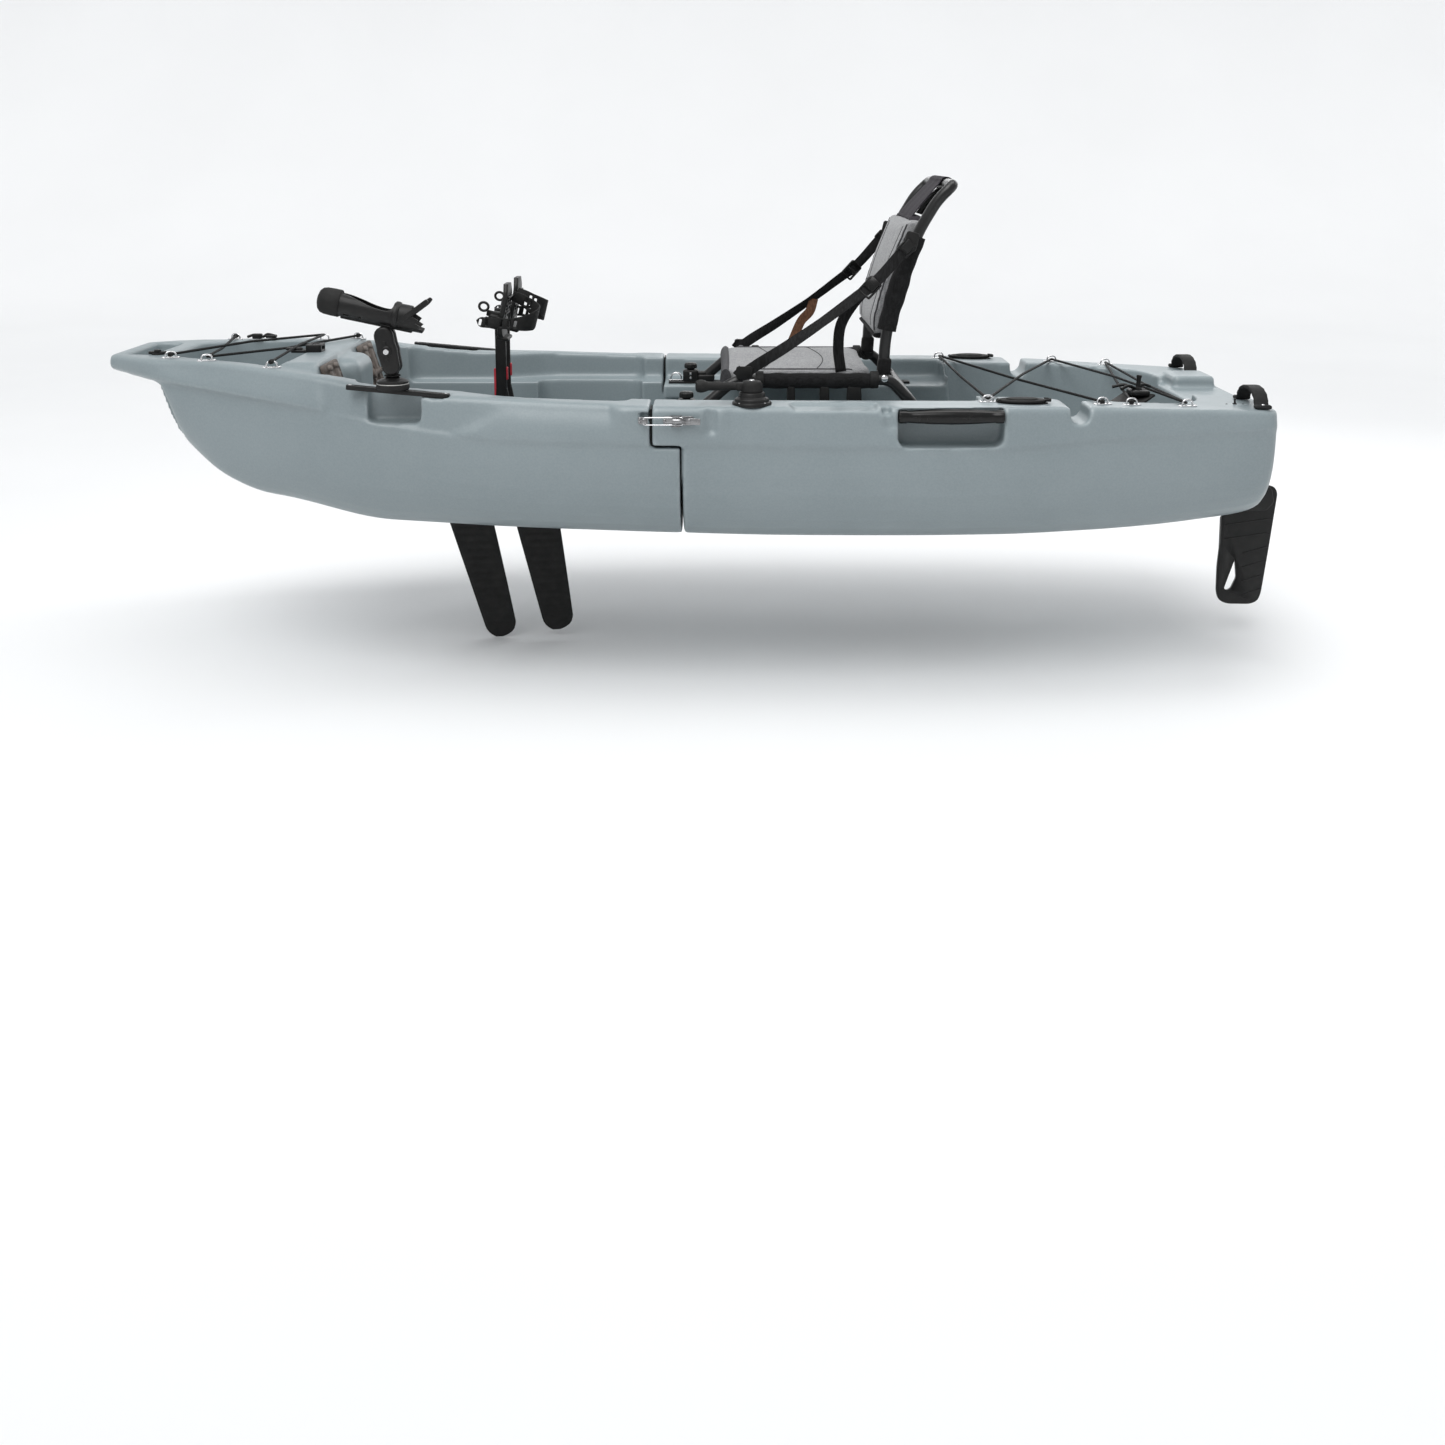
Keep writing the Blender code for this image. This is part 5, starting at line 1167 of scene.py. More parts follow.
def make_pedal(side, word):
    """The arm with its red strips, the curved foot plate, the hub's fittings and the slotted strap."""
    body = f"pedal_{word}"
    low, high = sided(side, 0.0305, 0.0425)
    x = PEDAL_X
    arm = block(f"pedal_mast_{word}", (x - 0.0125, low, 0.150), (x + 0.0125, high, 0.486), 0.0028, 3)
    foot = plate(f"mast_foot_{word}", round_outline([(x - 0.0125, 0.150), (x + 0.0125, 0.150),
                                                     (x + 0.0200, 0.262), (x + 0.0125, 0.300),
                                                     (x - 0.0125, 0.300), (x - 0.0155, 0.262)], 0.004),
                 low + 0.0004, high - 0.0004, "XZ", bevel=0.002)
    hub = lathe(f"pedal_pivot_{word}", [(0, 0.0), (0.019, 0.0), (0.020, 0.001), (0.020, 0.011),
                                        (0.019, 0.012), (0.010, 0.0125), (0.009, 0.0150), (0, 0.0150)],
                (x, side * 0.0305, 0.150), (0, side, 0), 32)
    spindle = lathe(f"pedal_spindle_{word}", [(0, 0.0), (0.0075, 0.0), (0.0075, 0.100), (0.0060, 0.104),
                                              (0, 0.104)], (x, side * 0.036, PEDAL_Z), (0, side, 0), 24)
    cap = block(f"mast_cap_{word}", (x - 0.0150, low - 0.0012, 0.452), (x + 0.0150, high + 0.0012, 0.480),
                0.004)
    place(merged(f"pedal_arm_parts_{word}", [arm, foot, hub, spindle, cap]), "plastic", body,
          f"pedal_arm_{word}")
    strips = []
    for x0, x1, z0, z1 in ((-0.0168, -0.0118, 0.200, 0.345), (0.0118, 0.0158, 0.318, 0.348)):
        strips.append(plate(f"strip_{word}_{x0}", round_outline(rectangle((x + x0, z0), (x + x1, z1)), 0.002,
                                                                3),
                            low + 0.001, high - 0.001, "XZ", bevel=0.0008))
    strips.append(plate(f"strip_flare_{word}", [(x - 0.0225, 0.200), (x - 0.0150, 0.200),
                                                (x - 0.0150, 0.262)],
                        low + 0.001, high - 0.001, "XZ", bevel=0.0006))
    place(merged(f"pedal_red_strips_{word}", strips), "red", body)
    where = (Matrix.Translation((x, side * 0.095, PEDAL_Z)) @ Matrix.Rotation(math.radians(14), 4, "Y"))
    spine = smooth_path([(0.0240, 0, -0.036), (0.0175, 0, -0.020), (0.0145, 0, 0.005), (0.0140, 0, 0.035),
                         (0.0120, 0, 0.062), (0.0060, 0, 0.086)], 5)
    widths = np.interp(np.linspace(0, 1, len(spine)), [0, 0.12, 0.5, 0.85, 1.0],
                       [0.80, 0.97, 1.0, 0.88, 0.62])
    profile = round_outline(rectangle((-0.048, -0.0055), (0.048, 0.0055)), 0.0052, 3)
    pad = sweep(f"foot_plate_{word}", spine, profile, facing=(1, 0, 0))
    for ring, width in zip(np.arange(len(spine)), widths):
        for k in range(len(profile)):
            pad.data.vertices[int(ring) * len(profile) + k].co.y *= width
    slots = [block(f"slot_{k}_{word}", (-0.02, y - 0.011, z - 0.0035), (0.05, y + 0.011, z + 0.0035), 0.002)
             for k, (y, z) in enumerate(((-0.022, 0.012), (0.022, 0.012), (-0.022, 0.030), (0.022, 0.030),
                                         (-0.020, 0.048), (0.020, 0.048)))]
    cut(pad, *slots)
    treads = [block(f"tread_{k}_{word}", (0.0185, -0.036, z - 0.0022), (0.0225, 0.036, z + 0.0022), 0.0012)
              for k, z in enumerate((-0.006, 0.021, 0.039, 0.058))]
    heel = block(f"heel_cup_{word}", (0.012, -0.040, -0.040), (0.040, 0.040, -0.031), 0.004)
    pad = merged(f"foot_plate_{word}", [pad, *treads, heel])
    place(moved(pad, where), "plastic", body, f"pedal_{word}")
    bracket = block(f"hub_block_{word}", (-0.016, -0.038, -0.014), (0.0115, 0.040, 0.014), 0.006)
    arm_low = block(f"hub_arm_{word}", (-0.024, side * 0.030 - 0.005, -0.020),
                    (0.010, side * 0.030 + 0.005, 0.004),
                    0.004)
    arm_high = block(f"hub_lug_{word}", (-0.022, side * 0.030 - 0.004, 0.006),
                     (0.010, side * 0.030 + 0.004, 0.020),
                     0.003)
    ring = sweep(f"loop_{word}", [Vector((-0.030 + 0.0105 * math.cos(a), side * 0.040,
                                          0.026 + 0.0095 * math.sin(a)))
                                  for a in np.arange(24) * math.pi / 12],
                 circle(0.0030, 10), facing=(0, 1, 0), cyclic=True)
    hub = merged(f"pedal_hub_{word}", [bracket, arm_low, arm_high, ring])
    place(moved(hub, where), "plastic", body)
    bolt = screw(f"pedal_bolt_{word}", (0, side * 0.0395, 0), (0, side, 0), 0.0068, 0.0040)
    collar = lathe(f"pedal_collar_{word}", [(0.0066, 0.0), (0.0102, 0.0008), (0.0108, 0.0026),
                                            (0.0096, 0.0044),
                                            (0.0066, 0.0044)], (0, side * 0.0385, 0), (0, side, 0))
    place(moved(bolt, where), "chrome", body)
    place(moved(collar, where), "matt", body)
    points = [(-0.036, 0.0535, -0.010), (-0.014, 0.0550, -0.006), (0.014, 0.0565, -0.001),
              (0.040, 0.0555, 0.004), (0.066, 0.0460, 0.011), (0.084, 0.0240, 0.019), (0.089, -0.002, 0.026),
              (0.084, -0.026, 0.034), (0.064, -0.0445, 0.044), (0.040, -0.0500, 0.052),
              (0.018, -0.0480, 0.056)]
    path = smooth_path([(px, side * py, pz) for px, py, pz in points], 6)
    place_at = np.linspace(0, 1, len(path))
    outward = [Vector((max(p[0] - 0.030, -0.02) * 0.8 if p[0] > 0.03 else 0.0, p[1], 0)) for p in path]
    widths = np.interp(place_at, [0, 0.02, 0.05, 0.30, 0.52, 0.60, 0.85, 1.0],
                       [0.30, 0.78, 0.95, 1.0, 1.95, 1.95, 1.1, 0.9])
    profile = round_outline(rectangle((-0.0125, -0.0016), (0.0125, 0.0016)), 0.0014, 2)
    strap = sweep(f"toe_strap_{word}", path, profile, facing=outward)
    for ring, (spot, width) in enumerate(zip(path, widths)):
        for k in range(len(profile)):
            vertex = strap.data.vertices[ring * len(profile) + k]
            vertex.co.z = spot[2] + (vertex.co.z - spot[2]) * width
            vertex.co.x = spot[0] + (vertex.co.x - spot[0])
    windows = []
    for k, t in enumerate((0.045, 0.105, 0.225, 0.285, 0.345, 0.80, 0.865)):
        spot = path[int(t * (len(path) - 1))]
        windows.append(block(f"window_{k}_{word}", (spot[0] - 0.0032, spot[1] - 0.012, spot[2] - 0.0075),
                             (spot[0] + 0.0032, spot[1] + 0.012, spot[2] + 0.0075), 0.002))
    cut(strap, *windows)
    keeper = block(f"strap_keeper_{word}", (0.004, side * 0.0545 - 0.004, -0.012),
                   (0.015, side * 0.0545 + 0.004, 0.012),
                   0.002)
    strap = merged(f"toe_strap_{word}", [strap, keeper])
    place(moved(strap, where), "rubber", body, f"pedal_strap_{word}")


# Cloth

def puffed(obj, held, pressure, cap, frames=20):
    """Swells a closed mesh with a cloth simulation. held gives how firmly each point is pinned."""
    rest = np.array([vertex.co for vertex in obj.data.vertices])
    group = obj.vertex_groups.new(name="held")
    for vertex in obj.data.vertices:
        weight = held(vertex.co)
        if weight > 0.01:
            group.add([vertex.index], min(weight, 1.0), "REPLACE")
    cloth = obj.modifiers.new("cloth", "CLOTH")
    cloth.settings.quality = 5
    cloth.settings.mass = 0.15
    cloth.settings.tension_stiffness = 12
    cloth.settings.compression_stiffness = 12
    cloth.settings.shear_stiffness = 5
    cloth.settings.bending_stiffness = 0.8
    cloth.settings.use_pressure = True
    cloth.settings.uniform_pressure_force = pressure
    cloth.settings.vertex_group_mass = "held"
    cloth.settings.effector_weights.gravity = 0
    cloth.collision_settings.use_collision = False
    cloth.point_cache.frame_start, cloth.point_cache.frame_end = 1, frames
    scene = bpy.context.scene
    for step in range(1, frames + 1):
        scene.frame_set(step)
        bpy.context.view_layer.update()
    graph = bpy.context.evaluated_depsgraph_get()
    swollen = np.array([vertex.co for vertex in obj.evaluated_get(graph).data.vertices])
    obj.modifiers.clear()
    obj.vertex_groups.clear()
    moves = swollen - rest
    lengths = np.maximum(np.linalg.norm(moves, axis=1), 1e-9)
    moves *= (cap * np.tanh(lengths / cap) / lengths)[:, None]
    obj.data.vertices.foreach_set("co", (rest + moves).ravel())
    scene.frame_set(1)
    return obj


def pad_mesh(obj, voxel=0.006):
    modify(obj, "REMESH", mode="VOXEL", voxel_size=voxel)
    modify(obj, "SMOOTH", factor=0.5, iterations=3)
    return applied(obj)


def finished_pad(obj):
    modify(obj, "SUBSURF", levels=1, render_levels=1)
    applied(obj)
    obj.data.shade_smooth()
    return obj


def near_line(value, line, width):
    """1 on a line, falling to 0 a width away."""
    return max(0.0, 1 - abs(value - line) / width)


def seam(name, pad, starts, direction, radius=0.0011, sink=0.0003):
    """A thin cord laid on a pad's surface below these points."""
    found = []
    for start in starts:
        hit, spot, normal, _ = pad.ray_cast(Vector(start), Vector(direction))
        if hit:
            found.append(spot + normal * (radius * 0.5 - sink))
    return tube(name, found, radius, 8)


# Seat

def seam_x(number, y):
    """Where the cushion's two cross seams run: bowed aft in the middle."""
    return (0.085, 0.205)[number] + 0.030 * math.cos(math.pi * y / 0.46)


def make_cushion():
    outline = round_outline(symmetric([(0.008, 0.204), (0.026, 0.222), (0.290, 0.222), (0.334, 0.178)]),
                            0.018)
    cushion = plate("seat_pad", outline, 0.3235, 0.3650, bevel=0.006, segments=3)
    pad_mesh(cushion)

    def held(spot):
        if spot.z < 0.330:
            return 1.0
        channel = max(near_line(spot.x, seam_x(k, spot.y), 0.009) for k in (0, 1))
        border = max(near_line(abs(spot.y), 0.209, 0.007), near_line(spot.x, 0.020, 0.006))
        return max(channel, 0.7 * border)

    puffed(cushion, held, 4.5, 0.0105)
    finished_pad(cushion)
    place(cushion, "grey", "seat", "seat_cushion")
    for number in (0, 1):
        starts = [(seam_x(number, y), y, 0.40) for y in np.linspace(-0.205, 0.205, 42)]
        place(seam(f"cushion_seam_{number}", cushion, starts, (0, 0, -1)), "seam", "seat")
    for side, word in SIDES:
        starts = [(x, side * 0.209, 0.40) for x in np.linspace(0.035, 0.290, 30)]
        place(seam(f"cushion_welt_{word}", cushion, starts, (0, 0, -1), 0.0016, 0), "seam", "seat")
    roll = [Vector((0.0070 + 0.002 * math.cos(7 * y), y, 0.3445)) for y in np.linspace(-0.2195, 0.2195, 30)]
    profile = [(0.0125 * math.cos(a), 0.0225 * math.sin(a)) for a in np.arange(20) * math.pi / 10]
    place(sweep("cushion_front_roll", roll, profile, facing=(0, 0, 1)), "seam", "seat")


def make_seat_frame():
    """Black front legs and side tubes, a black rear bow, and fabric sleeves with end collars."""
    foot_z = RAIL_TOP + 0.0004 + TUBE_R
    for side, word in SIDES:
        leg = turned_corners([(-0.040, side * RAIL_Y, foot_z), (0.026, side * SEAT_TUBE_Y, 0.3465),
                              (0.110, side * SEAT_TUBE_Y, 0.3465)], 0.030, 8)
        leg = tube(f"seat_leg_{word}", leg, TUBE_R, 28)
        place(leg, "tube", "seat", *(["seat_frame"] if side < 0 else []))
        path = [Vector((x, side * SEAT_TUBE_Y, 0.3442)) for x in np.linspace(0.086, 0.340, 40)]
        wrinkle = [1 + 0.05 * math.sin(41 * p.x * 3 + side) * math.sin(17 * p.x) for p in path]
        profile = [(0.0160 * math.cos(a), 0.0172 * math.sin(a)) for a in np.arange(28) * math.pi / 14]
        sleeve = sweep(f"seat_sleeve_{word}", path, profile, facing=(0, 0, 1), scale=wrinkle)
        place(sleeve, "black_cloth", "seat")
        for end, x in (("fore", 0.082), ("aft", 0.336)):
            collar = lathe(f"seat_collar_{word}_{end}", [(TUBE_R, -0.009), (0.0185, -0.009), (0.0195, -0.007),
                                                         (0.0195, 0.007), (0.0185, 0.009), (TUBE_R, 0.009)],
                           (x, side * SEAT_TUBE_Y, 0.3465), (1, 0, 0), 36)
            place(collar, "rubber", "seat")
        for number, (x, width) in enumerate(((0.152, 0.020), (0.226, 0.024), (0.292, 0.036))):
            post = plate(f"seat_post_{word}_{number}", round_outline(
                [(x - width / 2, RAIL_TOP + 0.0006), (x + width / 2, RAIL_TOP + 0.0006),
                 (x + width * 0.42, 0.333), (x - width * 0.42, 0.333)], 0.004),
                *sided(side, 0.2330, 0.2560), "XZ", bevel=0.0025)
            place(post, "plastic", "seat")
        bolt = lathe(f"seat_front_bolt_{word}", [(0, 0.0), (0.0050, 0.0), (0.0050, 0.0160), (0.0085, 0.0162),
                                                 (0.0082, 0.0185), (0.0060, 0.0205), (0, 0.0212)],
                     (0.046, side * SEAT_TUBE_Y, 0.3560), (0, side, 0), 28)
        place(bolt, "chrome", "seat")
        foot = block(f"seat_foot_{word}", (-0.062, side * RAIL_Y - 0.0165, RAIL_TOP + 0.0006),
                     (-0.020, side * RAIL_Y + 0.0165, 0.2925), 0.004)
        place(foot, "plastic", "seat")
    rear = [(0.330, -SEAT_TUBE_Y, 0.3465), (0.372, -SEAT_TUBE_Y, 0.3465), (0.425, -SEAT_TUBE_Y, foot_z)]
    rear = turned_corners(rear + [(x, -y, z) for x, y, z in reversed(rear)], 0.030, 8)
    place(tube("seat_rear_bow", rear, TUBE_R, 28), "tube", "seat")


def make_seat_clamp(side, word):
    """The clamp block that grips the rail, and its fluted knob."""
    x, y = -0.080, side * RAIL_Y
    clamp = block(f"clamp_block_{word}", (x - 0.019, y - 0.018, RAIL_TOP + 0.0006),
                  (x + 0.019, y + 0.018, 0.304), 0.0035)
    ear = block(f"clamp_ear_{word}", (x + 0.015, y - 0.012, 0.283), (x + 0.040, y + 0.012, 0.300), 0.004)
    place(merged(f"clamp_block_{word}", [clamp, ear]), "plastic", "seat", f"seat_clamp_{word}")
    for number, dy in enumerate((-0.010, 0.010)):
        place(screw(f"clamp_screw_{word}_{number}", (x, y + side * -0.0179, 0.290 + dy * 0.5), (0, -side, 0),
                    0.0032, 0.0012), "steel", "seat")
    knob = lathe(f"clamp_knob_{word}", [(0, 0.321), (0.0115, 0.321), (0.0145, 0.3195), (0.0162, 0.317),
                                        (0.0165, 0.310), (0.0150, 0.3078), (0.0095, 0.3070),
                                        (0.0090, 0.3046), (0, 0.3046)], (x, y, 0), segments=60)
    for vertex in knob.data.vertices:
        spoke = math.atan2(vertex.co.y - y, vertex.co.x - x)
        radius = math.hypot(vertex.co.y - y, vertex.co.x - x)
        if radius > 0.013 and vertex.co.z > 0.308:
            shrink = 1 - 0.06 * (0.5 + 0.5 * math.cos(10 * spoke))
            vertex.co.x, vertex.co.y = x + (vertex.co.x - x) * shrink, y + (vertex.co.y - y) * shrink
    place(knob, "plastic", f"seat_knob_{word}", f"seat_knob_{word}")
    cap = lathe(f"knob_cap_{word}", [(0, 0.3218), (0.006, 0.3216), (0.0072, 0.3208), (0.0072, 0.320),
                                     (0, 0.320)],
                (x, y, 0))
    place(cap, "gloss", f"seat_knob_{word}")


def make_seat_rail(side, word):
    low, high = sided(side, RAIL_Y - 0.015, RAIL_Y + 0.015)
    rail = block(f"rail_bar_{word}", (-0.135, low, LEDGE_Z - 0.001), (0.470, high, RAIL_TOP), 0.0015, 2)
    cut(rail, block("rail_groove", (-0.122, low + 0.011, RAIL_TOP - 0.003), (0.457, high - 0.011, 0.30)))
    place(rail, "plastic", "hull", f"seat_rail_{word}")
    for number, x in enumerate((-0.128, 0.0, 0.13, 0.39, 0.464)):
        place(screw(f"rail_bar_screw_{word}_{number}", (x, side * RAIL_Y,
                                                        RAIL_TOP - (0.0012 if number in (0, 4)
              else 0.0030)), (0, 0, 1), 0.0034, 0.0010), "steel", "hull")


def make_ledge_ring():
    """The D-ring on its plate on the far ledge."""
    arc = [Vector((-0.118 + 0.013 * math.cos(a), 0.302, 0.2755 + 0.013 * math.sin(a)))
           for a in np.linspace(0, math.pi, 16)]
    ring = tube("ledge_ring", [Vector((-0.105, 0.302, 0.272))] + arc + [Vector((-0.131, 0.302, 0.272))],
                0.0022, 12)
    base = plate("ledge_ring_base", round_outline(rectangle((-0.140, 0.294), (-0.096, 0.310)), 0.0078, 4),
                 0.2695, 0.2722, bevel=0.0006)
    place(merged("ledge_ring", [ring, base]), "chrome", "hull")


# Backrest

BACK_HEIGHTS = (0.351, 0.445, 0.560, 0.670, 0.740, 0.772)
BACK_PLACES = (0.358, 0.363, 0.392, 0.430, 0.472, 0.505)


def back_line(z):
    return float(np.interp(z, BACK_HEIGHTS, BACK_PLACES))


def back_tube(low, high, side, steps):
    spine = smooth_path([(x, side * BACK_TUBE_Y, z) for x, z in zip(BACK_PLACES, BACK_HEIGHTS)], 12)
    return [p for p in spine if low <= p[2] <= high][::steps]


def make_backrest_frame():
    half = [(x, -BACK_TUBE_Y, z) for x, z in zip(BACK_PLACES, BACK_HEIGHTS)]
    corners = half + [(x, -y, z) for x, y, z in reversed(half)]
    place(tube("back_tube", turned_corners(corners, 0.036, 8), TUBE_R, 28), "tube", "backrest", "back_frame")
    for side, word in SIDES:
        path = back_tube(0.449, 0.668, side, 1)
        profile = [(0.0190 * math.cos(a), 0.0215 * math.sin(a)) for a in np.arange(28) * math.pi / 14]
        scale = [1 + 0.05 * math.sin(61 * p[2]) + 0.03 * math.sin(150 * p[2] + side) for p in path]
        place(sweep(f"back_sleeve_{word}", path, profile, facing=(1, 0, 0), scale=scale), "black_cloth",
              "backrest")
        low = lathe(f"back_hinge_{word}", [(0, 0.0), (0.0175, 0.0), (0.019, 0.0015), (0.019, 0.009),
                                           (0.0175, 0.0105), (0.009, 0.0105), (0.0085, 0.0150), (0, 0.0158)],
                    (HINGE.x, side * (BACK_TUBE_Y + 0.0130), HINGE.z), (0, -side, 0), 32)
        place(low, "plastic", "backrest")
        pin = lathe(f"hinge_bolt_{word}", [(0, 0.0), (0.0050, 0.0), (0.0050, 0.0205), (0.0078, 0.0205),
                                           (0.0075, 0.0228), (0.005, 0.0245), (0, 0.0250)],
                    (HINGE.x, side * (BACK_TUBE_Y + 0.024), HINGE.z), (0, side, 0), 24)
        place(pin, "chrome", "seat")
        shoe = plate(f"back_shoe_{word}", round_outline([(0.344, 0.352), (0.374, 0.352), (0.3765, 0.392),
                                                         (0.3470, 0.392)], 0.008),
                     *sided(side, BACK_TUBE_Y - 0.0148, BACK_TUBE_Y + 0.0148), "XZ", bevel=0.006, segments=3)
        place(shoe, "black_cloth", "backrest")
        plug = lathe(f"strap_boss_{word}", [(TUBE_R - 0.003, 0.0), (0.0105, 0.0), (0.0110, 0.012),
                                            (0.0090, 0.0150), (0, 0.0150)],
                     (0.411, side * BACK_TUBE_Y, 0.649), (0, side, 0), 24)
        place(plug, "plastic", "backrest")


def make_back_pad():
    face = [(back_line(0.440) - 0.024, 0.440)] + [(back_line(z) - 0.034, z) for z in (0.475, 0.53, 0.60,
            0.693)]
    rear = [(back_line(z) + 0.001, z) for z in (0.693, 0.600, 0.510, 0.440)]
    pad = plate("back_panel", round_outline(face + rear, 0.008, 3), -0.190, 0.190, "XZ", bevel=0.006)
    pad_mesh(pad)

    def held(spot):
        depth = spot.x - back_line(spot.z)
        if depth > -0.012:
            return 1.0
        lines = [near_line(spot.z, 0.535 + 0.020 * math.cos(math.pi * spot.y / 0.38), 0.009),
                 near_line(abs(spot.y), 0.115 + 0.15 * (spot.z - 0.44), 0.009)]
        return max(lines)

    puffed(pad, held, 4.0, 0.0085)
    finished_pad(pad)
    paint(pad, "grey")
    pad.data.materials.append(MATERIALS["black_cloth"][0])
    for polygon in pad.data.polygons:
        if polygon.normal.x > 0.35:
            polygon.material_index = 1
    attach(pad, "backrest")
    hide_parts("back_pad")
    cross = [(0.20, y, 0.535 + 0.020 * math.cos(math.pi * y / 0.38)) for y in np.linspace(-0.175, 0.175, 36)]
    place(seam("back_seam_cross", pad, cross, (1, 0, 0)), "seam", "backrest")
    for side, word in SIDES:
        rise = [(0.20, side * (0.115 + 0.15 * (z - 0.44)), z) for z in np.linspace(0.455, 0.68, 26)]
        place(seam(f"back_seam_{word}", pad, rise, (1, 0, 0)), "seam", "backrest")
        edge = [(0.20, side * 0.186, z) for z in np.linspace(0.450, 0.685, 26)]
        place(seam(f"back_welt_{word}", pad, edge, (1, 0, 0), 0.0019, 0), "seam", "backrest")
    top = [Vector((back_line(0.693) - 0.017 + 0.012 * math.cos(2 * math.pi * y), y,
                   0.6955 - 0.030 * (1 - min(1.0, (0.20 - abs(y)) / 0.07)))) for y in
           np.linspace(-0.186, 0.186, 40)]
    profile = [(0.0165 * math.cos(a), 0.0060 * math.sin(a)) for a in np.arange(16) * math.pi / 8]
    place(sweep("back_top_binding", top, profile, facing=(0, 0, 1)), "plum_cloth", "backrest")
    low = [Vector((back_line(0.44) - 0.012, y, 0.4385)) for y in np.linspace(-0.188, 0.188, 30)]
    profile = [(0.0140 * math.cos(a), 0.0060 * math.sin(a)) for a in np.arange(16) * math.pi / 8]
    place(sweep("back_low_binding", low, profile, facing=(0, 0, 1)), "black_cloth", "backrest")


def make_head_patch():
    """A patch of cloth from the pad's top, round the hooked top tube and down behind."""
    top = Vector((0.505, 0, 0.772))
    wrap = 0.0152
    front = [(0.418, 0.664), (0.4215, 0.690), (0.438, 0.716), (0.462, 0.744)]
    over = [(top.x + wrap * math.cos(a), top.z + wrap * math.sin(a))
            for a in np.radians([165, 140, 115, 90, 65, 40, 15, -10, -35])]
    behind = [(0.497, 0.745), (0.478, 0.722), (0.462, 0.700)]
    line = [Vector((x, 0, z)) for x, z in front + over + behind]
    path = smooth_path(line, 4)
    lengths = np.cumsum([0] + [float(np.linalg.norm(b - a)) for a, b in zip(path, path[1:])])
    widths = np.interp(lengths / lengths[-1], [0, 0.12, 0.4, 0.75, 1.0], [0.118, 0.128, 0.108, 0.110, 0.104])
    bm = bmesh.new()
    rows = []
    for spot, half in zip(path, widths):
        row = []
        for part in np.linspace(-1, 1, 25):
            ripple = 0.0006 * math.sin(9 * part + 40 * spot[2])
            row.append(bm.verts.new((spot[0] + ripple, half * part, spot[2])))
        rows.append(row)
    for first, second in zip(rows, rows[1:]):
        for k in range(24):
            bm.faces.new((first[k], first[k + 1], second[k + 1], second[k]))
    area = sum(face.calc_area() for face in bm.faces)
    patch = from_bmesh("head_patch", bm)
    modify(patch, "SOLIDIFY", thickness=0.0018, offset=0.0)
    applied(patch)
    place(patch, "plum_cloth", "backrest")


def strap_between(name, points, facings, width=0.025, thickness=0.0016, per=6):
    path = smooth_path(points, per)
    marks = np.linspace(0, len(facings) - 1, len(path))
    faces = [Vector(facings[int(m)]).lerp(Vector(facings[min(int(m) + 1, len(facings) - 1)]), m - int(m))
             for m in marks]
    return sweep(name, path, flat(width, thickness), facing=faces)


def buckle(name, spot, along, out, width=0.034, length=0.044):
    """A ladder buckle: a frame with two bars and a tongue."""
    ring = plate(name, round_outline(rectangle((-length / 2, -width / 2), (length / 2, width / 2)), 0.005),
                 -0.0035,
                 0.0035, bevel=0.0016)
    cut(ring, *[plate(f"window_{x}", round_outline(rectangle((x - 0.0052, -width / 2 + 0.0042),
                                                             (x + 0.0052, width / 2 - 0.0042)), 0.002),
                      -0.01, 0.01) for x in (-0.012, 0.009)])
    tongue = block(f"{name}_tongue", (-0.004, -width / 2 + 0.0045, 0.001),
                   (0.023, width / 2 - 0.0045, 0.0065),
                   0.0022)
    made = merged(name, [ring, tongue])
    along, out = Vector(along).normalized(), Vector(out).normalized()
    across = out.cross(along).normalized()
    out = along.cross(across)
    turn = Matrix((along, across, out)).transposed().to_4x4()
    return moved(made, Matrix.Translation(spot) @ turn)


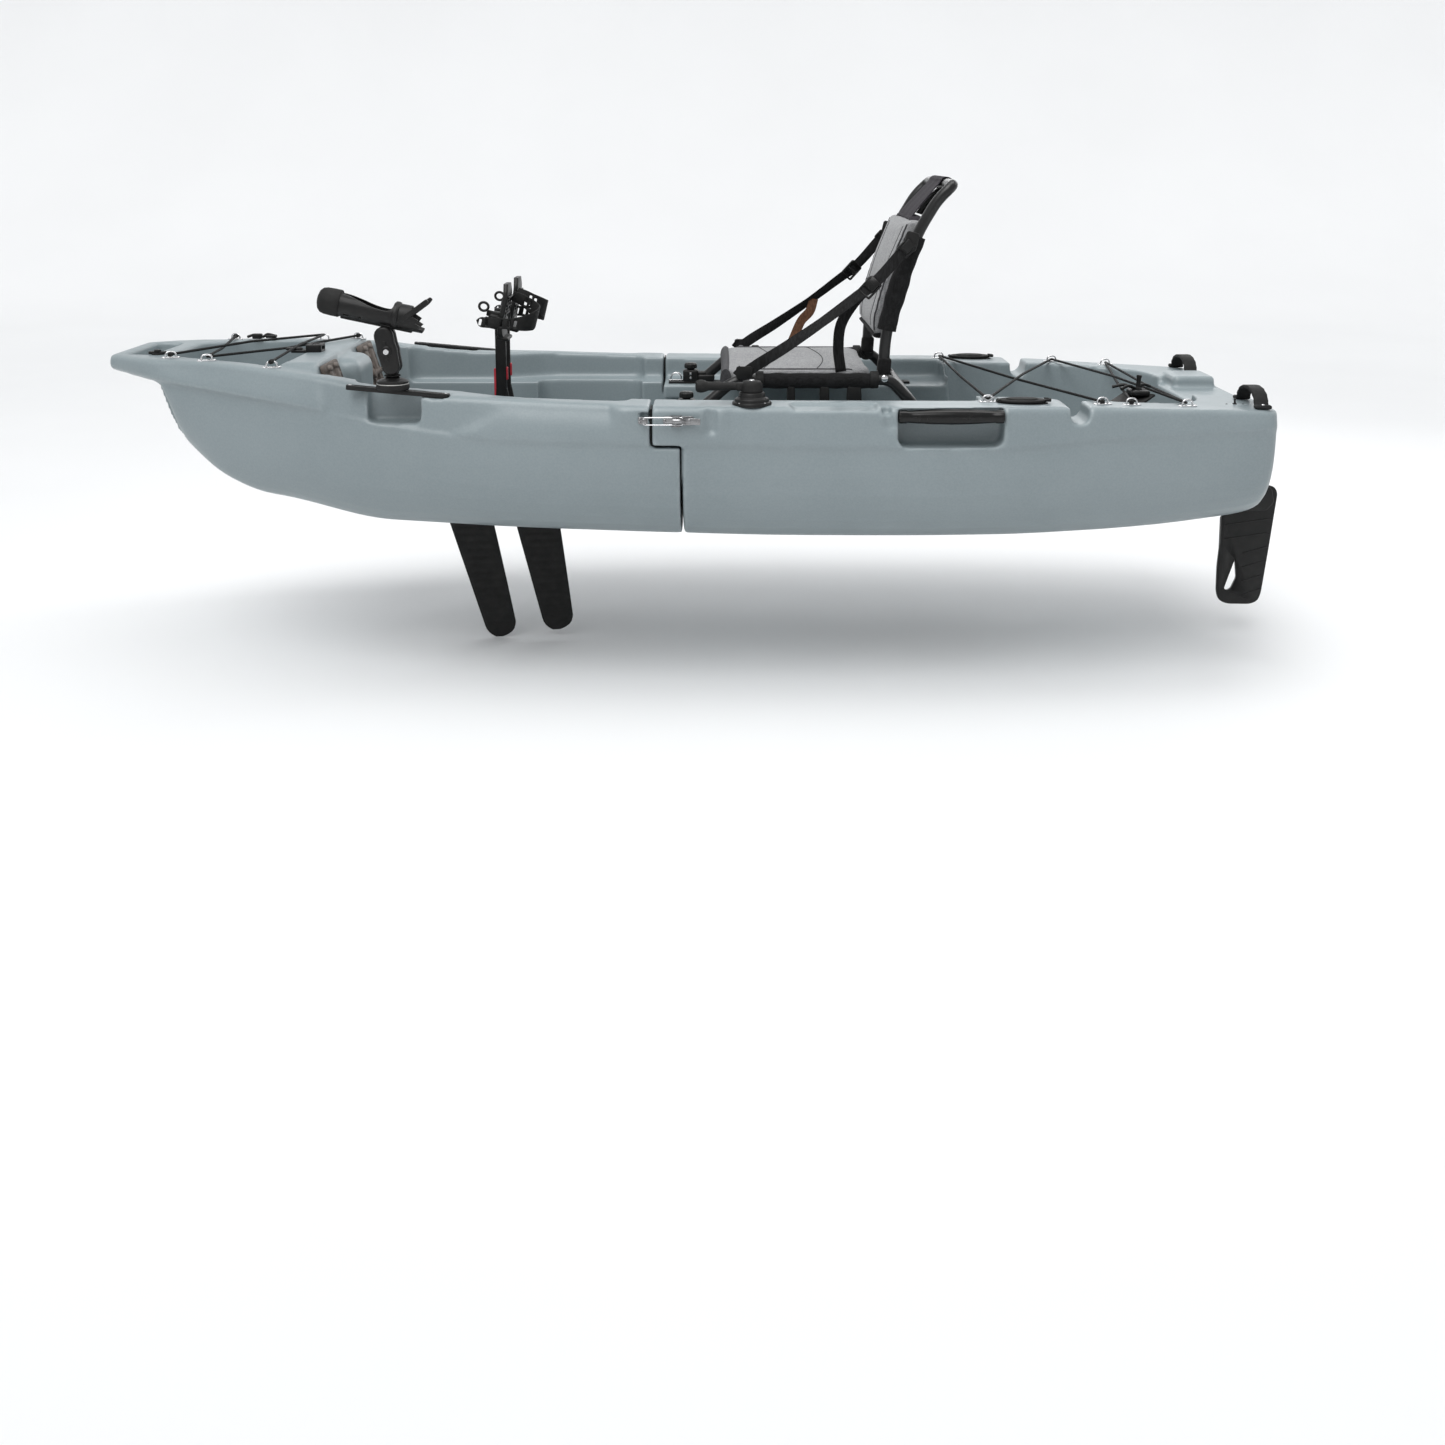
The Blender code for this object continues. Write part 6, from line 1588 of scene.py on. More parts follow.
def make_straps(side, word):
    """Webbing from the seat's front bolt to a ladder buckle, and on to the clip on the back tube."""
    y = side * 0.2640
    bolt, clasp, clip = Vector((0.046, y, 0.3600)), Vector((0.322, y, 0.552)), Vector((0.410, y, 0.649))
    points = [bolt + Vector((-0.012, 0, -0.008)), bolt + Vector((0.030, 0, 0.022)),
              bolt.lerp(clasp, 0.32) + Vector((0, side * 0.001, -0.003)),
              bolt.lerp(clasp, 0.62) + Vector((0, -side * 0.001, -0.004)), bolt.lerp(clasp, 0.90), clasp]
    facings = [(0, side, 0), (0, side, 0), (-0.25, side, 0.2), (-0.5, side, 0.7), (-0.3, side, 0.4),
               (-0.2, side, 0.3)]
    lower = strap_between(f"lower_strap_{word}", points, facings)
    span_fold(lower, "webbing", bolt, clasp, f"seat_strap_{word}")
    loop = strap_between(f"bolt_loop_{word}", [bolt + Vector((-0.016, -side * 0.002, 0.012)),
                                               bolt + Vector((-0.006, side * 0.001, 0.004)),
                                               bolt + Vector((0.010, side * 0.002, -0.006))],
                         [(0, side, 0)] * 2, 0.022, 0.0024)
    place(loop, "webbing", "seat")
    tab = plate(f"bolt_tab_{word}", round_outline(rectangle((0.030, 0.351), (0.066, 0.379)), 0.006),
                *sided(side, 0.2650, 0.2672), "XZ", bevel=0.0008)
    place(tab, "plastic", "seat")
    along = clip - clasp
    upper = strap_between(f"upper_strap_{word}", [clasp, clasp.lerp(clip, 0.35) + Vector((0, 0, -0.002)),
                                                  clasp.lerp(clip, 0.7), clip],
                          [(-0.2, side, 0.3), (-0.1, side, 0.1), (0, side, 0)])
    place(upper, "webbing", "backrest", f"back_strap_{word}")
    place(buckle(f"ladder_buckle_{word}", clasp, along, (-0.2, side, 0.3)), "gloss", "backrest")
    top = buckle(f"top_slider_{word}", clip + along.normalized() * -0.020, along, (0, side, 0), 0.031, 0.026)
    place(top, "plastic", "backrest")
    hook = plate(f"tube_clip_{word}", round_outline([(0.392, 0.636), (0.420, 0.629), (0.429, 0.668),
                                                     (0.401, 0.676)], 0.007),
                 *sided(side, 0.2618, 0.2660), "XZ", bevel=0.0014)
    place(hook, "plastic", "backrest")
    head = lathe(f"tube_clip_bolt_{word}", [(0, 0.0), (0.0048, 0.0), (0.0048, 0.0360), (0.0080, 0.0360),
                                            (0.0078, 0.0385), (0.0055, 0.0405), (0, 0.0412)],
                 (0.411, side * (BACK_TUBE_Y + 0.010), 0.649), (0, side, 0), 28)
    place(head, "chrome", "backrest")
    if side < 0:
        tail = [clasp + Vector((0.004, 0.004, 0.006)), clasp + Vector((-0.030, 0.010, -0.030)),
                Vector((0.262, -0.240, 0.470)), Vector((0.257, -0.228, 0.415)),
                Vector((0.262, -0.224, 0.374)),
                Vector((0.264, -0.221, 0.3615))]
        facings = [(-0.3, -1, 0.3), (-0.4, -1, 0.2), (-0.25, -1, 0), (-0.15, -1, 0), (0, -1, 0.1),
                   (0, -1, 0.2)]
    else:
        start = bolt.lerp(clasp, 0.66) + Vector((0, -0.004, -0.006))
        tail = [start, start + Vector((-0.010, -0.010, -0.030)), Vector((0.196, 0.248, 0.425)),
                Vector((0.176, 0.238, 0.380)), Vector((0.166, 0.228, 0.3605))]
        facings = [(-0.4, -1, 0.2), (-0.3, -1, 0.1), (-0.5, -1, 0.1), (-0.3, -1, 0.1), (-0.2, -1, 0.2)]
    tail = strap_between(f"strap_tail_{word}", tail, facings, 0.024, 0.0015)
    # The far tail takes the painted warm-light copy of the black webbing.
    span_fold(tail, "webbing" if side < 0 else "painted_sunlit_webbing", (0.25, side * 0.22, 0.37),
              clasp + Vector((-0.04, 0, -0.05)))


# Steering

def make_steering():
    z = 0.318
    base = lathe("steering_pod", [(0, 0.028), (0.0235, 0.028), (0.0262, 0.0270), (0.0275, 0.0250),
                                  (0.0285, 0.0175), (0.0305, 0.0160), (0.0350, 0.0145), (0.0362, 0.0130),
                                  (0.0368, 0.0085), (0.0405, 0.0070), (0.0418, 0.0050), (0.0420, 0.0018),
                                  (0.0405, -0.001), (0, -0.001)], (STEER_X, -STEER_Y, z), segments=64)
    place(base, "plastic", "hull", "steering_base")
    for number, angle in enumerate(np.radians([45, 135, 225, 315])):
        spot = (STEER_X + 0.0375 * math.cos(angle), -STEER_Y + 0.0375 * math.sin(angle), z + 0.0070)
        place(screw(f"steering_screw_{number}", spot, (0, 0, 1), 0.0028, 0.0012), "steel", "hull")
    hub = lathe("steering_hub", [(0, 0.052), (0.0130, 0.052), (0.0185, 0.0500), (0.0215, 0.0465),
                                 (0.0228, 0.0400), (0.0228, 0.0290), (0.0215, 0.0284), (0, 0.0284)],
                (STEER_X, -STEER_Y, z), segments=56)
    grip = lathe("steering_grip", [(0, 0.0), (0.0078, 0.0), (0.0082, 0.030), (0.0088, 0.060), (0.0094, 0.092),
                                   (0.0118, 0.0975), (0.0136, 0.104), (0.0138, 0.109), (0.0125, 0.1150),
                                   (0.0090, 0.1185), (0, 0.1195)], (STEER_X, -STEER_Y, 0.3575), (-1, 0, 0),
                                   36)
    web = block("steering_web", (STEER_X - 0.034, -STEER_Y - 0.0095, 0.3485),
                (STEER_X, -STEER_Y + 0.0095, 0.3655),
                0.004)
    place(merged("steering_grip", [hub, grip, web]), "matt", "steering_lever", "steering_handle")
    place(screw("steering_bolt", (STEER_X, -STEER_Y, z + 0.0515), (0, 0, 1), 0.0062, 0.0026), "steel",
          "steering_lever")


# Grips, caps and stern deck

def make_grip(side, word):
    """A soft carry grip on a bolted bar, with an oval pad moulded on its outer face."""
    x0, x1, y, z = 0.3695, 0.5915, side * 0.452, 0.2965
    bar = lathe(f"grip_bar_{word}", [(0, 0.0), (0.0125, 0.0), (0.0140, 0.0015), (0.0140, 0.016),
                                     (0.0128, 0.019),
                                     (0.0135, 0.030), (0.0158, 0.070), (0.0164, 0.111), (0.0158, 0.152),
                                     (0.0135, 0.192), (0.0128, 0.203), (0.0140, 0.206), (0.0140, 0.2205),
                                     (0.0125, 0.222), (0, 0.222)], (x0, y, z), (1, 0, 0), 40)
    oval = [(x1 / 2 + x0 / 2 + 0.040 * math.cos(a),
             z + 0.0068 * math.sin(a)) for a in np.arange(32) * math.pi / 16]
    pad = plate(f"grip_oval_{word}", oval, *sided(side, 0.4600, 0.4662), "XZ", bevel=0.0010)
    hollow = [(x1 / 2 + x0 / 2 + 0.036 * math.cos(a),
               z + 0.0046 * math.sin(a)) for a in np.arange(32) * math.pi / 16]
    cut(pad, plate("hollow", hollow, *sided(side, 0.4655, 0.4700), "XZ"))
    place(merged(f"grip_bar_{word}", [bar, pad]), "gloss", "hull", f"side_handle_{word}")


def make_stern_handle(side, word):
    """A ribbed strap handle arched between two screwed feet."""
    middle, deck = side * 0.275, 0.2972
    arc = [Vector((1.167, middle + 0.061 * math.cos(a), deck + 0.004 + 0.0335 * math.sin(a) ** 0.8))
           for a in np.linspace(0, math.pi, 25)]
    path = ([Vector((1.167, middle + 0.080, deck + 0.0030)), Vector((1.167, middle + 0.068, deck + 0.0032))]
            + arc[1:-1] + [Vector((1.167, middle - 0.068, deck + 0.0032)),
                           Vector((1.167, middle - 0.080, deck + 0.0030))])
    out = [Vector((0, 0, 1))] * 2 + [Vector((0, math.cos(a), math.sin(a) + 0.3)) for a in
                                     np.linspace(0, math.pi, 25)[1:-1]] + [Vector((0, 0, 1))] * 2
    profile = round_outline(rectangle((-0.0155, -0.0038), (0.0155, 0.0038)), 0.0032, 4)
    scale = [1 + 0.035 * math.cos(1.9 * k) for k in range(len(path))]
    band = sweep(f"stern_grip_{word}", path, profile, facing=out, scale=scale)
    pieces = [band]
    for end in (-1, 1):
        spot = middle + end * 0.074
        pieces.append(block(f"grip_foot_{word}_{end}", (1.1490, spot - 0.0095, deck),
                            (1.1850, spot + 0.0095, deck + 0.0085),
                            0.0035, 3))
    place(merged(f"stern_grip_{word}", pieces), "rubber", "hull", f"stern_handle_{word}")
    heads = [screw(f"grip_screw_{word}_{end}", (1.167, middle + end * 0.074, deck + 0.0084), (0, 0, 1),
                   0.0042, 0.0020)
             for end in (-1, 1)]
    place(merged(f"stern_grip_screws_{word}", heads), "chrome", "hull")


def make_socket_cap(side, word):
    """The rod socket's flange, and its hinged rubber lid with a pull loop."""
    x, y, z = SOCKET_X + 0.010, side * SOCKET_Y, 0.3178

    def oval(a, b, steps=48):
        return [(x + a * math.cos(t), y + b * math.sin(t)) for t in np.arange(steps) * 2 * math.pi / steps]
    flange = plate(f"socket_flange_{word}", oval(0.0555, 0.0335), z - 0.0075, z - 0.0006, bevel=0.0016)
    cut(flange, rod("bore", (SOCKET_X, y, 0.36), (SOCKET_X + 0.05, y, 0.19), 0.0225))
    place(flange, "plastic", "hull")
    lid = plate(f"socket_lid_{word}", oval(0.0515, 0.0305), z, z + 0.0066, bevel=0.0026, segments=4)
    unite(lid, [plate("lid_rise", oval(0.034, 0.020), z + 0.005, z + 0.0088, bevel=0.0016)])
    hinge = rod(f"lid_hinge_{word}", (x - 0.050, y - 0.012, z + 0.0030), (x - 0.050, y + 0.012, z + 0.0030),
                0.0036)
    loop = sweep(f"lid_loop_{word}", [Vector((x + 0.048 + 0.012 * math.cos(a), y + 0.012 * math.sin(a),
                                              z + 0.0055))
                                     for a in np.linspace(-1.5, 1.5, 14)],
                 circle(0.0028, 10), facing=(0, 0, 1))
    tab = block(f"lid_tab_{word}", (x + 0.040, y - 0.006, z + 0.001), (x + 0.062, y + 0.006, z + 0.0065),
                0.002)
    place(merged(f"socket_lid_{word}", [lid, hinge, loop, tab]), "rubber", f"socket_cap_{word}",
          f"socket_cap_{word}")


def make_stern_fittings():
    """The mat with its clip under the cords, and the small plate with a pin on the port quarter."""
    spine = smooth_path([(0.812, -0.262, 0.262), (0.862, -0.228, 0.272), (0.910, -0.190, 0.286),
                         (0.950, -0.158, 0.303)], 6)
    mat = sweep("deck_mat", spine, flat(0.082, 0.006), facing=(0, 0, 1))
    place(mat, "tread", "hull")
    clip = block("mat_clip", (0.920, -0.200, 0.302), (0.962, -0.145, 0.3145), 0.004)
    post = lathe("mat_post", [(0, 0.0), (0.010, 0.0), (0.0105, 0.004), (0.0055, 0.007), (0.0048, 0.026),
                              (0.0062, 0.030), (0.0060, 0.034), (0, 0.0345)], (0.941, -0.167, 0.312),
                              (0.1, 0.1, 1), 24)
    wings = [tube(f"mat_wing_{k}", smooth_path([(0.937, -0.171, 0.315),
                                                (0.937 + dx * 0.5, -0.171 + dy * 0.5, 0.324),
                                                (0.937 + dx, -0.171 + dy, 0.318)], 5), 0.0036, 10)
             for k, (dx, dy) in enumerate(((-0.052, 0.012), (-0.040, -0.024), (0.036, 0.022)))]
    place(merged("mat_clip", [clip, post, *wings]), "plastic", "hull")
    patch = plate("pin_plate", round_outline(rectangle((1.098, -0.3035), (1.150, -0.2795)), 0.008), 0.2955,
                  0.2988,
                  bevel=0.0008)
    place(patch, "hull", "hull")
    pin = lathe("deck_pin", [(0, 0.0135), (0.0018, 0.0135), (0.0022, 0.0120), (0.0022, 0.0030),
                             (0.0050, 0.0020),
                             (0.0050, 0.0), (0, 0.0)], (1.124, -0.2915, 0.2985))
    heads = [screw(f"pin_screw_{x}", (x, -0.2915, 0.2986), (0, 0, 1), 0.0028, 0.0012) for x in (1.106, 1.142)]
    place(merged("deck_pin", [pin, *heads]), "plastic", "hull")


def make_bungees():
    """Elastic cords laced between the pad eyes; one run passes over the other."""
    def laced(name, node, eyes, lifts):
        corners = [Vector(eyes[0])]
        for first, second, lift in zip(eyes, eyes[1:], lifts):
            corners += [(Vector(first) + Vector(second)) / 2 + Vector((0, 0, lift)), Vector(second)]
        path = turned_corners(corners, 0.012, 4)
        cord = tube(name, path, 0.0030, 12)
        ends = [lathe(f"{name}_end_{k}", [(0, -0.007), (0.0045, -0.0065), (0.0055, -0.002), (0.0055, 0.002),
                                          (0.0045, 0.0065), (0, 0.007)], spot, (0.3, 1, 0.1), 16)
                for k, spot in enumerate((eyes[0], eyes[-1]))]
        place(cord, "cord", "hull", node)
        place(merged(f"{name}_knots", ends), "cord", "hull")
    laced("bow_cord", "front_bungee",
          [(-1.245, -0.170, 0.394), (-1.000, 0.262, 0.391), (-0.990, -0.274, 0.3905)], (0.006, 0.006))
    laced("bow_cord_cross", "front_bungee_cross",
          [(-1.205, 0.200, 0.394), (-1.150, -0.216, 0.394), (-0.905, 0.215, 0.394)], (-0.006, -0.006))
    laced("stern_cord", "rear_bungee",
          [(0.815, -0.372, 0.3165), (0.560, 0.378, 0.3235), (0.568, -0.378, 0.3235),
           (0.850, 0.368, 0.3155), (1.005, -0.345, 0.309), (0.985, 0.350, 0.310),
           (0.880, -0.362, 0.3145)],
          (-0.004, -0.004, 0.007, 0.007, -0.005, -0.005))


# Foot rests

def make_foot_rest(side, word):
    """A ribbed pad on the footwell's sloped fore wall, with a round button at the top of each rib."""
    lean = math.atan2(0.100, 0.450 - FLOOR_Z)
    wall = -0.815 - 0.100 * (0.205 - FLOOR_Z) / (0.450 - FLOOR_Z)
    pad = plate(f"rest_pad_{word}", round_outline([(-0.075, 0.0), (0.075, 0.0), (0.068, 0.165),
                                                   (-0.068, 0.165)], 0.010),
                0.0, 0.010, "YZ", bevel=0.003)
    cells = [block(f"rest_cell_{word}_{k}", (0.0088, y - 0.012, z - 0.006), (0.02, y + 0.012, z + 0.006),
                   0.002)
             for k, (y, z) in enumerate((y, z) for y in (0.0, -0.055, 0.055) for z in np.linspace(0.03, 0.14,
                     6))]
    cut(pad, *cells)
    ribs = []
    for y in (-0.028, 0.028):
        ribs.append(block(f"rest_rib_{word}_{y}", (0.006, y - 0.0065, 0.012), (0.0155, y + 0.0065, 0.148),
                          0.003, 3))
        ribs.append(lathe(f"rest_button_{word}_{y}", [(0, 0.0185), (0.0045, 0.0180), (0.0072, 0.0160),
                                                      (0.0078, 0.013), (0.0078, 0.006), (0, 0.006)],
                          (0, y, 0.152), (1, 0, 0), 28))
    where = Matrix.Translation((wall - 0.0030, side * 0.185, 0.218)) @ Matrix.Rotation(-lean, 4, "Y")
    # The pad's brown-grey is painted shade with a warm painted reflection, and the ribs take a lighter, lit
    # copy of it.
    place(moved(pad, where), "pad", "hull", f"foot_rest_{word}")
    place(moved(merged(f"rest_ribs_{word}", ribs), where), "lit_pad_rib", "hull")
    if side > 0:
        arm = block("rest_arm", (0.009, -0.045, 0.082), (0.0225, 0.050, 0.095), 0.005)
        end = lathe("rest_arm_end", [(0, 0.0), (0.0095, 0.0), (0.011, 0.002), (0.011, 0.014), (0.0095, 0.016),
                                     (0, 0.016)], (0.007, -0.047, 0.0885), (1, 0, 0), 28)
        # The arm takes the same painted shade.
        place(moved(merged("rest_arm", [arm, end]), where), "pad", "hull")


# Latches

def make_latch(side, word):
    """A toggle latch over the seam: keeper, bail, and a riveted lever on its base plate."""
    y, z = LATCH_Y, LATCH_Z
    strip = block(f"seam_strip_{word}", (SEAM_UPPER_X - 0.0012, *sided(side, 0.402, 0.462)[:1], 0.20),
                  (SEAM_UPPER_X + 0.0012, *sided(side, 0.402, 0.462)[1:], 0.314))
    place(strip, "matt", "hull")
    keeper = plate(f"keeper_plate_{word}", round_outline(rectangle((-0.1760, z - 0.0075),
                                                                   (-0.1560, z + 0.0075)), 0.0030),
                   *sided(side, y - 0.0045, y + 0.0012), "XZ", bevel=0.0005)
    hook = plate(f"keeper_hook_{word}", round_outline(rectangle((-0.1680, -0.0002 + y),
                                                                (-0.1578, y + 0.0105)), 0.002, 3)
                 if side > 0 else round_outline(rectangle((-0.1680, -y - 0.0105), (-0.1578, -y + 0.0002)),
                                                0.002, 3),
                 z - 0.0042, z + 0.0042, bevel=0.0006)
    rivets = [lathe(f"keeper_rivet_{word}_{k}", [(0, 0.0028), (0.0018, 0.0026), (0.0032, 0.0012),
                                                 (0.0034, 0), (0, 0)],
                    (-0.1722, side * (y + 0.0008), z + dz), (0, side, 0), 18) for k,
                    dz in enumerate((-0.0042, 0.0042))]
    place(merged(f"keeper_{word}", [keeper, hook, *rivets]), "latch", "hull", f"latch_keeper_{word}")
    base = plate(f"latch_plate_{word}", round_outline(rectangle((-0.1235, z - 0.0095),
                                                                (-0.0600, z + 0.0095)), 0.0045),
                 *sided(side, y - 0.0045, y + 0.0015), "XZ", bevel=0.0005)
    lugs = [plate(f"latch_lug_{word}_{dz}", round_outline([(-0.110, side * (y + 0.001)),
                                                           (-0.084, side * (y + 0.001)),
                                                           (-0.090, side * (y + 0.013)),
                                                           (-0.104, side * (y + 0.013))],
                                                          0.003, 3),
                  z + dz - 0.0007, z + dz + 0.0007) for dz in (-0.01075, 0.01075)]
    rivets = [lathe(f"base_rivet_{word}_{x}", [(0, 0.0032), (0.0020, 0.0029), (0.0035, 0.0014), (0.0037, 0),
                                               (0, 0)],
                    (x, side * (y + 0.001), z), (0, side, 0), 18) for x in (-0.121, -0.066)]
    place(merged(f"latch_plate_{word}", [base, *lugs, *rivets]), "latch", "hull", f"latch_base_{word}")
    axis = y + LATCH_STANDOFF
    outline = [(-0.1045, -0.0025), (-0.1045, 0.0030), (-0.096, 0.0042), (-0.066, 0.0040), (-0.058, 0.0048),
               (-0.051, 0.0082), (-0.0465, 0.0100), (-0.0455, 0.0084), (-0.051, 0.0060), (-0.058, 0.0022),
               (-0.074, 0.0012), (-0.078, -0.0025)]
    lever = plate(f"lever_{word}", [(x, side * (axis + dy)) for x, dy in outline], z - 0.0068, z + 0.0068,
                  bevel=0.0008)
    cut(lever, *[block(f"waist_{k}", (-0.150, *sided(side, axis - 0.02, axis + 0.02)[:1], z + dz - 0.0035),
                       (-0.078, *sided(side, axis - 0.02, axis + 0.02)[1:], z + dz + 0.0035)) for k, dz in
                 enumerate((-0.0085, 0.0085))])
    pins = [rod(f"lever_pin_{word}", (-0.098, side * axis, z - 0.0118), (-0.098, side * axis, z + 0.0118),
                0.0022),
            lathe(f"lever_dimple_{word}", [(0, 0.0014), (0.004, 0.0010), (0.0048, 0), (0, 0)],
                  (-0.070, side * (axis + 0.0040), z), (0, side, 0), 24)]
    place(merged(f"lever_{word}", [lever, *pins]), "latch", f"latch_lever_{word}", f"latch_lever_{word}")
    w = side * axis
    corners = [(-0.0835, w, z - 0.0052), (-0.0835, w, z - 0.0078), (-0.1655, w, z - 0.0078),
               (-0.1655, w, z + 0.0078),
               (-0.0835, w, z + 0.0078), (-0.0835, w, z + 0.0052)]
    place(tube(f"bail_wire_{word}", turned_corners(corners, 0.006, 6), 0.0013, 12), "chrome",
          f"latch_bail_{word}",
          f"latch_bail_{word}")


# Rudder

def make_rudder():
    bracket = block("rudder_mount", (1.1725, -0.0235, 0.075), (1.214, 0.0235, 0.150), 0.004, 3)
    lug = block("rudder_lug", (1.205, -0.0125, 0.080), (1.240, 0.0125, 0.145), 0.005, 3)
    pin = lathe("rudder_pin", [(0, 0.0), (0.0060, 0.0), (0.0060, 0.086), (0.0095, 0.0865), (0.0095, 0.0905),
                               (0.0060, 0.0920), (0, 0.0920)], (1.226, 0, 0.0665))
    place(merged("rudder_mount", [bracket, lug, pin]), "plastic", "hull", "rudder_bracket")
    for number, (y, z) in enumerate(((-0.017, 0.088), (0.017, 0.088), (-0.017, 0.137), (0.017, 0.137))):
        place(screw(f"rudder_mount_screw_{number}", (1.2138, y, z), (1, 0, 0), 0.0036, 0.0018), "steel",
              "hull")
    cheeks = plate("rudder_cheeks", round_outline([(1.212, 0.006), (1.222, -0.002), (1.300, -0.002),
                                                   (1.318, 0.018),
                                                   (1.312, 0.052), (1.292, 0.064), (1.212, 0.064)], 0.008),
                   -0.0175, 0.0175, "XZ", bevel=0.0035, segments=3)
    cut(cheeks, block("slit", (1.228, -0.0075, -0.06), (1.40, 0.0075, 0.20)), rod("bore", (1.226, 0, 0.05),
        (1.226, 0, 0.20), 0.0068))
    place(cheeks, "plastic", "rudder_head", "rudder_head")
    for side, word in SIDES:
        bolt = lathe(f"rudder_bolt_{word}", [(0, 0.0), (0.0105, 0.0), (0.0110, 0.0025), (0.0072, 0.0030),
                                             (0.0070, 0.0062), (0.0050, 0.0070), (0, 0.0070)],
                     (1.268, side * 0.0172, 0.022), (0, side, 0), 28)
        place(bolt, "steel", "rudder_head")
        arm = plate(f"rudder_tiller_{word}", round_outline([(1.214, side * 0.012), (1.240, side * 0.012),
                                                            (1.236, side * 0.046), (1.222, side * 0.046)],
                                                            0.004),
                    0.052, 0.057, bevel=0.0012)
        place(arm, "plastic", "rudder_head")
        eye = lathe(f"tiller_eye_{word}", [(0.0022, 0.0), (0.0045, 0.0), (0.0045, 0.0075), (0.0022, 0.0075)],
                    (1.229, side * 0.040, 0.0508), (0, 0, 1), 20)
        place(eye, "steel", "rudder_head")
    x, z = 1.268, 0.022
    crown = [(x + 0.0365 * math.cos(a), z + 0.0365 * math.sin(a)) for a in np.radians([100, 120, 140, 160,
            180, 200, 215])]
    outline = crown + [(1.197, -0.014), (1.198, -0.080), (1.194, -0.140), (1.195, -0.205), (1.202, -0.226),
                       (1.222, -0.2345), (1.278, -0.2352), (1.296, -0.2275), (1.303, -0.208), (1.315, -0.100),
                       (1.325, 0.000), (1.329, 0.040), (1.321, 0.055), (1.300, 0.0590)]
    slot = round_outline([(1.236, -0.120), (1.212, -0.196), (1.220, -0.202), (1.230, -0.198),
                          (1.242, -0.170)], 0.006)
    blade = plate("rudder_foil", round_outline(outline, 0.010, 3), -0.0062, 0.0062, "XZ", bevel=0.0030,
                  segments=4)
    cut(blade, plate("slot", slot, -0.05, 0.05, "XZ"))
    ribs = []
    for side in (-1, 1):
        for k, low in enumerate((-0.215, -0.180, -0.145, -0.110, -0.075, -0.040)):
            ribs.append(plate(f"blade_rib_{side}_{k}", [(1.252 if low < -0.10 else 1.206, low),
                                                        (1.300 + 0.10 * (low + 0.2), low + 0.016),
                                                        (1.300 + 0.10 * (low + 0.2), low + 0.0195),
                                                        (1.252 if low < -0.10 else 1.206, low + 0.0035)],
                              *sided(side, 0.0055, 0.0074), "XZ", bevel=0.0006))
    boss = lathe("blade_boss", [(0, -0.0072), (0.020, -0.0072), (0.020, 0.0072), (0, 0.0072)], (x, 0, z),
                 (0, 1, 0), 40)
    rim = plate("blade_rim", round_outline([(1.197, -0.02), (1.2045, -0.02), (1.2045, -0.20),
                                            (1.199, -0.21)], 0.003, 3),
                -0.0072, 0.0072, "XZ", bevel=0.0025)
    place(merged("rudder_foil", [blade, boss, rim, *ribs]), "plastic", "rudder_blade", "rudder_blade")


# Underside

def make_sensor_cover():
    """The transducer bay's cover: a flanged tray with vents, an inner lid and screws."""
    cover = plate("bay_cover", SENSOR_OUTLINE, 0.0042, 0.0195, bevel=0.003, segments=3)
    inner = round_outline([(0.262, -0.036), (0.278, -0.060), (0.305, -0.070), (0.622, -0.070), (0.622, 0.070),
                           (0.305, 0.070), (0.278, 0.060), (0.262, 0.036)], 0.008)
    unite(cover, [plate("tray", inner, 0.0005, 0.012, bevel=0.003, segments=3)])
    vents = [plate(f"vent_{x}_{y}_{k}", round_outline([(x + k, y), (x + 0.026 + k, y),
                                                       (x + 0.030 + k, y + 0.0042),
                                                       (x + 0.004 + k, y + 0.0042)], 0.0012, 2), -0.02, 0.030)
             for x in (0.395, 0.518) for y in (-0.036, -0.028, -0.006, 0.002, 0.024, 0.032) for k in (0.0,)]
    slits = [plate(f"slit_{x}_{side}", round_outline(rectangle((x, side * 0.0885 - 0.0016),
                                                               (x + 0.016, side * 0.0885 + 0.0016)),
                                                     0.0014, 2), -0.02, 0.030)
             for x in (0.330, 0.376, 0.460, 0.604) for side in (-1, 1)]
    hole = plate("oval",
                 [(0.452 + 0.016 * math.cos(a), 0.008 * math.sin(a)) for a in np.arange(24) * math.pi / 12],
                 -0.02, 0.030)
    groove = round_outline([(0.276, -0.022), (0.292, -0.036), (0.376, -0.036), (0.376, 0.036), (0.292, 0.036),
                            (0.276, 0.022)], 0.006)
    inset = round_outline([(0.279, -0.0205), (0.2935, -0.0330), (0.373, -0.0330), (0.373, 0.0330),
                           (0.2935, 0.0330), (0.279, 0.0205)], 0.005)
    cut(cover, *vents, *slits, hole, plate("groove", groove, -0.02, 0.0024))
    unite(cover, [plate("lid", inset, 0.0008, 0.006, bevel=0.0012)])
    place(cover, "plastic", "hull", "sensor_cover")
    backing = plate("bay_floor", SENSOR_OUTLINE, 0.0198, 0.0226)
    place(backing, "matt", "hull")
    spots = [(0.243, 0.0), (0.300, -0.086), (0.300, 0.086), (0.565, -0.086), (0.565, 0.086), (0.288, -0.027),
             (0.288, 0.027)]
    heads = [screw(f"bay_screw_{k}", (x, y, 0.0042 if abs(y) > 0.04 or x < 0.25 else 0.0008), (0, 0, -1),
                   0.0042,
                   0.0014) for k, (x, y) in enumerate(spots)]
    place(merged("bay_screws", heads), "chrome", "hull")


# Scene

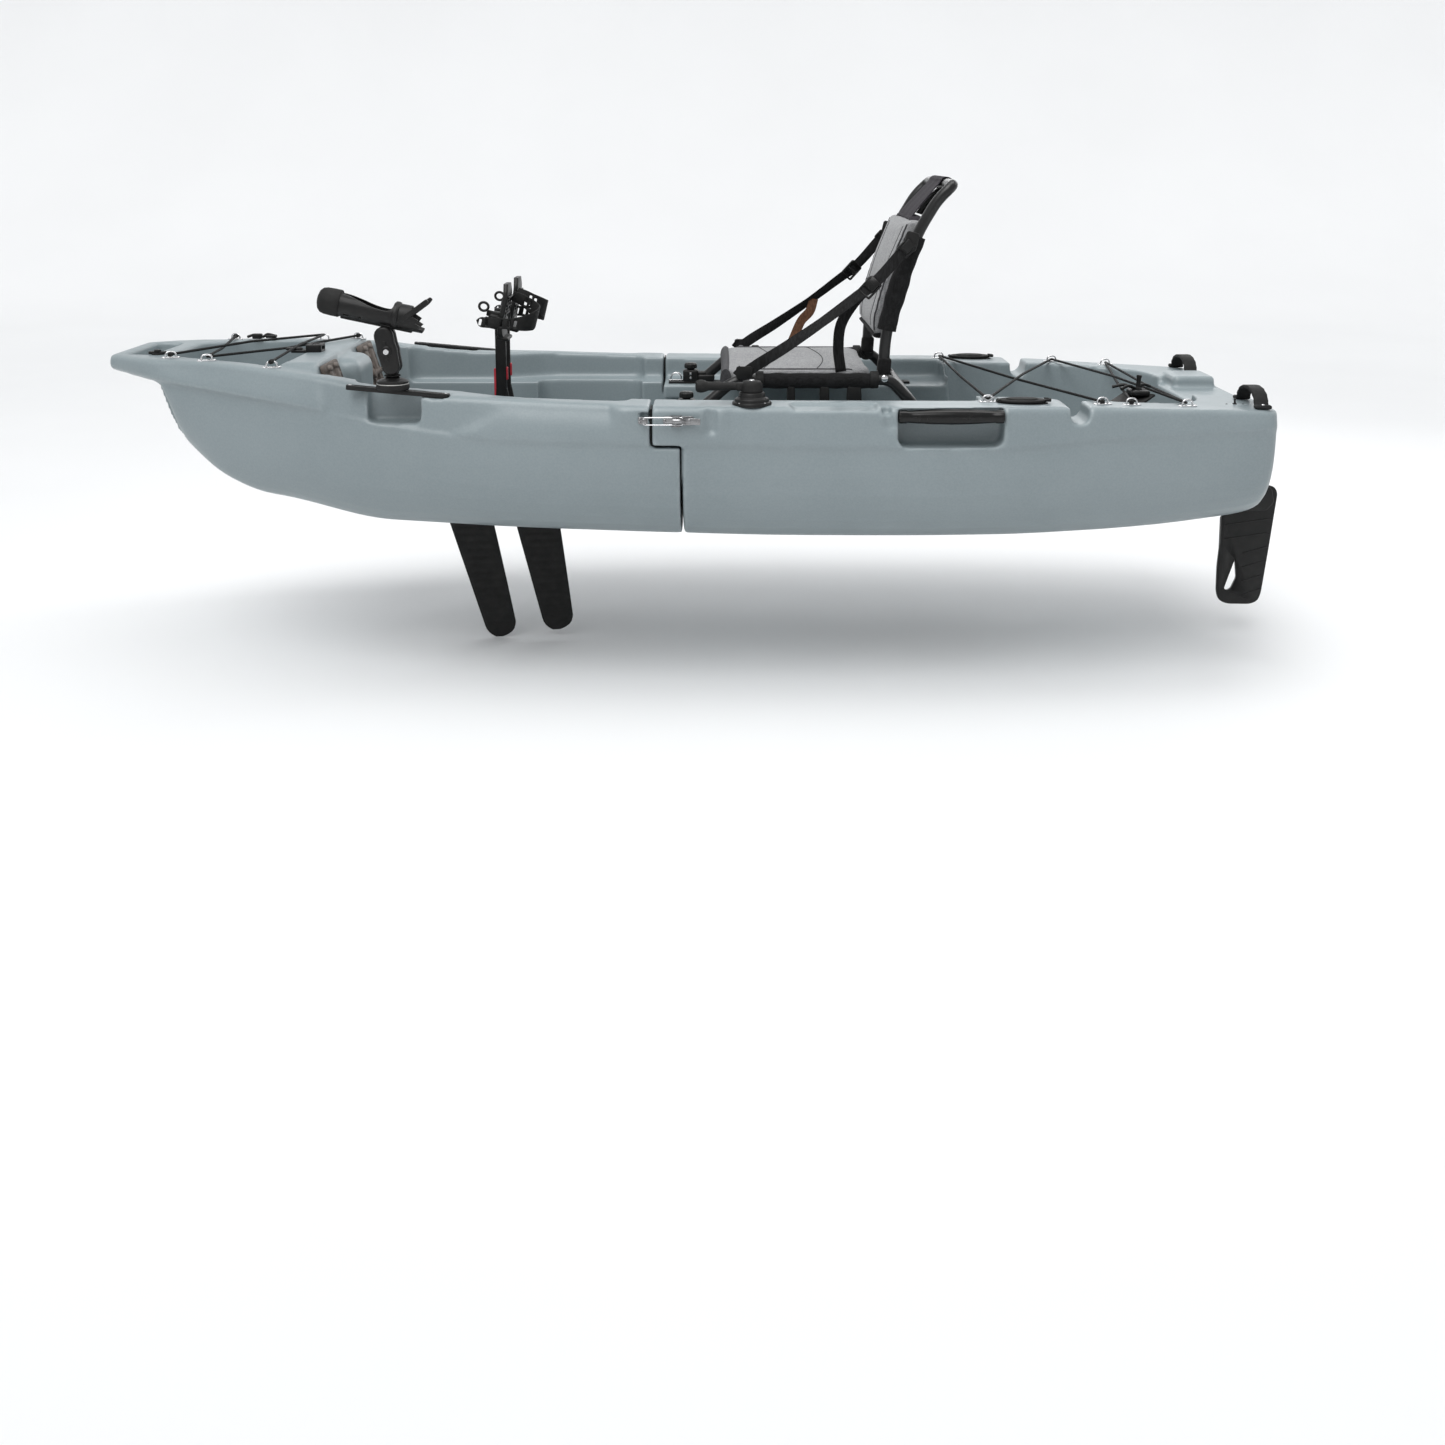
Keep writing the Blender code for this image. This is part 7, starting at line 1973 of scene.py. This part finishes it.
def make_floor():
    """One pale sheet: a floor that curves up into a backdrop well behind the boat."""
    low = CAD_BOX[0][2] - 0.0015
    bend = [(7.0 + 4.0 * math.sin(t), low + 4.0 * (1 - math.cos(t))) for t in np.linspace(0, math.pi / 2, 24)]
    profile = [(-60.0, low), (-6.0, low), *bend, (11.0, 40.0)]
    bm = bmesh.new()
    rows = [[bm.verts.new((x, y, z)) for y, z in profile] for x in (-60.0, 60.0)]
    for k in range(len(profile) - 1):
        bm.faces.new((rows[0][k], rows[1][k], rows[1][k + 1], rows[0][k + 1]))
    floor = from_bmesh("floor", bm)
    look = Look("paper_floor", roughness=0.9, Specular_IOR_Level=0.1)
    look.colour(look.ramp(look.noise(0.8, 2), (0.3, (0.86, 0.865, 0.87)), (0.7, (0.88, 0.885, 0.89))))
    floor.data.materials.append(look.material)


def area_light(name, spot, target, size, power, colour=(1, 1, 1)):
    data = bpy.data.lights.new(name, "AREA")
    data.shape = "RECTANGLE"
    data.size, data.size_y = size
    data.energy = power
    data.color = colour
    lamp = link(name, data)
    lamp.location = spot
    lamp.rotation_euler = (Vector(target) - Vector(spot)).to_track_quat("-Z", "Y").to_euler()


def make_studio():
    world = bpy.data.worlds.new("studio")
    world.use_nodes = True
    shade = world.node_tree.nodes["Background"]
    shade.inputs["Color"].default_value = (0.97, 0.985, 1.0, 1)
    shade.inputs["Strength"].default_value = 0.50
    bpy.context.scene.world = world
    data = bpy.data.lights.new("key", "SUN")
    data.energy, data.angle = 1.55, math.radians(40)
    key = link("key", data)
    key.rotation_euler = Vector((0.30, 0.62, -0.90)).to_track_quat("-Z", "Y").to_euler()
    area_light("overhead", (0.2, -0.4, 3.0), (0, 0, 0.2), (3.6, 1.2), 42, (1.0, 0.995, 0.985))
    area_light("behind", (1.4, 3.0, 1.8), (0, 0, 0.3), (3.0, 1.0), 18, (1.0, 1.0, 1.0))


def make_camera():
    data = bpy.data.cameras.new("camera")
    data.lens, data.sensor_width = 41.2, 36.0
    data.shift_x, data.shift_y = 0.0, -0.187
    camera = link("camera", data)
    camera.location = (0, -3.88, 0.85)
    camera.rotation_euler = (math.radians(90 - 10.4), 0, 0)
    scene = bpy.context.scene
    scene.camera = camera
    scene.view_settings.view_transform = "Standard"


make_camera()
make_studio()
make_floor()
make_hull()
make_pad_eyes()
make_bow_fittings()
make_bungees()
make_rod_base()
make_rod_arm()
make_cradle()
make_drive()
make_fins()
make_cushion()
make_seat_frame()
make_ledge_ring()
make_backrest_frame()
make_back_pad()
make_head_patch()
make_steering()
make_stern_fittings()
make_rudder()
make_sensor_cover()
for side, word in SIDES:
    for make in (make_track, make_foot_rest, make_pedal, make_latch, make_seat_clamp, make_seat_rail,
                 make_straps, make_grip, make_socket_cap, make_stern_handle):
        make(side, word)
